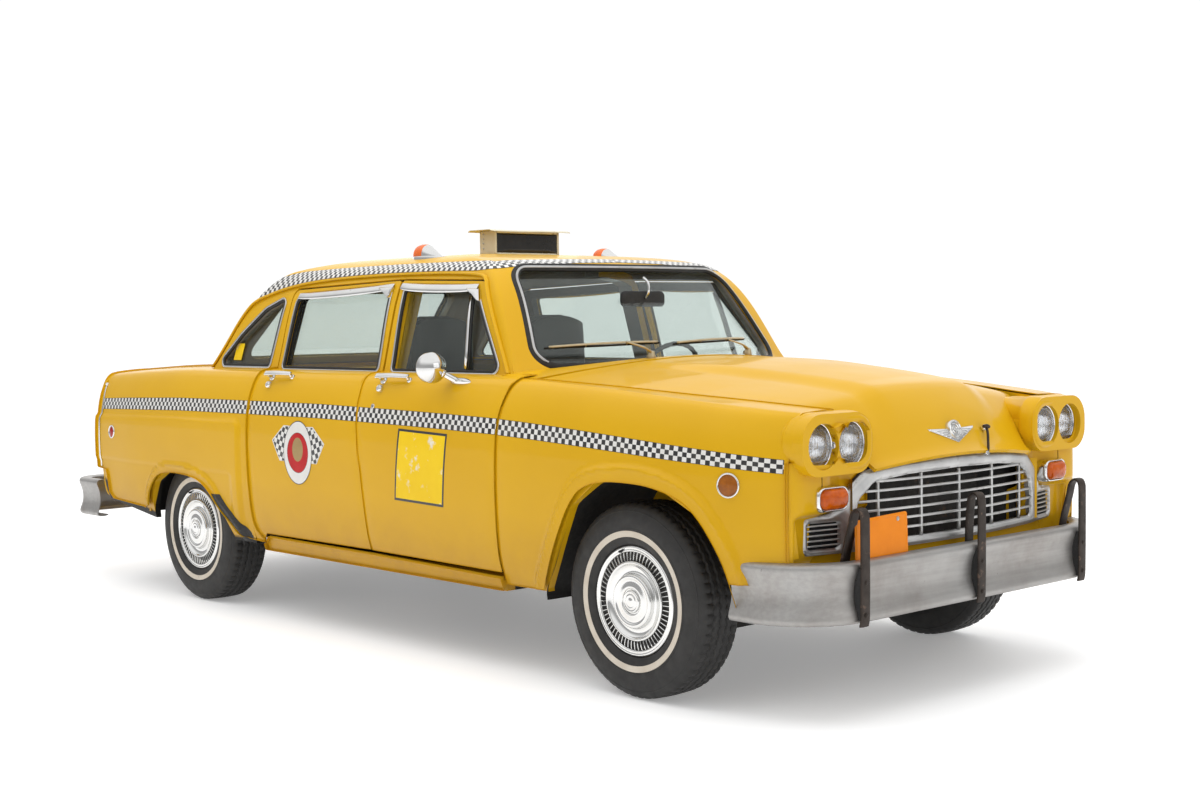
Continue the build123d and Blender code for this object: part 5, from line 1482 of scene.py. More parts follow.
# ============================================================ wheels and tyres
def tyre(name, at, s, body, nodes):
    side_a = [(.1950, .0700), (.1958, .0820), (.1985, .0890), (.2030, .0925), (.2110, .0955), (.2230, .0990), (.2255, .0996), (.2260, .1010), (.2268, .1016), (.2370, .1030),
              (.2472, .1040), (.2480, .1034), (.2485, .1024), (.2540, .1030), (.2546, .1037), (.2562, .1038), (.2568, .1030), (.2700, .1035), (.2830, .1028), (.2950, .1012), (.3060, .0985),
              (.3150, .0952), (.3158, .0958), (.3185, .0950), (.3190, .0938), (.3245, .0910), (.3305, .0872), (.3360, .0824), (.3405, .0768), (.3436, .0715)]
    n = 240
    off = np.linspace(.0690, -.0690, 41)
    prof = np.array(side_a + [(.3465 - .0024 * (o / .069) ** 2, o) for o in off] + [(r, -o) for r, o in reversed(side_a)])
    R = prof[:, 0][:, None].repeat(n, 1)
    O = prof[:, 1][:, None].repeat(n, 1)
    ang = np.linspace(0, 2 * pi, n, endpoint=False)
    A = ang[None, :].repeat(len(prof), 0)
    tread = (np.abs(O) < .0716) & (R > .33)
    zig = .0032 * (2 * np.abs(((A * 60 / (2 * pi)) % 1) * 2 - 1) - 1)
    cutd = np.zeros_like(R)
    for c in (-.0455, -.0165, .0165, .0455):
        cutd = np.maximum(cutd, .0075 * smooth(.0042, .0022, np.abs(O - c - zig)))
    blk = ((A * 60 / (2 * pi) + .25 * np.sign(O)) % 1)
    lat = smooth(.16, .05, np.minimum(blk, 1 - blk))
    cutd = np.maximum(cutd, .0055 * lat * (np.abs(O) > .051))
    cutd = np.maximum(cutd, .0030 * lat * ((np.abs(O) > .020) & (np.abs(O) < .042)))
    R = R - cutd * tread
    # shoulder notches run a little way down the side
    sh = (np.abs(O) >= .0716) & (R > .326)
    R = R - .0030 * lat * sh * smooth(.326, .341, R)
    X = np.stack([at[0] + R * np.cos(A), at[1] + s * O, at[2] + R * np.sin(A)], -1)
    V = X.reshape(-1, 3)
    rws, F, fm = len(prof), [], []
    for i in range(rws - 1):
        white = 1 if .2258 <= prof[i, 0] and prof[i + 1, 0] <= .2481 and prof[i, 1] > 0 else 0
        for j in range(n):
            a, b = i * n + j, i * n + (j + 1) % n
            q = (a, a + n, b + n, b)
            F.append(q if s > 0 else q[::-1]); fm.append(white)
    o = build(name, V, F, None, body, slot="tyre_rubber", mats=[M["tyre"], M["whitewall"]], fmat=fm, sharp=38)
    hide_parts(*nodes)
    return o


def tyre_mat():
    m, nt, b = mat("tyre_rubber")
    n1 = noise(nt, 18, 7, .65)
    r1 = ramp(nt, n1.outputs["Fac"], [(.3, (.011, .0105, .010, 1)), (.75, (.026, .0245, .023, 1))])
    nt.links.new(r1.outputs["Color"], b.inputs["Base Color"])
    rr = ramp(nt, noise(nt, 26, 6, .6).outputs["Fac"], [(.3, g(.52)), (.8, g(.74))])
    nt.links.new(rr.outputs["Color"], b.inputs["Roughness"])
    b1 = bump(nt, b, noise(nt, 420, 3, .5).outputs["Fac"], .18, .0004)
    bump(nt, b, noise(nt, 34, 5, .6).outputs["Fac"], .15, .0012, b1)
    return m


M["tyre"] = tyre_mat()
M["whitewall"] = surface("whitewall_cream", (.56, .49, .40, 1), (.66, .60, .51, 1), 14, (.5, .65), 0, .1, 240, .0004, wear=.62, wear_c=(.40, .34, .27, 1), wscale=24)
M["rim"] = surface("rim_painted_steel", (.09, .085, .08, 1), (.15, .14, .13, 1), 14, (.4, .6), .6, .2, 160, .0006, wear=.60, wear_c=(.13, .07, .035, 1), wscale=20)
M["slot_dark"] = surface("cover_slot_dark", (.012, .011, .010, 1), (.03, .028, .026, 1), 50, (.4, .6), .3, .2, 200, .0005)


def wheel(tag, x, ymid, s, body, node):
    at, ax = (x, s * ymid, .3465), (0, s, 0)
    rim = rev("wheel_rim_" + tag, [(.1955, -.086), (.1990, -.0885), (.1988, -.0905), (.1965, -.0908), (.187, -.084), (.1865, .052), (.150, .060), (.110, .064), (.066, .022), (.024, .020), (.024, .044), (.060, .048), (.104, .072), (.150, .0745),
                                   (.1865, .0755), (.1905, .0870), (.1935, .0885), (.1955, .0860)], at, ax, M["rim"], body, n=96, closed=True, slot="wheel_steel", sharp=35)
    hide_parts(node)
    cover = [(.1938, .0800), (.1942, .0865), (.1925, .0898), (.1895, .0915), (.1862, .0918), (.1842, .0905), (.1820, .0902), (.1785, .0915), (.1752, .0910), (.1735, .0885), (.1725, .0830),
             (.1722, .0770)]
    c1 = rev("c", cover, at, ax, M["chrome"], body, n=120, sharp=50)
    base = rev("c", [(.1722, .0790), (.1560, .0800), (.1400, .0810)], at, ax, M["slot_dark"], body, n=120)
    inner = [(.1412, .0770), (.1408, .0900), (.1398, .0930), (.1370, .0950), (.1335, .0950), (.1308, .0932), (.1285, .0895), (.1240, .0850), (.1150, .0812), (.1050, .0806), (.0985, .0822), (.0962, .0850), (.0954, .0930),
             (.0945, .0985), (.0925, .1015), (.0890, .1030), (.0850, .1034), (.0805, .1026), (.0780, .1005), (.0755, .0992), (.0700, .0994), (.0620, .1012), (.0545, .1030), (.0500, .1036), (.0470, .1028), (.0455, .1000),
             (.0448, .0970), (.0415, .0962), (.0402, .0970), (.0396, .1020), (.0385, .1050), (.0355, .1066), (.0325, .1060), (.0310, .1048), (.0250, .1056), (.0235, .1070), (.0215, .1074), (.0200, .1066), (.0120, .1080), (.0060, .1094), (0, .1098)]
    c2 = rev("c", inner, at, ax, M["chrome"], body, n=120, sharp=50)
    # bright fins between the dark slots
    NF = 60
    V, F = [], []
    for i in range(NF):
        a0 = 2 * pi * i / NF
        for j, (r, w, top) in enumerate(((.1420, .0034, .0905), (.1480, .0042, .0912), (.1600, .0050, .0903), (.1690, .0056, .0890), (.1722, .0058, .0872))):
            sec = [(-w * .5, .0785), (-w * .46, top - .0030), (-w * .10, top), (w * .34, top - .0014), (w * .5, .0785)]
            for t, h in sec:
                aa = a0 + t / r
                V.append((at[0] + r * math.cos(aa), at[1] + s * h, at[2] + r * math.sin(aa)))
        bs = i * 25
        for j in range(4):
            for k in range(4):
                q = (bs + j * 5 + k, bs + j * 5 + k + 1, bs + (j + 1) * 5 + k + 1, bs + (j + 1) * 5 + k)
                F.append(q if s > 0 else q[::-1])
    fins = build("c", V, F, M["chrome"], body, sharp=40)
    cov = join("wheel_cover_" + tag, [c1, base, c2, fins], body)
    # tyre valve
    vx, vz = at[0] + .1795 * math.cos(1.9), at[2] + .1795 * math.sin(1.9)
    rev("tyre_valve_" + tag, [(.0052, -.010), (.0052, .004), (.0046, .0065), (.0044, .0120), (.0036, .0132), (0, .0134)], (vx, at[1] + s * .0905, vz), (0, s, 0), M["rubber"], body, n=20, slot="tyre_rubber", sharp=40)
    tyre("tyre_" + tag, at, s, body, [node.replace("wheel", "tyre")])


for end, x, ym in (("front", 1.780, .8185), ("rear", -1.268, .804)):
    for side_, s in (("left", 1), ("right", -1)):
        wheel(f"{end}_{side_}", x, ym, s, f"{end}_wheel_{side_}", f"{end}_wheel_{side_}")

# ============================================================ inner wings and wheelhouses at the front
for s, tag in ((1, "left"), (-1, "right")):
    arc = [p for p in af if p[1] > .345 or p[0] < 1.6]
    arc = [(x, z) for x, z in [tuple(p) for p in arc] if not (x > 2.1 and z < .46)]
    arc = np.array(arc)
    c0 = np.array([1.80, .42])
    dirs = arc - c0
    dirs /= np.hypot(*dirs.T)[:, None]
    rows = []
    for y, gro in ((.934, -.002), (.925, .004), (.905, .012), (.86, .020), (.76, .026), (.64, .026), (.56, .018), (.530, .004), (.5235, -.010)):
        p = arc + dirs * gro
        yy = np.full(len(p), y)
        if y > .9:
            yy = yy - .020 * smooth(2.0, 2.26, p[:, 0]) - .014 * smooth(.55, .35, p[:, 1])
        rows.append(np.stack([p[:, 0], s * yy, p[:, 1]], 1))
    tun = grid("w", np.array(rows), M["under"], flipf=s > 0)
    wall = [(1.36, .455), (1.655, .455), (1.665, .525), (1.895, .525), (1.905, .455), (2.255, .455)] + [tuple(p) for p in reversed([q + d * -.010 for q, d in zip(arc, dirs) if q[1] > .46])]
    wl = sheet("w", wall, [], .03, lambda Q, s=s: np.stack([Q[:, 0], np.full(len(Q), s * .5235), Q[:, 1]], 1), M["under"], "root", thick=.003, both_sides=False)[0]
    # apron from the wheelhouse up to the hood's edge
    ap = []
    for x in np.linspace(1.24, 2.31, 24):
        w = float(wing_ye(x)); zt = float(wing_ze(x))
        zb = max(float(np.interp(x, arc[:, 0], arc[:, 1])) - .01, .46) if arc[0, 0] < x < arc[-1, 0] else .46
        ap.append([(x, s * .5235, zb), (x, s * .5245, .5 * (zb + .80)), (x, s * .531, min(.82, zt - .20)), (x, s * (w - .045), zt - .075), (x, s * (w - .010), zt - .048), (x, s * (w + .004), zt - .044)])
    apron = grid("w", np.array(ap), M["under"], flipf=s < 0)
    join("inner_wing_" + tag, [tun, wl, apron], "root")

# ============================================================ grille
GR, GX = 2.891, -.383


def gbow(y):
    return GX + np.sqrt(GR ** 2 - np.asarray(y, float) ** 2)


def mirror_half(pts):
    """Half outline with y >= 0, bottom middle first, to a whole ring."""
    return [tuple(p) for p in pts] + [(-p[0],) + tuple(p[1:]) for p in reversed(pts)]


G_OUT = rounded(mirror_half([(.735, .541, .030), (.735, .672, .022), (.640, .6725, .03), (.592, .690, .05), (.556, .752, .06), (.478, .812, .07), (.300, .830, .30), (.0005, .8405)]), 9)
G_IN = rounded(mirror_half([(.520, .572, .020), (.524, .640, .10), (.506, .715, .05), (.432, .772, .06), (.270, .787, .25), (.0005, .7935)]), 9)
G_SIDE = [rounded([(s * .588, .562, .010), (s * .712, .562, .014), (s * .712, .648, .012), (s * .588, .648, .010)], 5) for s in (1, -1)]
G_ALL = [G_OUT, G_IN] + G_SIDE


def grille_fn(Q):
    d = np.full(len(Q), 1e9)
    for l in G_ALL:
        d = np.minimum(d, dist_poly(Q, l))
    t = np.clip(d / .020, 0, 1)
    x = gbow(Q[:, 0]) - .0135 + .0140 * np.sqrt(np.clip(1 - (1 - t) ** 2, 0, 1))
    # the small side wings sit a little lower than the surround
    x = x - .006 * smooth(.552, .600, np.abs(Q[:, 0])) * smooth(.70, .66, Q[:, 1])
    return np.stack([x, Q[:, 0], Q[:, 1]], 1)


gr_sur = sheet("grille_surround", G_OUT, [G_IN] + G_SIDE, .0065, grille_fn, M["alu"], "root", lip=.016, both_sides=False, slot="grille_metal")[0]
bars_ = []
gi = np.array(G_IN)


def span(z):
    """How far the inner opening reaches at a height."""
    best = 0
    for i in range(len(gi)):
        a, b = gi[i], gi[(i + 1) % len(gi)]
        if a[0] > 0 and b[0] > 0 and (a[1] - z) * (b[1] - z) <= 0 and a[1] != b[1]:
            best = max(best, a[0] + (b[0] - a[0]) * (z - a[1]) / (b[1] - a[1]))
    return best


for z in (.6065, .6400, .6735, .7070, .7405, .7720):
    w = span(z) + .004
    ys = np.linspace(-w, w, 31)
    pts = np.stack([gbow(ys) - .0115, ys, np.full(31, z)], 1)
    bars_.append(tube("b", pts, .004, M["alu"], "root", n=12, flat=(.012, .0095), up=(0, 0, 1)))
for y in (0, .21, -.21, .42, -.42):
    zt_ = .7895 if abs(y) < .3 else .770
    pts = [(float(gbow(y)) - .0105, y, z) for z in np.linspace(.571, zt_, 9)]
    bars_.append(tube("b", pts, .004, M["alu"], "root", n=12, flat=(.0105, .0115), up=(1, 0, 0)))
for s in (1, -1):
    for z in (.5735, .5905, .6075, .6245, .6400):
        ys = np.linspace(.583, .717, 9)
        pts = np.stack([gbow(ys) - .0165, s * ys, np.full(9, z)], 1)
        bars_.append(tube("b", pts, .004, M["alu"], "root", n=10, flat=(.013, .0060), up=(0, 0, 1)))
bars_ = join("grille_bars", bars_, "root")
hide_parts("grille")
# dark boxes behind the side louvres
for s, tag in ((1, "left"), (-1, "right")):
    pl = [(.574, .552), (.722, .552), (.722, .656), (.574, .656)]
    rows = []
    for dx, k in ((-.014, 0), (-.022, .004), (-.046, .010), (-.048, .030)):
        ring = rounded([(a + (k if a < .6 else -k), b_ + (k if b_ < .6 else -k), .008) for a, b_ in pl], 4)
        rows.append([(float(gbow(a)) + dx - .004, s * a, b_) for a, b_ in ring])
    grid("louvre_box_" + tag, np.array(rows), M["dark"], closed_v=True, flipf=s > 0, caps=True, slot="grille_metal")

# radiator core, dark, with its tanks
rows = []
for i, z in enumerate(np.linspace(.475, .985, 86)):
    dx = .0035 * (i % 2)
    rows.append([(2.353 + dx + .0012 * math.sin(j * 1.7), y, z) for j, y in enumerate(np.linspace(-.325, .325, 60))])
core = grid("r", np.array(rows), M["chassis"], flipf=True)
tanks = [tube("r", [(2.350, y, z) for y in np.linspace(-.33, .33, 9)], .02, M["chassis"], n=14, flat=(.030, .036), up=(0, 0, 1)) for z in (.985, .475)]
join("radiator_core", [core] + tanks, "root")
NO = rounded([(-.752, .456, .03), (.752, .456, .03), (.758, .545, .05), (.798, .700, .06), (.788, .803, .02), (-.788, .803, .02), (-.798, .700, .06), (-.758, .545, .05)], 6)
NI = rounded([(-.560, .562, .02), (.560, .562, .02), (.545, .690, .02), (.470, .793, .06), (-.470, .793, .06), (-.545, .690, .02)], 6)


def nose_fn(Q):
    x = gbow(Q[:, 0]) - .0275 - .020 * smooth(.500, .456, Q[:, 1]) - .012 * smooth(.60, .70, np.abs(Q[:, 0]))
    return np.stack([x, Q[:, 0], Q[:, 1]], 1)


nps = sheet("nose_panel_skin", NO, [NI], .014, nose_fn, M["paint"], "root", lip=.014, both_sides=False)[0]
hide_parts("nose_panel")
for s, tag in ((1, "left"), (-1, "right")):
    rows = []
    for k in np.linspace(0, 1, 14):
        x = 2.356 + .040 * k + .010 * math.sin(k * pi)
        y = .322 + .190 * k
        rows.append([(x + .0015 * math.sin(z * 90), s * y, z) for z in np.linspace(.462, .806, 16)])
    X = np.array(rows)
    a = grid("b", X, M["dark"], flipf=s < 0)
    b_ = grid("b", X + np.array([-.0022, s * .0005, 0]), M["dark"], flipf=s > 0)
    join("radiator_duct_" + tag, [a, b_], "root")
# body-colour baffles from the nose back to the radiator
for s, tag in ((1, "left"), (-1, "right")):
    rows = []
    for k in np.linspace(0, 1, 12):
        x = 2.462 - .062 * k
        y = .548 - .035 * k - .01 * math.sin(k * pi)
        rows.append([(x, s * y, z) for z in np.linspace(.560, .786, 8)] )
    X = np.array(rows)
    a = grid("b", X, M["paint"], flipf=s < 0)
    b_ = grid("b", X + np.array([0, s * .0025, 0]), M["paint"], flipf=s > 0)
    lipb = tube("b", [(2.400, s * .513, z) for z in np.linspace(.558, .788, 10)], .004, M["paint"], n=10)
    join("nose_baffle_" + tag, [a, b_, lipb], "root")
# rubber seal along the top of the surround, under the hood's edge
ys = np.linspace(-.52, .52, 41)
gt = np.array(G_OUT)
top_z = [float(np.interp(abs(y), [.0, .30, .42, .478, .53], [.8405, .832, .822, .808, .770])) for y in ys]
tube("hood_seal", [(float(gbow(y)) - .020, y, z + .004) for y, z in zip(ys, top_z)], .004, M["rubber"], n=8, slot="bumper_metal")

# ============================================================ turn signals, side markers
for s, tag in ((1, "left"), (-1, "right")):
    hs_rows = [(2.418, .0735, .0420, .030), (2.452, .0745, .0430, .030), (2.466, .0742, .0428, .030), (2.4745, .0728, .0414, .029), (2.4790, .0700, .0388, .028), (2.4800, .0672, .0362, .026), (2.4775, .0650, .0342, .025), (2.470, .0642, .0336, .025)]
    h1 = rr_loft("turn_signal_" + tag, .660, .733, hs_rows, M["chrome"], s=s, tilt=.05, slot="bumper_metal", n=88)
    if s > 0:
        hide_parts("front_lamps")
    lr = [(2.4735, .0640, .0334, .025), (2.4800, .0636, .0330, .025), (2.4862, .0612, .0308, .024), (2.4905, .0560, .0262, .022), (2.4932, .0470, .0195, .018), (2.4945, .0340, .0110, .010), (2.4950, .0180, .0045, .004)]
    X = np.array([rr_ring(x, .660, .733, hw, hh, r, 88, .05) for x, hw, hh, r in lr])
    # fine upright ribs moulded in the lens
    X[:, :, 0] += .0006 * np.sin((X[:, :, 1] - .66) * 2 * pi / .0095)
    X[:, :, 1] *= s
    grid("turn_signal_lens_" + tag, X, M["amber_lens"] if "amber_lens" in M else M["amber"], closed_v=True, caps=True, flipf=s > 0, slot="amber_lens")

for s, tag in ((1, "left"), (-1, "right")):
    for nm, fn, x, z, r, mt, sl in (("front_side_marker", wing_fn, 2.240, .798, .0425, "amber_dark", "amber_lens"), ("rear_side_marker", quarter_fn, -2.004, .792, .034, "red", "red_lens")):
        P, nn = spot(fn, x, z, s)
        if mt not in M:
            M[mt] = surface("amber_marker_lens", (.20, .055, .006, 1), (.36, .11, .010, 1), 30, (.10, .2), 0, .35, 130, .001, coat=.5)
        rev(f"{nm}_ring_{tag}", [(r, -.006), (r, .0035), (r - .0012, .0062), (r - .0035, .0072), (r - .0058, .0062), (r - .0070, .0030)], P, nn, M["chrome"], n=64, slot="bumper_metal", sharp=50)
        ri = r - .0066
        pf = [(0, .0095)] + [(ri * k, .0032 + .0063 * math.cos(k * pi / 2) + (.0005 if i % 2 else 0)) for i, k in enumerate(np.linspace(.12, 1, 15))]
        rev(f"{nm}_lens_{tag}", pf, P, nn, M[mt], n=56, slot=sl, flipf=True, sharp=60)

# ============================================================ bumpers
def swept_bumper(name, x_face, y_flat, r, y_out, x_end, section, sign, material, node):
    """section: closed rows (outward, z); outward 0 is the CAD's outer face."""
    pts, nrm = [], []
    cx = x_face - sign * r
    for k in np.linspace(0, 1, 9):
        pts.append((x_end + (cx - x_end) * k, -(y_out + (y_flat + r - y_out) * k))); nrm.append((0, -1))
    for a in np.linspace(0, pi / 2, 15)[1:-1]:
        pts.append((cx + sign * r * math.sin(a), -(y_flat + r * math.cos(a)))); nrm.append((sign * math.sin(a), -math.cos(a)))
    for k in np.linspace(-1, 1, 41):
        pts.append((x_face, y_flat * k)); nrm.append((sign, 0))
    for p, q in list(zip(pts, nrm))[:22][::-1]:
        pts.append((p[0], -p[1])); nrm.append((q[0], -q[1]))
    S = np.array(section)
    P, Nr = np.array(pts), np.array(nrm)
    X = np.stack([P[:, 0][:, None] + Nr[:, 0][:, None] * S[:, 0][None], P[:, 1][:, None] + Nr[:, 1][:, None] * S[:, 0][None],
                  np.broadcast_to(S[:, 1][None], (len(P), len(S)))], -1)
    # hand-finished casting: the face is never quite true
    wob = .0012 * np.sin(P[:, 1] * 5.1 + 1)[:, None] * np.sin(S[:, 1] * 26)[None]
    X[:, :, 0] += wob * Nr[:, 0][:, None]
    o = grid(name, X, material, closed_v=True, caps=True, slot="bumper_metal", flipf=sign > 0, sharp=48)
    if node:
        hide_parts(node)
    return o


def shell_section(face, t=.0045):
    F_ = np.array(face)
    T = np.gradient(F_, axis=0)
    T /= np.hypot(*T.T)[:, None]
    inn = F_ + np.stack([-T[:, 1], T[:, 0]], 1) * t * (1 if True else -1)
    c = F_.mean(0) - np.array([.02, 0])
    if ((inn - c) ** 2).sum() > ((F_ - c) ** 2).sum():
        inn = F_ - np.stack([-T[:, 1], T[:, 0]], 1) * t
    return list(map(tuple, F_)) + list(map(tuple, inn[::-1]))


FB_FACE = spline([(-.060, .528, 0), (-.045, .5335, 0), (-.028, .535, 0), (-.013, .5325, 0), (-.0035, .5255, 0), (0, .5160, 0), (-.0015, .5035, 0), (-.0075, .4860, 0), (-.0135, .4640, 0), (-.0165, .4400, 0),
                  (-.0165, .4180, 0), (-.0135, .3960, 0), (-.0075, .3760, 0), (-.0020, .3600, 0), (0, .3480, 0), (-.0025, .3385, 0), (-.0100, .3320, 0), (-.0240, .3300, 0), (-.0450, .3310, 0), (-.060, .3350, 0)], 76)[:, :2]
swept_bumper("front_bumper_bar", 2.580, .620, .280, .900, 2.222, shell_section(FB_FACE), 1, M["bumper"], "front_bumper")
RB_FACE = FB_FACE.copy()
RB_FACE[:, 1] = .325 + (RB_FACE[:, 1] - .330) * (.195 / .205)
swept_bumper("rear_bumper_bar", -2.600, .765, .150, .915, -2.280, shell_section(RB_FACE), -1, M["bumper"], "rear_bumper")
M["filler"] = surface("filler_brown", (.10, .055, .025, 1), (.24, .145, .07, 1), 16, (.55, .8), 0, .3, 120, .0012, stretch=(1, .15, 1), wear=.58, wear_c=(.35, .25, .15, 1), wscale=14)
# filler board between the front bumper and the nose
rows = []
for y in np.linspace(-.60, .60, 41):
    xo = 2.580 - .058; xi = max(float(gbow(y)) - .006, 2.36)
    rows.append([(xi, y, .4960), (xi, y, .5060), (xi + .006, y, .5095), (.5 * (xi + xo), y, .5110), (xo - .004, y, .5105), (xo, y, .5070), (xo, y, .4960)])
grid("bumper_filler_board", np.array(rows), M["filler"], closed_v=True, caps=True, slot="bumper_metal", flipf=True, sharp=40)
# irons that carry the bumpers
for s, tag in ((1, "left"), (-1, "right")):
    a = tube("i", [(2.452, s * .435, .395), (2.500, s * .435, .395), (2.548, s * .435, .402), (2.560, s * .435, .402)], .01, M["chassis"], n=14, flat=(.058, .040), up=(0, 0, 1))
    b_ = tube("i", [(-2.302, s * .435, .425), (-2.40, s * .435, .425), (-2.50, s * .435, .424), (-2.582, s * .435, .424)], .01, M["chassis"], n=14, flat=(.058, .042), up=(0, 0, 1))
    join("bumper_iron_" + tag, [a, b_], "root")

# ------------------------------------------------ guards: bent straps, bolted on
def guard(tag, y, mid):
    rear_ = [(2.552, .686), (2.5475, .655), (2.5440, .610), (2.5415, .565), (2.5400, .505)] if mid else [(2.550, .684), (2.542, .650), (2.530, .606), (2.517, .560), (2.505, .505)]
    pts = [(2.5870, .324), (2.5905, .338), (2.5925, .360), (2.5935, .42), (2.5940, .52), (2.5940, .62), (2.5938, .668), (2.5918, .688), (2.5850, .7010), (2.5740, .7055), (2.5628, .7018)] + rear_
    p3 = spline([(x, y, z) for x, z in pts], 90)
    T = np.gradient(p3, axis=0)
    T /= np.linalg.norm(T, axis=1)[:, None]
    upv = np.cross(T, (0, 1, 0))
    st = tube("g", p3, .01, M["strap"], n=16, flat=(.046, .0092), up=upv, sharp=50)
    # packing piece that fills the hollow of the bumper's face
    hol = np.array([p for p in FB_FACE if .338 < p[1] < .512])
    rows = []
    for (d, z) in hol[::3]:
        rows.append([(2.580 + d + .0004, y - .019, z), (2.5885, y - .019, z), (2.5885, y + .019, z), (2.580 + d + .0004, y + .019, z)])
    pk = grid("g", np.array(rows), M["rubber"], closed_v=True, caps=True, sharp=30)
    parts_ = [st, pk]
    for z in (.362, .468):
        parts_.append(bolt("g", (2.5982 - .0004, y, z), (1, 0, 0), .0072, M["strap"], h=.0042))
    foot = [(2.505 if not mid else 2.540, y, .508), (2.530 if not mid else 2.548, y, .5085), (2.556, y, .509)]
    join("bumper_guard_" + tag, parts_, "root")


guard("right", -.649, False)
guard("middle", 0.0, True)
guard("left", .649, False)

# ------------------------------------------------ blank plate with a pressed rim, on two straps
PL = rounded([(-.640, .527, .012), (-.355, .527, .012), (-.366, .674, .012), (-.640, .664, .012)], 7)
PH = [[(y + .0035 * math.cos(a), .652 + .0035 * math.sin(a)) for a in np.linspace(0, 2 * pi, 16, endpoint=False)] for y in (-.585, -.415)]


def plate_fn(Q):
    d = dist_poly(Q, PL)
    x = 2.5462 + .0018 * np.exp(-((d - .0075) / .0028) ** 2) + .0016 * np.sin((Q[:, 0] + .5) * 9) * (Q[:, 1] - .6) / .08
    return np.stack([x, Q[:, 0], Q[:, 1]], 1)


sheet("front_plate_blank", PL, PH, .0060, plate_fn, M["plate"], "root", thick=.0014, both_sides=False, slot="bumper_metal")
pa = []
for y in (-.585, -.415):
    pa.append(bolt("p", (2.5466, y, .652), (1, 0, 0), .0062, M["steelw"], h=.0046))
for y in (-.570, -.450):
    pa.append(tube("p", spline([(2.5395, y, .662), (2.5392, y, .60), (2.5385, y, .54), (2.5350, y, .521), (2.525, y, .516)], 24), .003, M["strap"], n=10, flat=(.026, .004), up=(1, 0, 0)))
join("front_plate_straps", pa, "root")

# ============================================================ belt stripe
belt_low = interp([-2.16, -1.60, -1.12, -.14, .18, .61, 1.09, 1.66, 2.13, 2.43], [.9150, .9160, .9195, .9225, .9190, .9130, .9030, .8890, .8740, .8580])


BELT_FN = {"w": lifted(wing_fn, .0008), "d": lifted(door_fn, .0008), "q": lifted(quarter_fn, .0008)}


def belt(name, x0, x1, fn, bodies):
    def f(s, nm, b):
        n = max(4, int(abs(x1 - x0) / .02))
        xs_ = np.linspace(x0, x1, n)
        hs_ = [-.0016, 0, .019, .038, .057, .0586]
        rows, uvr = [], []
        for h in hs_:
            q = np.stack([xs_, f_s(belt_low(xs_) + .0015 + h)], 1)
            X = fn(q)
            X[:, 1] *= s
            rows.append(X)
            uvr.append(np.stack([xs_ + 3.0, np.full(n, h)], 1))
        return grid(nm, np.array(rows), M["belt_checks"], b, flipf=s < 0, uv=np.array(uvr).reshape(-1, 2))
    pair(name, f, bodies)


la, lb, lc = 1.0945, .1765, -.6800
belt("belt_stripe_wing", la + .006, 2.418, BELT_FN["w"], ROOT2)
belt("belt_stripe_front_door", lb + .005, la - .004, BELT_FN["d"], DOORS_F)
belt("belt_stripe_rear_door", lc + .005, lb - .005, BELT_FN["q"], DOORS_R)
belt("belt_stripe_quarter", -2.158, lc - .005, BELT_FN["q"], ROOT2)

# ============================================================ decals: blank rate card, plain medallion
def decal(name, outline, holes, fn, material, bodies, step=.012, uvs=None):
    return sheet(name, outline, holes, step, fn, material, bodies, thick=0, rim=False, slot="body_paint", uvs=uvs)


M["card_yellow"] = surface("card_yellow", (.80, .52, .008, 1), (.84, .57, .012, 1), 9, (.28, .4), 0, .06, 200, .0003, coat=.3, wear=.60, wear_c=(.74, .70, .60, 1), wscale=16)
M["decal_black"] = surface("decal_black", (.012, .012, .012, 1), (.020, .020, .020, 1), 20, (.3, .45), 0, .05, 200, .0003, coat=.3, wear=.70, wear_c=(.30, .20, .03, 1), wscale=40)
M["decal_white"] = surface("decal_white", (.66, .65, .62, 1), (.74, .73, .70, 1), 12, (.3, .42), 0, .05, 200, .0003, coat=.3)
M["decal_red"] = surface("decal_red", (.42, .010, .012, 1), (.50, .016, .018, 1), 14, (.3, .42), 0, .05, 200, .0003, coat=.3)
M["decal_gold"] = surface("decal_gold", (.30, .19, .055, 1), (.38, .25, .08, 1), 14, (.3, .42), .3, .05, 200, .0003, coat=.3)


def sxy(pts):
    return [(x, float(f_s(z))) for x, z in pts]


d1, d2, d3, d4 = [lifted(door_fn, k) for k in (.0006, .0010, .0014, .0018)]
q1, q2, q3, q4 = [lifted(quarter_fn, k) for k in (.0006, .0010, .0014, .0018)]
cq = [(.447, .612), (.770, .605), (.798, .893), (.477, .902)]
cin = [(.4565, .6220), (.7610, .6150), (.7875, .8835), (.4865, .8920)]
decal("rate_card_border", sxy(cq), [sxy(cin)], d1, M["decal_black"], DOORS_F, .02)
decal("rate_card_blank", sxy(cin), [], d1, M["card_yellow"], DOORS_F, .02)
mc = (-.259, .767)


def ov(hw, hh, n=64, c=mc):
    return [(c[0] + hw * math.cos(a), c[1] + hh * math.sin(a)) for a in np.linspace(0, 2 * pi, n, endpoint=False)]


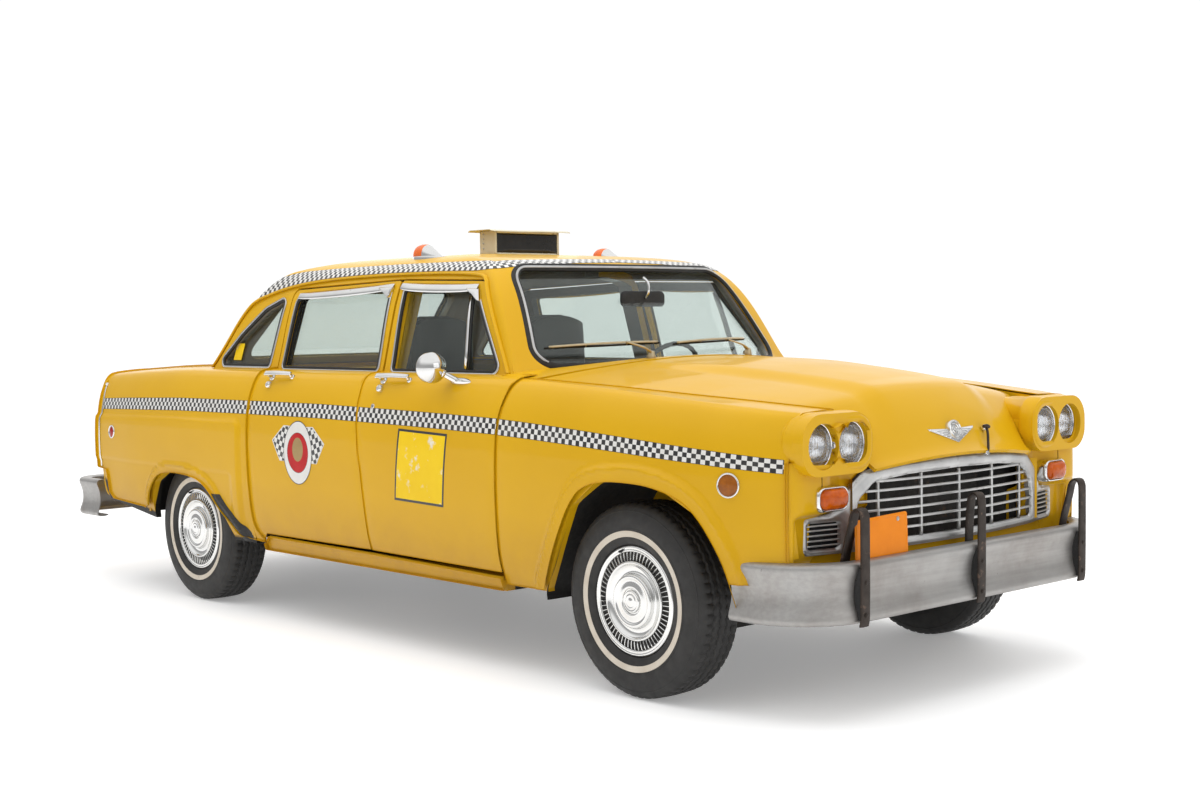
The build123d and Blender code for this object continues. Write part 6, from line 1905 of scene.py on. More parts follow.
# two chequered wings in UV squares of their own, slanted with the wing
m_wing = checks("medallion_checks", 1, 9.0, .0215)
for k, sg in (("a", -1), ("b", 1)):
    wg = [(mc[0] + sg * .030, mc[1] + .110), (mc[0] + sg * .112, mc[1] + .112), (mc[0] + sg * .200, mc[1] + .046), (mc[0] + sg * .142, mc[1] - .040), (mc[0] + sg * .050, mc[1] - .040)]
    c_, s_ = math.cos(.33 * sg), math.sin(.33 * sg)
    zof = interp(SL, PROFILE[:, 1])

    def wuv(Q, c_=c_, s_=s_, sg=sg):
        dx, dz = Q[:, 0] - mc[0], zof(Q[:, 1]) - mc[1]
        return np.stack([2 + dx * c_ + dz * s_, 2 - dx * s_ + dz * c_], 1)
    decal("medallion_wing_edge_" + k, sxy([(mc[0] + (x - mc[0]) * 1.035, mc[1] + (z - mc[1]) * 1.035) for x, z in wg]), [], q1, M["decal_white"], DOORS_R, .012)
    decal("medallion_wing_" + k, sxy(wg), [], q2, m_wing, DOORS_R, .012, uvs=wuv)
decal("medallion_edge", sxy(ov(.1120, .1385)), [sxy(ov(.1085, .1350))], q3, M["decal_black"], DOORS_R, .010)
decal("medallion_field", sxy(ov(.1085, .1350)), [sxy(ov(.083, .088))], q3, M["decal_white"], DOORS_R, .010)
decal("medallion_centre", sxy(ov(.0810, .0860)), [sxy([(mc[0] + .042 * math.cos(a), mc[1] + .014 + .052 * math.sin(a)) for a in np.linspace(0, 2 * pi, 40, endpoint=False)])], q3, M["decal_red"], DOORS_R, .010)
decal("medallion_ring", sxy(ov(.083, .088)), [sxy(ov(.0810, .0860))], q3, M["decal_black"], DOORS_R, .008)
decal("medallion_stone", sxy([(mc[0] + .042 * math.cos(a), mc[1] + .014 + .052 * math.sin(a)) for a in np.linspace(0, 2 * pi, 40, endpoint=False)]), [], q3, M["decal_gold"], DOORS_R, .008)

# ============================================================ door handles, locks, mirrors
def flat_disc(P, nn, prof, material, body, n=32):
    return rev("x", prof, P, nn, material, body, n=n, sharp=45)


def handle(fn, x0, x1, z):
    def f(s, nm, b):
        P0, n0 = spot(fn, x0, z, s)
        P1, n1 = spot(fn, x1, z + .004, s)
        out = []
        for P, nn, r in ((P0, n0, .0165), (P1, n1, .0120)):
            out.append(flat_disc(P, nn, [(r, -.004), (r, .0035), (r * .90, .0060), (r * .70, .0072), (0, .0074)], M["chrome"], b))
        up0, up1 = P0 + n0 * .034, P1 + n1 * .027
        out.append(tube("x", spline([P0 + n0 * .003, P0 + n0 * .018, up0 - n0 * .006 + (P1 - P0) * .02], 10), .0095, M["chrome"], b, n=16, rs=None))
        out.append(tube("x", spline([P1 + n1 * .003, P1 + n1 * .014, up1 - n1 * .004 - (P1 - P0) * .02], 10), .0070, M["chrome"], b, n=14))
        d = (P1 - P0) / np.linalg.norm(P1 - P0)
        a = up0 - d * .016
        c = up1 + d * .014
        path = spline([a, up0, .5 * (up0 + up1) + n0 * .004, up1, c], 30)
        k = np.linspace(0, 1, len(path))
        rs = np.clip(np.minimum(k, 1 - k) * 14, .35, 1) * (1.18 - .35 * k)
        out.append(tube("x", path, .01, M["chrome"], b, n=18, flat=(.0200, .0120), up=n0, rs=rs))
        # push button with its key lock, under the rear end
        P2, n2 = spot(fn, x0 + .004, z - .034, s)
        out.append(flat_disc(P2, n2, [(.0155, -.003), (.0155, .010), (.0140, .0155), (.0105, .0175), (.0098, .0160), (.0060, .0160), (0, .0162)], M["chrome"], b))
        return join(nm, out, b)
    return f


pair("front_door_handle", handle(door_fn, .305, .478, 1.0890), DOORS_F)
pair("rear_door_handle", handle(quarter_fn, -.548, -.388, 1.0870), DOORS_R)


def key_lock(s, nm, b):
    P, nn = spot(door_fn, .283, .985, s)
    a = flat_disc(P, nn, [(.0105, -.002), (.0105, .0025), (.0092, .0040), (.0062, .0036), (.0058, .0022), (0, .0022)], M["chrome"], b, 28)
    t = tube("x", [P + nn * .0026 + np.array([0, 0, -.0034]), P + nn * .0026 + np.array([0, 0, .0034])], .0009, M["dark"], b, n=8)
    return join(nm, [a, t], b)


pair("door_key_lock", key_lock, DOORS_F)


def mirror(s, nm, b):
    top = np.array([.730, s * .978, 1.150])
    ax = np.array([1, s * .12, 0]); ax /= np.linalg.norm(ax)
    shell_ = [(.0500, -.0172), (.0570, -.0190), (.0600, -.0180), (.0612, -.0140), (.0615, -.004), (.0613, .0075), (.0604, .0122), (.0570, .0180), (.0500, .0260), (.0395, .0350), (.0270, .0420), (.0150, .0455), (.0070, .0466), (0, .0468)]
    a = rev("x", shell_, top, ax, M["chrome"], b, n=72, sharp=60)
    gl = rev("x", [(0, -.0176), (.025, -.0177), (.0506, -.0180)], top, ax, M["reflector"], b, n=64)
    # facets pressed in the back of the head
    foot = np.array([.802, s * .880, 1.084])
    d = foot - top
    st = tube("x", spline([top + d * .10 + np.array([.006, 0, 0]), top + d * .40 + np.array([.002, 0, 0]), top + d * .75, foot + d * .04], 26), .0105, M["chrome"], b, n=18,
              rs=np.linspace(1.0, 1.35, 25 if False else len(spline([top + d * .10 + np.array([.006, 0, 0]), top + d * .40 + np.array([.002, 0, 0]), top + d * .75, foot + d * .04], 26))))
    ball = rev("x", [(0, -.015)] + [(.0165 * math.sin(t), -.015 * math.cos(t)) for t in np.linspace(.2, pi - .2, 12)] + [(0, .015)], top + np.array([.028, -s * .030, -.022]), (0, s, 0), M["chrome"], b, n=28)
    # base: a long oval pad on the top of the door
    base = []
    for k, (gs, hgt) in enumerate(((1.06, -.004), (1.06, .002), (1.0, .0065), (.80, .0110), (.50, .0150), (.2, .0165), (.02, .0168))):
        ring = []
        for t in np.linspace(0, 2 * pi, 44, endpoint=False):
            x = .812 + .058 * gs * math.cos(t)
            dv = .024 * gs * math.sin(t)
            P, nn = spot(door_fn, x, 1.0935 + dv * .42, s)
            ring.append(P + nn * hgt)
        base.append(ring)
    bs = grid("x", np.array(base), M["chrome"], b, closed_v=True, flipf=s < 0)
    return join(nm, [a, gl, st, ball, bs], b)


pair("door_mirror", mirror, DOORS_F)

# ============================================================ gravel guard, tail trims
M["ribbed"] = surface("guard_rubber_ribbed", (.012, .012, .012, 1), (.028, .027, .026, 1), 30, (.5, .68), 0, .2, 260, .0005)


def gravel(s, nm, b):
    zs_ = np.linspace(.335, .540, 42)
    arx = interp([p[1] for p in ar if p[0] > -1.05][::-1], [p[0] for p in ar if p[0] > -1.05][::-1])
    rows = []
    for i, z in enumerate(zs_):
        x0 = float(arx(z)) + .001
        w = .098 - .030 * (z - .335) / .205 if z < .52 else .070
        xe = min(x0 + w, -.690 if z > .43 else -.700 + (.43 - z) * .9)
        row = []
        for k in np.linspace(0, 1, 9):
            x = x0 + (xe - x0) * k
            P, nn = spot(quarter_fn, x, z, s)
            rib = .0014 * (1 + math.cos(z * 2 * pi / .0145))
            edge = min(1, min(k, 1 - k) * 10 + .15) * min(1, min(i, 41 - i) * .4 + .1)
            row.append(P + nn * (.0008 + (.0026 + rib) * edge))
        rows.append(row)
    return grid(nm, np.array(rows), M["ribbed"], b, flipf=s < 0)


pair("gravel_guard", gravel, ROOT2)


def tail_trim(s, nm, b):
    pts = []
    for z in np.linspace(.600, 1.045, 30):
        P, nn = spot(quarter_fn, -2.1565 - .012 * smooth(.95, 1.07, z), z, s)
        pts.append(P + nn * .0030)
    a = tube("x", pts, .004, M["chrome"], b, n=12, flat=(.012, .007), up=(0, s, 0))
    P, nn = spot(quarter_fn, -2.165, 1.052, s)
    fin = rev("x", [(.0085, -.010), (.0090, .002), (.0070, .008), (.0030, .0115), (0, .012)], P + nn * .002, nn, M["chrome"], b, n=24)
    return join(nm, [a, fin], b)


pair("tail_edge_trim", tail_trim, ROOT2)


# bright edge up the back of the rear pillar, beside the checks
def pillar_trim(s, nm, b):
    lowp = np.array([side_uv(x, z) for x, z in [(-1.330, 1.126), (-1.296, 1.195), (-1.222, 1.300), (-1.120, 1.402), (-1.045, 1.452)]])
    pts = house_off(.0060)(np.array([tuple(p) for p in spline([tuple(p) for p in lowp], 40)]))
    pts[:, 1] *= s
    return tube(nm, pts, .004, M["chrome"], b, n=10, flat=(.012, .006), up=(0, 0, 1))


pair("rear_pillar_trim", pillar_trim, ROOT2)


# small blank sticker low in the quarter window
def sticker(s, nm, b):
    P = [(-1.098, 1.160), (-1.028, 1.160), (-1.020, 1.238), (-1.088, 1.238)]
    X = []
    for v in np.linspace(0, 1, 6):
        row = []
        for u in np.linspace(0, 1, 6):
            x = (P[0][0] * (1 - u) + P[1][0] * u) * (1 - v) + (P[3][0] * (1 - u) + P[2][0] * u) * v
            z = (P[0][1] * (1 - u) + P[1][1] * u) * (1 - v) + (P[3][1] * (1 - u) + P[2][1] * u) * v
            row.append(on_side([(x, z)], -.0105, s < 0)[0])
        X.append(row)
    return grid(nm, np.array(X), M["card_yellow"], b)


sheet_dummy = sticker(-1, "quarter_window_sticker", "root")

# ============================================================ deeper wedges at the front ends of the visors
def wedge(tri, bulge):
    def f(s, nm, b):
        rows = []
        for k, (gro, out_) in enumerate(((1.0, .001), (1.0, bulge * .55), (.94, bulge * .9), (.80, bulge), (.4, bulge * 1.12), (.02, bulge * 1.15))):
            c = np.mean(tri, axis=0)
            ring = rounded([(c[0] + (p[0] - c[0]) * gro, c[1] + (p[1] - c[1]) * gro, .006 * gro) for p in tri], 4)
            X = on_side([(x, z) for x, z in ring], .0045, s < 0)
            X[:, 1] += s * out_
            rows.append(X)
        return grid(nm, np.array(rows), M["chrome"], b, closed_v=True, flipf=s < 0, sharp=50)
    return f


pair("front_visor_end", wedge([(.600, 1.4655), (.716, 1.4560), (.7420, 1.4010), (.7280, 1.4150), (.690, 1.4450)], .022), DOORS_F)
pair("rear_visor_end", wedge([(.010, 1.4790), (.1180, 1.4760), (.1130, 1.4250), (.1000, 1.4400), (.060, 1.4600)], .022), DOORS_R)

# ============================================================ wipers
for nm, piv, tip0, tip1, mid in (("right", (1.226, -.265, 1.178), (1.150, -.640, 1.212), (1.222, -.130, 1.222), (1.200, -.380, 1.228)),
                                 ("left", (1.226, .300, 1.178), (1.232, -.060, 1.216), (1.165, .440, 1.226), (1.226, .180, 1.226))):
    piv, tip0, tip1, mid = map(np.array, (piv, tip0, tip1, mid))
    out = [rev("w", [(.019, -.004), (.019, .004), (.015, .010), (.011, .020), (.0085, .024), (0, .025)], piv, (.3, 0, 1), M["bronze"], n=32, sharp=45)]
    arm = spline([piv + (0, 0, .018), piv * .62 + mid * .38 + np.array([.014, 0, .020]), mid + (.004, 0, .012)], 26)
    k = np.linspace(0, 1, len(arm))
    out.append(tube("w", arm, .01, M["bronze"], n=12, flat=(.020, .0085), up=(.4, 0, 1), rs=1.15 - .55 * k))
    # blade follows the bowed screen
    ys = np.linspace(tip0[1], tip1[1], 32)
    V_ = V_of(1.205)

    def screen_at(y, z, off):
        q = np.array([front_uv(abs(y), z)])
        P = house_off(off)(q)[0]
        if y < 0:
            P[1] *= -1
        return P
    zb = np.interp(ys, [tip0[1], tip1[1]], [tip0[2], tip1[2]]) if tip0[1] < tip1[1] else None
    bl = np.array([screen_at(y, z, .013) for y, z in zip(ys, zb)])
    out.append(tube("w", bl, .004, M["rubber"], n=8, flat=(.0045, .0130), up=(1, 0, .6)))
    bow_ = np.array([screen_at(y, z, .021 + .008 * math.sin(pi * (i / 31.0))) for i, (y, z) in enumerate(zip(ys, zb))])
    out.append(tube("w", bow_[1:-1], .004, M["bronze"], n=10, flat=(.0095, .0050), up=(1, 0, .8)))
    for i in (2, 10, 21, 29):
        out.append(tube("w", [bl[i], bow_[i]], .0035, M["bronze"], n=8))
    join("wiper_" + nm, out, "root")

# ============================================================ badge and hood catch
def badge_fn(off):
    def f(Q):
        y, z = Q[:, 0], Q[:, 1]
        t = np.interp(-z, -cl[::-1, 1][::-1], TL) if False else np.interp(z, cl[::-1, 1], TL[::-1])
        P = hood_fn(np.stack([t, y], 1))
        P[:, 0] += off
        return P
    return f


bd = [(-.130, .934), (-.128, .928), (-.062, .903), (0, .881), (.062, .903), (.128, .928), (.130, .934), (.082, .931), (.040, .929), (-.040, .929), (-.082, .931)]


def badge_face(Q):
    d = dist_poly(Q, bd)
    P = badge_fn(.0035)(Q)
    P[:, 0] += .0045 * np.clip(d / .010, 0, 1) ** .6
    # shallow ribs along the two wings
    rib = .0010 * np.cos(Q[:, 1] * 2 * pi / .0068) * smooth(.030, .040, np.abs(Q[:, 0]))
    P[:, 0] += rib * smooth(.001, .004, d)
    return P


bdg = sheet("b", bd, [], .0032, badge_face, M["chrome"], "hood", lip=.006, both_sides=False)[0]
bc = badge_fn(.009)(np.array([[0.0, .925]]))[0]
bx = np.array([1, 0, .30]); bx /= np.linalg.norm(bx)
boss = rev("b", [(.0345, -.022), (.0350, .004), (.0335, .0072), (.0300, .0080), (.0285, .0045), (.0250, .0040), (.0236, .0062), (.0215, .0062), (.0200, .0036), (.0150, .0036), (.0135, .0058), (.0110, .0058), (.0098, .0034), (.0045, .0040), (.0030, .0062), (0, .0066)], bc, bx, M["chrome"], "hood", n=56, sharp=45)
join("hood_badge_plain", [bdg, boss], "hood")
lt = [(2.486, .187, .927), (2.4995, .176, .902), (2.512, .160, .872), (2.524, .142, .845), (2.5225, .128, .832)]
l1 = tube("l", spline(lt, 24), .0048, M["strap"], "hood", n=14)
l2 = tube("l", spline([(2.484, .205, .9235), (2.487, .188, .928), (2.485, .171, .9265)], 12), .0065, M["strap"], "hood", n=14)
l3 = rev("l", [(.0125, -.006), (.0125, .003), (.0100, .0060), (0, .0065)], (2.478, .189, .921), (1, 0, .45), M["chrome"], "hood", n=28, sharp=45)
l4 = rev("l", [(.0095, -.004), (.0105, .004), (.0080, .0090), (0, .010)], (2.523, .131, .834), (1, 0, .25), M["chrome"], "hood", n=28, sharp=45)
join("hood_catch", [l1, l2, l3, l4], "hood")
for s, tag in ((1, "left"), (-1, "right")):
    pts = [(float(corner_fn(np.array([[float(np.interp(.700, plan[::-1, 1], PLn[::-1])), z]]))[0, 0]) + .0006, s * .700, z) for z in np.linspace(.690, .806, 14)]
    tube("nose_seam_" + tag, pts, .0012, M["dark"], n=6, slot="body_paint")

# ============================================================ roof sign: cream ends and lid, black blank faces
sg = []
zt0, zt1 = 1.6195, 1.7285
base_z = lambda y: 1.6215 - .010 * (y / .2) ** 2


def panel(name, pts, thick_v, material, nseg=6):
    """Quad sheet with a rounded rim and thickness along thick_v."""
    P = [np.array(p, float) for p in pts]
    rows = []
    tv = np.array(thick_v, float)
    c = sum(P) / 4
    for gro, k in ((.02, 0), (.5, 0), (.985, 0), (.997, .12), (1.0, .3), (1.0, .7), (.997, .88), (.985, 1), (.5, 1), (.02, 1)):
        ring = []
        for i in range(4):
            a, b_ = P[i], P[(i + 1) % 4]
            for t in np.linspace(.03, .97, nseg):
                q = a + (b_ - a) * t
                ring.append(c + (q - c) * gro + tv * k)
        rows.append(ring)
    return grid(name, np.array(rows), material, closed_v=True, flipf=False, sharp=35)


sx0, sx1, sy = .060, .166, .189
for yy in (-1, 1):
    sg.append(panel("s", [(sx0, yy * sy, zt0 - .004), (sx1, yy * sy, zt0 - .004), (sx1, yy * sy, zt1), (sx0, yy * sy, zt1)], (0, -yy * .0035, 0), M["sign_cream"]))
    for z in (1.650, 1.672, 1.694, 1.715):
        sg.append(bolt("s", (.5 * (sx0 + sx1) - .028, yy * sy, z), (0, yy, 0), .0042, M["steelw"], h=.0025))
# corner posts, sill and head rails
for xx in (sx0 + .004, sx1 - .004):
    for yy in (-sy + .005, sy - .005):
        sg.append(tube("s", [(xx, yy, z) for z in np.linspace(zt0 - .002, zt1, 8)], .005, M["sign_cream"], n=10, flat=(.012, .012), up=(1, 0, 0)))
    for z in (zt0 + .006, zt1 - .004):
        sg.append(tube("s", [(xx, y, z) for y in np.linspace(-sy, sy, 14)], .005, M["sign_cream"], n=10, flat=(.0085, .0125), up=(0, 0, 1)))
sgn = join("roof_sign_case", sg, "root")
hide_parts("roof_sign")
for k, xx, dx in (("front", sx1 - .0045, .003), ("rear", sx0 + .0045, -.003)):
    f_ = panel("roof_sign_face_" + k, [(xx, -sy + .008, zt0 + .009), (xx, sy - .008, zt0 + .009), (xx, sy - .008, zt1 - .008), (xx, -sy + .008, zt1 - .008)], (dx, 0, 0), M["sign_black"], 10)
lid_ = []
rows = []
for x in np.linspace(.031, .195, 12):
    lip_ = -.006 * smooth(.012, 0, min(x - .031, .195 - x))
    rows.append([(x, y, 1.7305 + lip_ + .0012 * math.sin(y * 14)) for y in np.linspace(-.234, .234, 20)])
X = np.array(rows)
lid_.append(grid("s", X + np.array([0, 0, .0028]), M["sign_cream"], flipf=True))
lid_.append(grid("s", X, M["sign_cream"]))
per = np.concatenate([X[0], X[:, -1], X[-1][::-1], X[::-1, 0]])
per2 = per + np.array([0, 0, .0028])
lid_.append(grid("s", np.array([per, per2]), M["sign_cream"], closed_v=True))
for yy in (-.150, .150):
    lid_.append(tube("s", [(.113, yy, 1.732), (.113, yy, 1.7355)], .0045, M["steelw"], n=14))
    for d in (-1, 1):
        lid_.append(tube("s", spline([(.113, yy, 1.7345), (.113, yy + d * .006, 1.7352), (.113, yy + d * .0110, 1.7358)], 8), .0020, M["steelw"], n=10))
join("roof_sign_lid", lid_, "root")
sp = [tube("s", [(xx, yy, 1.606), (xx, yy, 1.620)], .008, M["rubber"], n=16) for xx in (.075, .150) for yy in (-.16, .16)]
join("roof_sign_feet", sp, "root")

# ------------------------------------------------ roof lights: amber lens behind, bright tail in front
for s, tag in ((1, "left"), (-1, "right")):
    def at_roof(x):
        q = side_uv(.12, 1.58)
        # height of the roof at |y| .528
        Vs = np.linspace(.5, 1.25, 200)
        best = None
        P = house_off(.003)(np.stack([np.full(200, q[0]), Vs], 1))
        return float(np.interp(.528, P[::-1, 1], P[::-1, 2]))
    zr = at_roof(.12)
    lens = []
    for x, w, h in ((.058, .030, .030), (.060, .034, .042), (.066, .036, .049), (.080, .0375, .0530), (.100, .0385, .0545), (.120, .0380, .0525), (.1345, .0360, .0480), (.140, .030, .040)):
        ring = []
        for t in np.linspace(0, pi, 17):
            ring.append((x, s * (.528 + w * math.cos(t)), zr + .004 + h * math.sin(t) ** .8))
        lens.append(ring)
    L_ = grid("roof_light_lens_" + tag, np.array(lens), M["amber_roof"], flipf=s < 0, caps=True, slot="amber_lens", sharp=60)
    hood_ = []
    for x, w, h in ((.126, .0392, .0512), (.131, .0398, .0515), (.137, .0385, .0480), (.155, .0340, .0370), (.180, .0265, .0235), (.205, .0175, .0120), (.225, .0080, .0045), (.232, .003, .002)):
        ring = []
        for t in np.linspace(0, pi, 17):
            ring.append((x, s * (.528 + w * math.cos(t)), zr + .003 - .10 * max(0, x - .12) * .35 + h * math.sin(t) ** .8))
        hood_.append(ring)
    a = grid("x", np.array(hood_), M["chrome"], flipf=s < 0, caps=True, sharp=60)
    ft = []
    for g_, z in ((1.0, -.010), (1.0, .002), (.96, .0045), (.85, .0055), (.3, .0055)):
        ft.append([(.142 + .102 * g_ * math.cos(t), s * (.528 + .049 * g_ * math.sin(t) * (1 - .25 * math.cos(t))), zr + z - .03 * max(0, .102 * g_ * math.cos(t) - .03)) for t in np.linspace(0, 2 * pi, 48, endpoint=False)])
    b_ = grid("x", np.array(ft), M["chrome"], closed_v=True, flipf=s < 0)
    hl = join("roof_light_base_" + tag, [a, b_], "root")
    if s > 0:
        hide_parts("roof_lights")

# ============================================================ seats: crowned, pleated pads with piping
def vinyl_mat():
    m, nt, b = mat("seat_vinyl_black")
    n1 = noise(nt, 7, 6, .6)
    r1 = ramp(nt, n1.outputs["Fac"], [(.3, (.016, .016, .016, 1)), (.75, (.034, .033, .032, 1))])
    nt.links.new(r1.outputs["Color"], b.inputs["Base Color"])
    v = node(nt, "TexVoronoi", Scale=620)
    tc = node(nt, "TexCoord")
    nt.links.new(tc.outputs["Object"], v.inputs["Vector"])
    rr = ramp(nt, noise(nt, 14, 5, .6).outputs["Fac"], [(.3, g(.34)), (.8, g(.50))])
    nt.links.new(rr.outputs["Color"], b.inputs["Roughness"])
    b1 = bump(nt, b, v.outputs["Distance"], .35, .0006)
    bump(nt, b, noise(nt, 26, 5, .6).outputs["Fac"], .25, .003, b1)
    return m


M["seat"] = vinyl_mat()


def pad(name, y0, y1, path, width_top, thick, pleats, crown=.022, nodes=None, ends=.03, corner=.0):
    """Pad along a centre path in x and z: rows across the car, pleats along it."""
    P = spline([(x, 0, z) for x, z in path], 38)[:, [0, 2]]
    T = np.gradient(P, axis=0); T /= np.hypot(*T.T)[:, None]
    Nn = np.stack([-T[:, 1], T[:, 0]], 1)
    K = len(P)
    W = y1 - y0
    nu = max(40, int(W / .009))
    U = np.linspace(0, 1, nu)
    t_ = np.linspace(0, 1, K)
    edge_t = np.clip(np.minimum(t_, 1 - t_) / .10, 0, 1)
    prof_t = np.sqrt(1 - (1 - edge_t) ** 2)
    top, bot = [], []
    for i, u in enumerate(U):
        eu = min(1, min(u, 1 - u) * W / .055)
        pu = math.sqrt(max(0, 1 - (1 - eu) ** 2))
        y = y0 + W * u
        ph = (u * pleats) % 1
        ditch = -.0075 * math.exp(-(min(ph, 1 - ph) / .085) ** 2) * (1 if .5 / pleats < u < 1 - .5 / pleats else 0)
        puff = .0045 * math.sin(pi * ph)
        field = np.clip(np.minimum(t_ - .10, .90 - t_) / .05, 0, 1)
        cross = -.006 * np.exp(-((t_ - .11) / .012) ** 2) - .006 * np.exp(-((t_ - .89) / .012) ** 2)
        h = thick * .5 * prof_t * (.30 + .70 * pu) + (crown * np.sin(pi * t_) * math.sin(pi * u) ** .5 + (ditch + puff) * field + cross) * pu
        draw = ends * .35 * math.sin(pi * u) * 0
        sy_ = y
        lean = corner * (1 - math.sqrt(max(0, 1 - (1 - min(1, min(u, 1 - u) * W / max(corner * 2.2, 1e-6))) ** 2))) if corner else 0
        Pt = P.copy()
        if corner:
            k = np.clip((t_ - .72) / .28, 0, 1)
            Pt = P - T * (lean * k)[:, None]
        A = Pt + Nn * h[:, None]
        B = Pt - Nn * (thick * .5 * prof_t * (.55 + .45 * pu))[:, None]
        top.append(np.stack([A[:, 0], np.full(K, sy_), A[:, 1]], 1))
        bot.append(np.stack([B[:, 0], np.full(K, sy_), B[:, 1]], 1))
    X = np.concatenate([np.array(top), np.array(bot)[:, ::-1]], 1)
    o = grid(name, X, M["seat"], closed_v=True, caps=True, flipf=True, slot="seat_vinyl")
    # piping round the face
    ring = [tuple(p) for p in X[1:-1, 3]] + [tuple(p) for p in X[-2, 4:K - 3]] + [tuple(p) for p in X[1:-1, K - 4][::-1]] + [tuple(p) for p in X[1, 4:K - 3][::-1]]
    c = np.array(ring).mean(0)
    pp = tube(name + "_piping", np.array(ring), .0042, M["seat"], n=8, closed=True, slot="seat_vinyl")
    if nodes:
        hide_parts(*nodes)
    return o


pad("front_seat_cushion", -.650, .650, [(.045, .600), (.18, .596), (.36, .600), (.50, .604), (.548, .585)], 1, .105, 14, nodes=["front_seat"])
pad("front_seat_back", -.650, .650, [(.035, .640), (.005, .760), (-.040, .900), (-.085, 1.020), (-.105, 1.066)], 1, .105, 14, crown=.018)
for tag, y0, y1 in (("right", -.445, -.110), ("left", .250, .585)):
    pad("front_high_back_" + tag, y0, y1, [(-.120, 1.030), (-.124, 1.12), (-.130, 1.22), (-.137, 1.31), (-.140, 1.352)], 1, .078, 4, crown=.008, corner=.075)
pad("rear_seat_cushion", -.636, .636, [(-.835, .590), (-.70, .590), (-.55, .596), (-.42, .602), (-.372, .580)], 1, .100, 13, nodes=["rear_seat"])
pad("rear_seat_back", -.636, .636, [(-.872, .640), (-.900, .760), (-.935, .900), (-.965, 1.010), (-.985, 1.058)], 1, .100, 13, crown=.018)
# bases under the pads, and the shells behind the backs
M["seat_base"] = surface("seat_base_board", (.022, .021, .020, 1), (.045, .042, .038, 1), 12, (.55, .75), 0, .3, 200, .0008)
fb_ = []
rows = []
for y in (-.630, -.625, -.3, 0, .3, .625, .630):
    k = 0 if abs(y) > .627 else 1
    rows.append([(.500 - .004 * (1 - k), y, .372), (.520, y, .46), (.520, y, .545), (.02, y, .548), (-.045, y, .548), (-.060, y, .45), (-.03, y, .372)])
fb_.append(grid("x", np.array(rows), M["seat_base"], closed_v=True, caps=True, sharp=30, flipf=True))
rows = []
for y in (-.642, -.636, -.4, 0, .4, .636, .642):
    rows.append([(-.070, y, .56), (-.104, y, .70), (-.140, y, .90), (-.172, y, 1.070), (-.150, y, 1.082), (-.118, y, 1.070), (-.085, y, .90), (-.045, y, .70), (-.020, y, .56)])
fb_.append(grid("x", np.array(rows), M["seat_base"], closed_v=True, caps=True, sharp=40))
for y0, y1 in ((-.440, -.115), (.255, .580)):
    rows = []
    for y in np.linspace(y0, y1, 9):
        e = min(y - y0, y1 - y)
        zt = 1.352 - .085 * (1 - math.sqrt(max(0, 1 - (1 - min(1, e / .085)) ** 2)))
        rows.append([(-.150, y, 1.03), (-.176, y, 1.03), (-.181, y, 1.15), (-.182, y, zt - .02), (-.176, y, zt), (-.160, y, zt - .006), (-.155, y, 1.15)])
    fb_.append(grid("x", np.array(rows), M["seat_base"], closed_v=True, caps=True, sharp=40))
join("front_seat_frame", fb_, "root")
rows = []
for y in (-.620, -.614, -.3, 0, .3, .614, .620):
    rows.append([(-.385, y, .372), (-.385, y, .545), (-.83, y, .552), (-.905, y, .60), (-1.000, y, 1.050), (-1.035, y, 1.050), (-1.035, y, .60), (-.90, y, .585), (-.665, y, .375)])
grid("rear_seat_frame", np.array(rows), M["seat_base"], closed_v=True, caps=True, sharp=30, flipf=True, slot="seat_vinyl")

# ============================================================ steering wheel, interior mirror, dash trim
cx, cy, cz = .646, .380, 1.030
ca, sa = math.cos(math.radians(25)), math.sin(math.radians(25))
axw = np.array([-ca, 0, sa])
e1 = np.array([0, 1, 0]); e2 = np.cross(axw, e1)
C0 = np.array([cx, cy, cz])
ang = np.linspace(0, 2 * pi, 97)[:-1]
rim_pts = C0 + .205 * (np.cos(ang)[:, None] * e1 + np.sin(ang)[:, None] * e2)
n_ = 14
rows = []
for i, a in enumerate(ang):
    rad = np.cos(a) * e1 + np.sin(a) * e2
    grip = .0105 + .0009 * math.cos(a * 30)
    rows.append([rim_pts[i] + grip * (math.cos(t) * rad + math.sin(t) * axw) for t in np.linspace(0, 2 * pi, n_, endpoint=False)])
sw = [grid("w", np.array(rows), M["wheelrim"] if "wheelrim" in M else M["vinyl"], "steering_wheel", closed_u=True, closed_v=True)]
for a in (math.radians(200), math.radians(340)):
    d = math.cos(a) * e1 + math.sin(a) * e2
    pts = [C0 + d * r - axw * .004 * math.sin(pi * (r - .03) / .17) for r in np.linspace(.028, .198, 12)]
    sw.append(tube("w", pts, .01, M["vinyl"], "steering_wheel", n=14, flat=(.026, .011), up=axw))
sw.append(rev("w", [(.0440, -.018), (.0445, .004), (.0400, .0110), (.0300, .0150), (.0285, .0130), (.0180, .0160), (0, .0175)], C0, axw, M["vinyl"], "steering_wheel", n=48, sharp=45))
horn = C0 + .120 * (np.cos(np.linspace(math.radians(205), math.radians(335), 28))[:, None] * e1 + np.sin(np.linspace(math.radians(205), math.radians(335), 28))[:, None] * e2) + axw * .006
sw.append(tube("w", horn, .0042, M["chrome"], "steering_wheel", n=10))
swo = join("steering_wheel_rim", sw, "steering_wheel")
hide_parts("steering_wheel")
mp_ = rounded([(-.125, -.033, .022), (.125, -.033, .022), (.125, .033, .026), (-.125, .033, .026)], 6)
rows = []
for dx, g_ in ((.012, .02), (.012, .7), (.010, .93), (.004, 1.0), (-.006, 1.0), (-.0085, .975), (-.0085, .93), (-.0075, .91), (-.0075, .02)):
    rows.append([(.930 + dx, -.02 + y * g_, 1.412 + z * g_) for y, z in mp_])
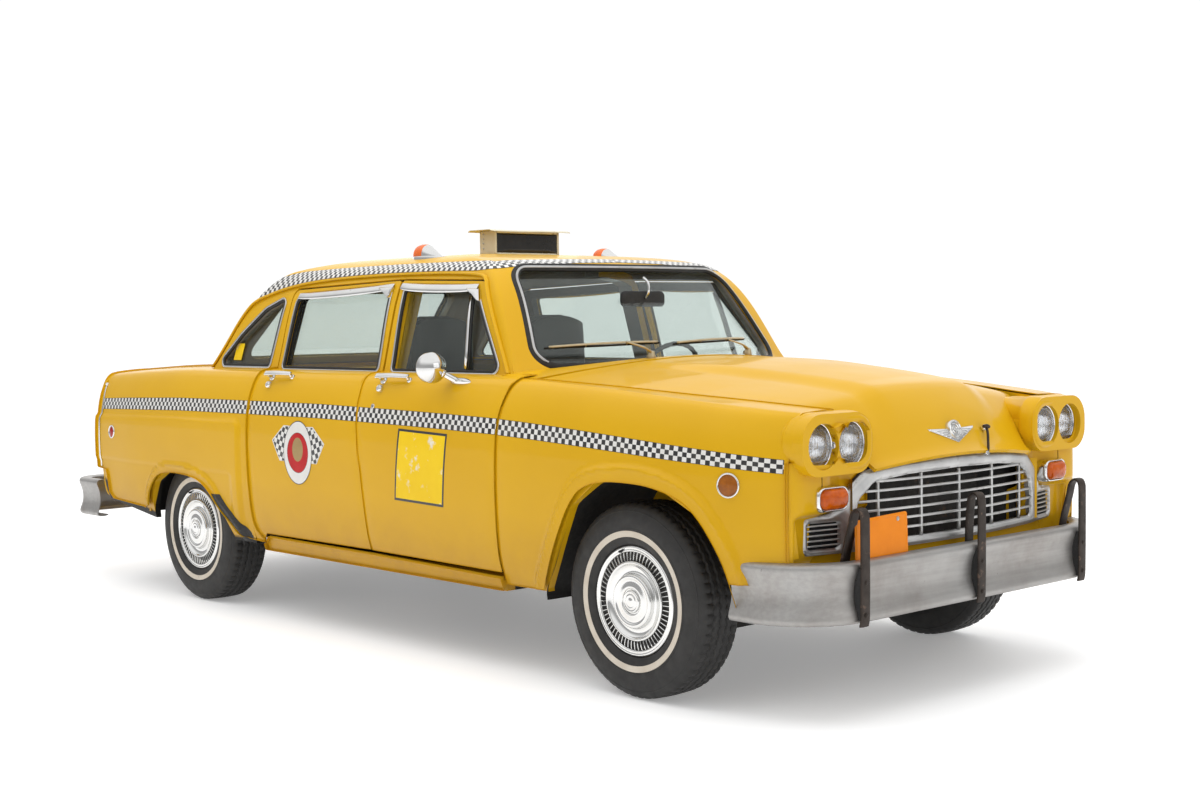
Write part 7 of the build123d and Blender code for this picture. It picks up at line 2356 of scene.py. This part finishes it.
m1_ = grid("m", np.array(rows), M["rubber"], closed_v=True, sharp=45)
m2_ = grid("m", np.array([[(.930 - .0078, -.02 + y * g_, 1.412 + z * g_) for y, z in mp_] for g_ in (.905, .4, .01)]), M["reflector"], closed_v=True)
m3_ = tube("m", spline([(.944, -.02, 1.414), (.962, -.018, 1.440), (.958, -.016, 1.478), (.930, -.015, 1.500)], 18), .006, M["chrome"], n=12)
join("interior_mirror", [m1_, m2_, m3_], "root")
dsh = []
rows = []
for y in np.linspace(-.685, .685, 40):
    b0 = .012 * smooth(.24, .20, abs(y - .38))
    rows.append([(1.10, y, 1.1005), (.960, y, 1.1015 + b0), (.900, y, 1.1000 + b0), (.868, y, 1.083 + b0), (.8585, y, 1.055), (.8585, y, 1.045), (.8625, y, 1.043)])
dsh.append(grid("d", np.array(rows), M["vinyl"], flipf=True))
for yy, r in ((.38, .060), (.285, .030), (.475, .030)):
    dsh.append(rev("d", [(r, -.002), (r, .007), (r - .004, .010), (r - .008, .006), (r - .010, .003), (0, .003)], (.8615, yy, 1.000), (-1, 0, 0), M["chrome"], n=44, sharp=45))
for yy in (-.05, .02, .09):
    dsh.append(rev("d", [(.011, 0), (.011, .016), (.009, .020), (0, .021)], (.8615, yy, .985), (-1, 0, 0), M["vinyl"], n=24, sharp=45))
for z in (1.030, .962):
    dsh.append(tube("d", [(.8600, y, z) for y in np.linspace(-.67, .67, 30)], .003, M["chrome"], n=8, flat=(.006, .004), up=(0, 0, 1)))
join("dash_pad_and_dials", dsh, "root")

# ============================================================ tail: skin, boot lid, lamps
def tail_fn(off):
    def f(Q):
        y, z = Q[:, 0], Q[:, 1]
        R = TR + off
        x = TX + TR - np.sqrt(R * R - y * y)
        k = smooth(.96, 1.07, z)
        x = x + .030 * k ** 2 + .020 * smooth(.50, .44, z)
        return np.stack([x, y, z], 1)
    return f


TT = tail_fn(.003)
tail_out = rounded([(-.898, .440, .030), (.898, .440, .030), (.914, .600, .2), (.915, .90, .2), (.893, 1.040, .040), (.850, 1.062, .02), (.6085, 1.072), (.6085, .697, .016), (-.6085, .697, .016), (-.6085, 1.072), (-.850, 1.062, .02), (-.893, 1.040, .040), (-.915, .90, .2), (-.914, .600, .2)], 6)
irons = [[(s * .435 + dx, z) for dx, z in ((-.037, .4405), (-.037, .495), (.037, .495), (.037, .4405))] for s in (1, -1)]
sheet("tail_skin", tail_out, [], .016, TT, M["paint"], "root", lip=.010, both_sides=False)

LIDC = spline([(-1.5985, 0, 1.1315), (-1.72, 0, 1.1290), (-1.90, 0, 1.1225), (-2.08, 0, 1.1110), (-2.190, 0, 1.0990), (-2.238, 0, 1.0840), (-2.264, 0, 1.0520), (-2.280, 0, 1.0050), (-2.292, 0, .9400), (-2.2985, 0, .8600), (-2.3010, 0, .7800), (-2.3010, 0, .7040)], 220)[:, [0, 2]]
LTL = np.concatenate([[0], np.cumsum(np.hypot(*np.diff(LIDC, axis=0).T))])
lx_, lz_ = interp(LTL[::10], LIDC[::10, 0]), interp(LTL[::10], LIDC[::10, 1])


def lid_fn(Q):
    t, y = Q[:, 0], Q[:, 1]
    t = np.clip(t, 0, LTL[::10][-1])
    x, z = lx_(t), lz_(t)
    # plan bow grows to the tail's own; the top is crowned across
    k = smooth(-1.60, -2.28, x)
    R = TR + .008
    bow_ = (TX + TR - np.sqrt(R * R - y * y)) - (TX + TR - R)
    face = smooth(1.10, 1.04, z)
    z = z - .034 * (y / .6) ** 2 * (1 - face)
    # pressed panel on the back face for the plate
    pl_ = smooth(.235, .205, np.abs(y)) * smooth(.745, .765, z) * smooth(.935, .915, z)
    return np.stack([x + bow_ * k + .010 * pl_, y, z], 1)


tl = LTL[::10][-1]
lid_o = rounded([(.002, -.5965, .018), (tl - .001, -.5965, .020), (tl - .001, .5965, .020), (.002, .5965, .018)], 6)
lid_s = sheet("trunk_lid_skin", lid_o, [], .0150, lid_fn, M["paint"], "trunk_lid", thick=.0, lip=.018, both_sides=False)[0]
lid_in = sheet("trunk_lid_inner", rounded([(.014, -.585, .018), (tl - .012, -.585, .020), (tl - .012, .585, .020), (.014, .585, .018)], 6), [], .03,
               lambda Q: lid_fn(Q) + np.stack([.018 * smooth(.30, .55, Q[:, 0]), 0 * Q[:, 0], -.018 * smooth(.62, .40, Q[:, 0]) + .0 * Q[:, 0]], 1), M["paint"], "trunk_lid", thick=.002, both_sides=False)[0]
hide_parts("trunk_lid")
# handle bar and lock on the lid
hd = []
hx = float(lid_fn(np.array([[float(np.interp(.735, LIDC[::-1, 1], LTL[::-1])), 0]]))[0, 0])
hd.append(tube("h", spline([(hx - .002, -.075, .728), (hx - .020, -.060, .728), (hx - .024, 0, .728), (hx - .020, .060, .728), (hx - .002, .075, .728)], 30), .01, M["chrome"], "trunk_lid", n=16, flat=(.020, .012), up=(0, 0, 1)))
hd.append(rev("h", [(.0160, -.004), (.0160, .005), (.0130, .0085), (.0090, .0080), (0, .0082)], (hx - .002, 0, .760), (-1, 0, 0), M["chrome"], "trunk_lid", n=32, sharp=45))
join("trunk_handle", hd, "trunk_lid")
# blank rear plate
rp = rounded([(-.152, .772, .012), (.152, .772, .012), (.152, .905, .012), (-.152, .905, .012)], 6)
sheet("rear_plate_blank", rp, [], .006, lambda Q: np.stack([np.full(len(Q), hx + .0035) - .0016 * np.exp(-((dist_poly(Q, rp) - .0075) / .0028) ** 2), Q[:, 0], Q[:, 1]], 1), M["plate"], "trunk_lid", thick=.0014, both_sides=False, slot="bumper_metal")
for s, tag in ((1, "left"), (-1, "right")):
    for i, z in enumerate((.905, .770)):
        y = .770
        cyy, syy = math.sqrt(1 - (y / TR) ** 2), y / TR
        P = np.array([TX + TR - (TR + .003) * cyy, s * (TR + .003) * syy, z])
        nn = np.array([-cyy, s * syy, 0])
        rev(f"tail_lamp_ring_{tag}_{i}", [(.0590, -.003), (.0600, .004), (.0590, .0110), (.0560, .0140), (.0520, .0135), (.0505, .0105), (.0500, .006)], P, nn, M["chrome"], n=72, slot="bumper_metal", sharp=50)
        pf = [(0, .0385), (.0060, .0384), (.0075, .0375), (.0140, .0372), (.0155, .0360), (.0230, .0350), (.0245, .0335), (.0310, .0312), (.0325, .0292), (.0385, .0255), (.0400, .0230), (.0450, .0170), (.0485, .0110), (.0500, .0060)]
        L_ = rev(f"tail_lamp_lens_{tag}_{i}", pf, P, nn, M["red"] if i == 0 else M["red"], n=72, slot="red_lens", flipf=True, sharp=60)
        if s > 0 and i == 0:
            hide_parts("tail_lamps")

# ============================================================ frame: kicked rails, cross-members, tapered outriggers
def box_ring(a0, a1, b0, b1, r=.006):
    return rounded([(a0, b0, r), (a1, b0, r), (a1, b1, r), (a0, b1, r)], 3)


fr = []
rail_b = interp([-2.300, -1.760, -1.700, -1.600, -1.520, -1.010, -.930, -.740, -.660, 1.930, 2.010, 2.120, 2.200, 2.450], [.385, .386, .395, .420, .430, .430, .412, .262, .236, .235, .255, .326, .340, .340])
rail_t = interp([-2.300, -1.760, -1.700, -1.600, -1.520, -.985, -.900, -.740, -.660, 1.930, 2.010, 2.100, 2.180, 2.450], [.490, .491, .502, .530, .540, .540, .520, .368, .344, .343, .360, .432, .445, .445])
for s in (1, -1):
    rows = []
    for x in np.linspace(-2.300, 2.450, 150):
        zb, zt = float(rail_b(x)), float(rail_t(x))
        rows.append([(x, s * y, z) for y, z in box_ring(.400, .470, zb, zt)])
    fr.append(grid("f", np.array(rows), M["chassis"], closed_v=True, caps=True, sharp=35))
    # rivets along the web
    for x in np.linspace(-.50, 1.85, 17):
        fr.append(bolt("f", (x, s * .4702, .29), (0, s, 0), .0065, M["chassis"], h=.004))
    for x in (.93, .18, -.53):
        rows = []
        for y in np.linspace(.465, .800, 12):
            k = (y - .465) / .335
            rows.append([(x + a * (1 - .25 * k), s * y, b_) for a, b_ in box_ring(-.030, .030, .250 + .066 * k ** .8, .338)])
        fr.append(grid("f", np.array(rows), M["chassis"], closed_v=True, caps=True, sharp=35))
for x0, x1, z0, z1 in ((2.180, 2.250, .345, .420), (.660, .730, .237, .285), (-.060, .010, .237, .285), (-.660, -.590, .237, .285), (-1.800, -1.730, .400, .480), (-2.245, -2.180, .400, .480)):
    rows = []
    for y in np.linspace(-.405, .405, 30):
        dip = .010 * (1 - (y / .405) ** 2)
        rows.append([(a, y, b_) for a, b_ in box_ring(x0, x1, z0 + dip, z1)])
    fr.append(grid("f", np.array(rows), M["chassis"], closed_v=True, caps=True, sharp=35))
frj = join("frame_side_rails", fr, "root")
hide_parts("frame_rails")

# lenses, plate and signs: thin clear film only, so the colour stays full
for k, sp_, ct in (("plate", .10, .10), ("amber", .20, .25), ("amber_dark", .20, .20), ("red", .20, .25), ("card_yellow", .10, .10), ("decal_red", .12, .1), ("sign_black", .30, .35)):
    bs = next(n for n in M[k].node_tree.nodes if n.type == "BSDF_PRINCIPLED")
    bs.inputs["Specular IOR Level"].default_value = sp_
    bs.inputs["Coat Weight"].default_value = ct

VIS_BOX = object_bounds()
tolist = lambda b: [[float(v) for v in p] for p in b]
{"cad": tolist(CAD_BOX), "visual": tolist(VIS_BOX)}
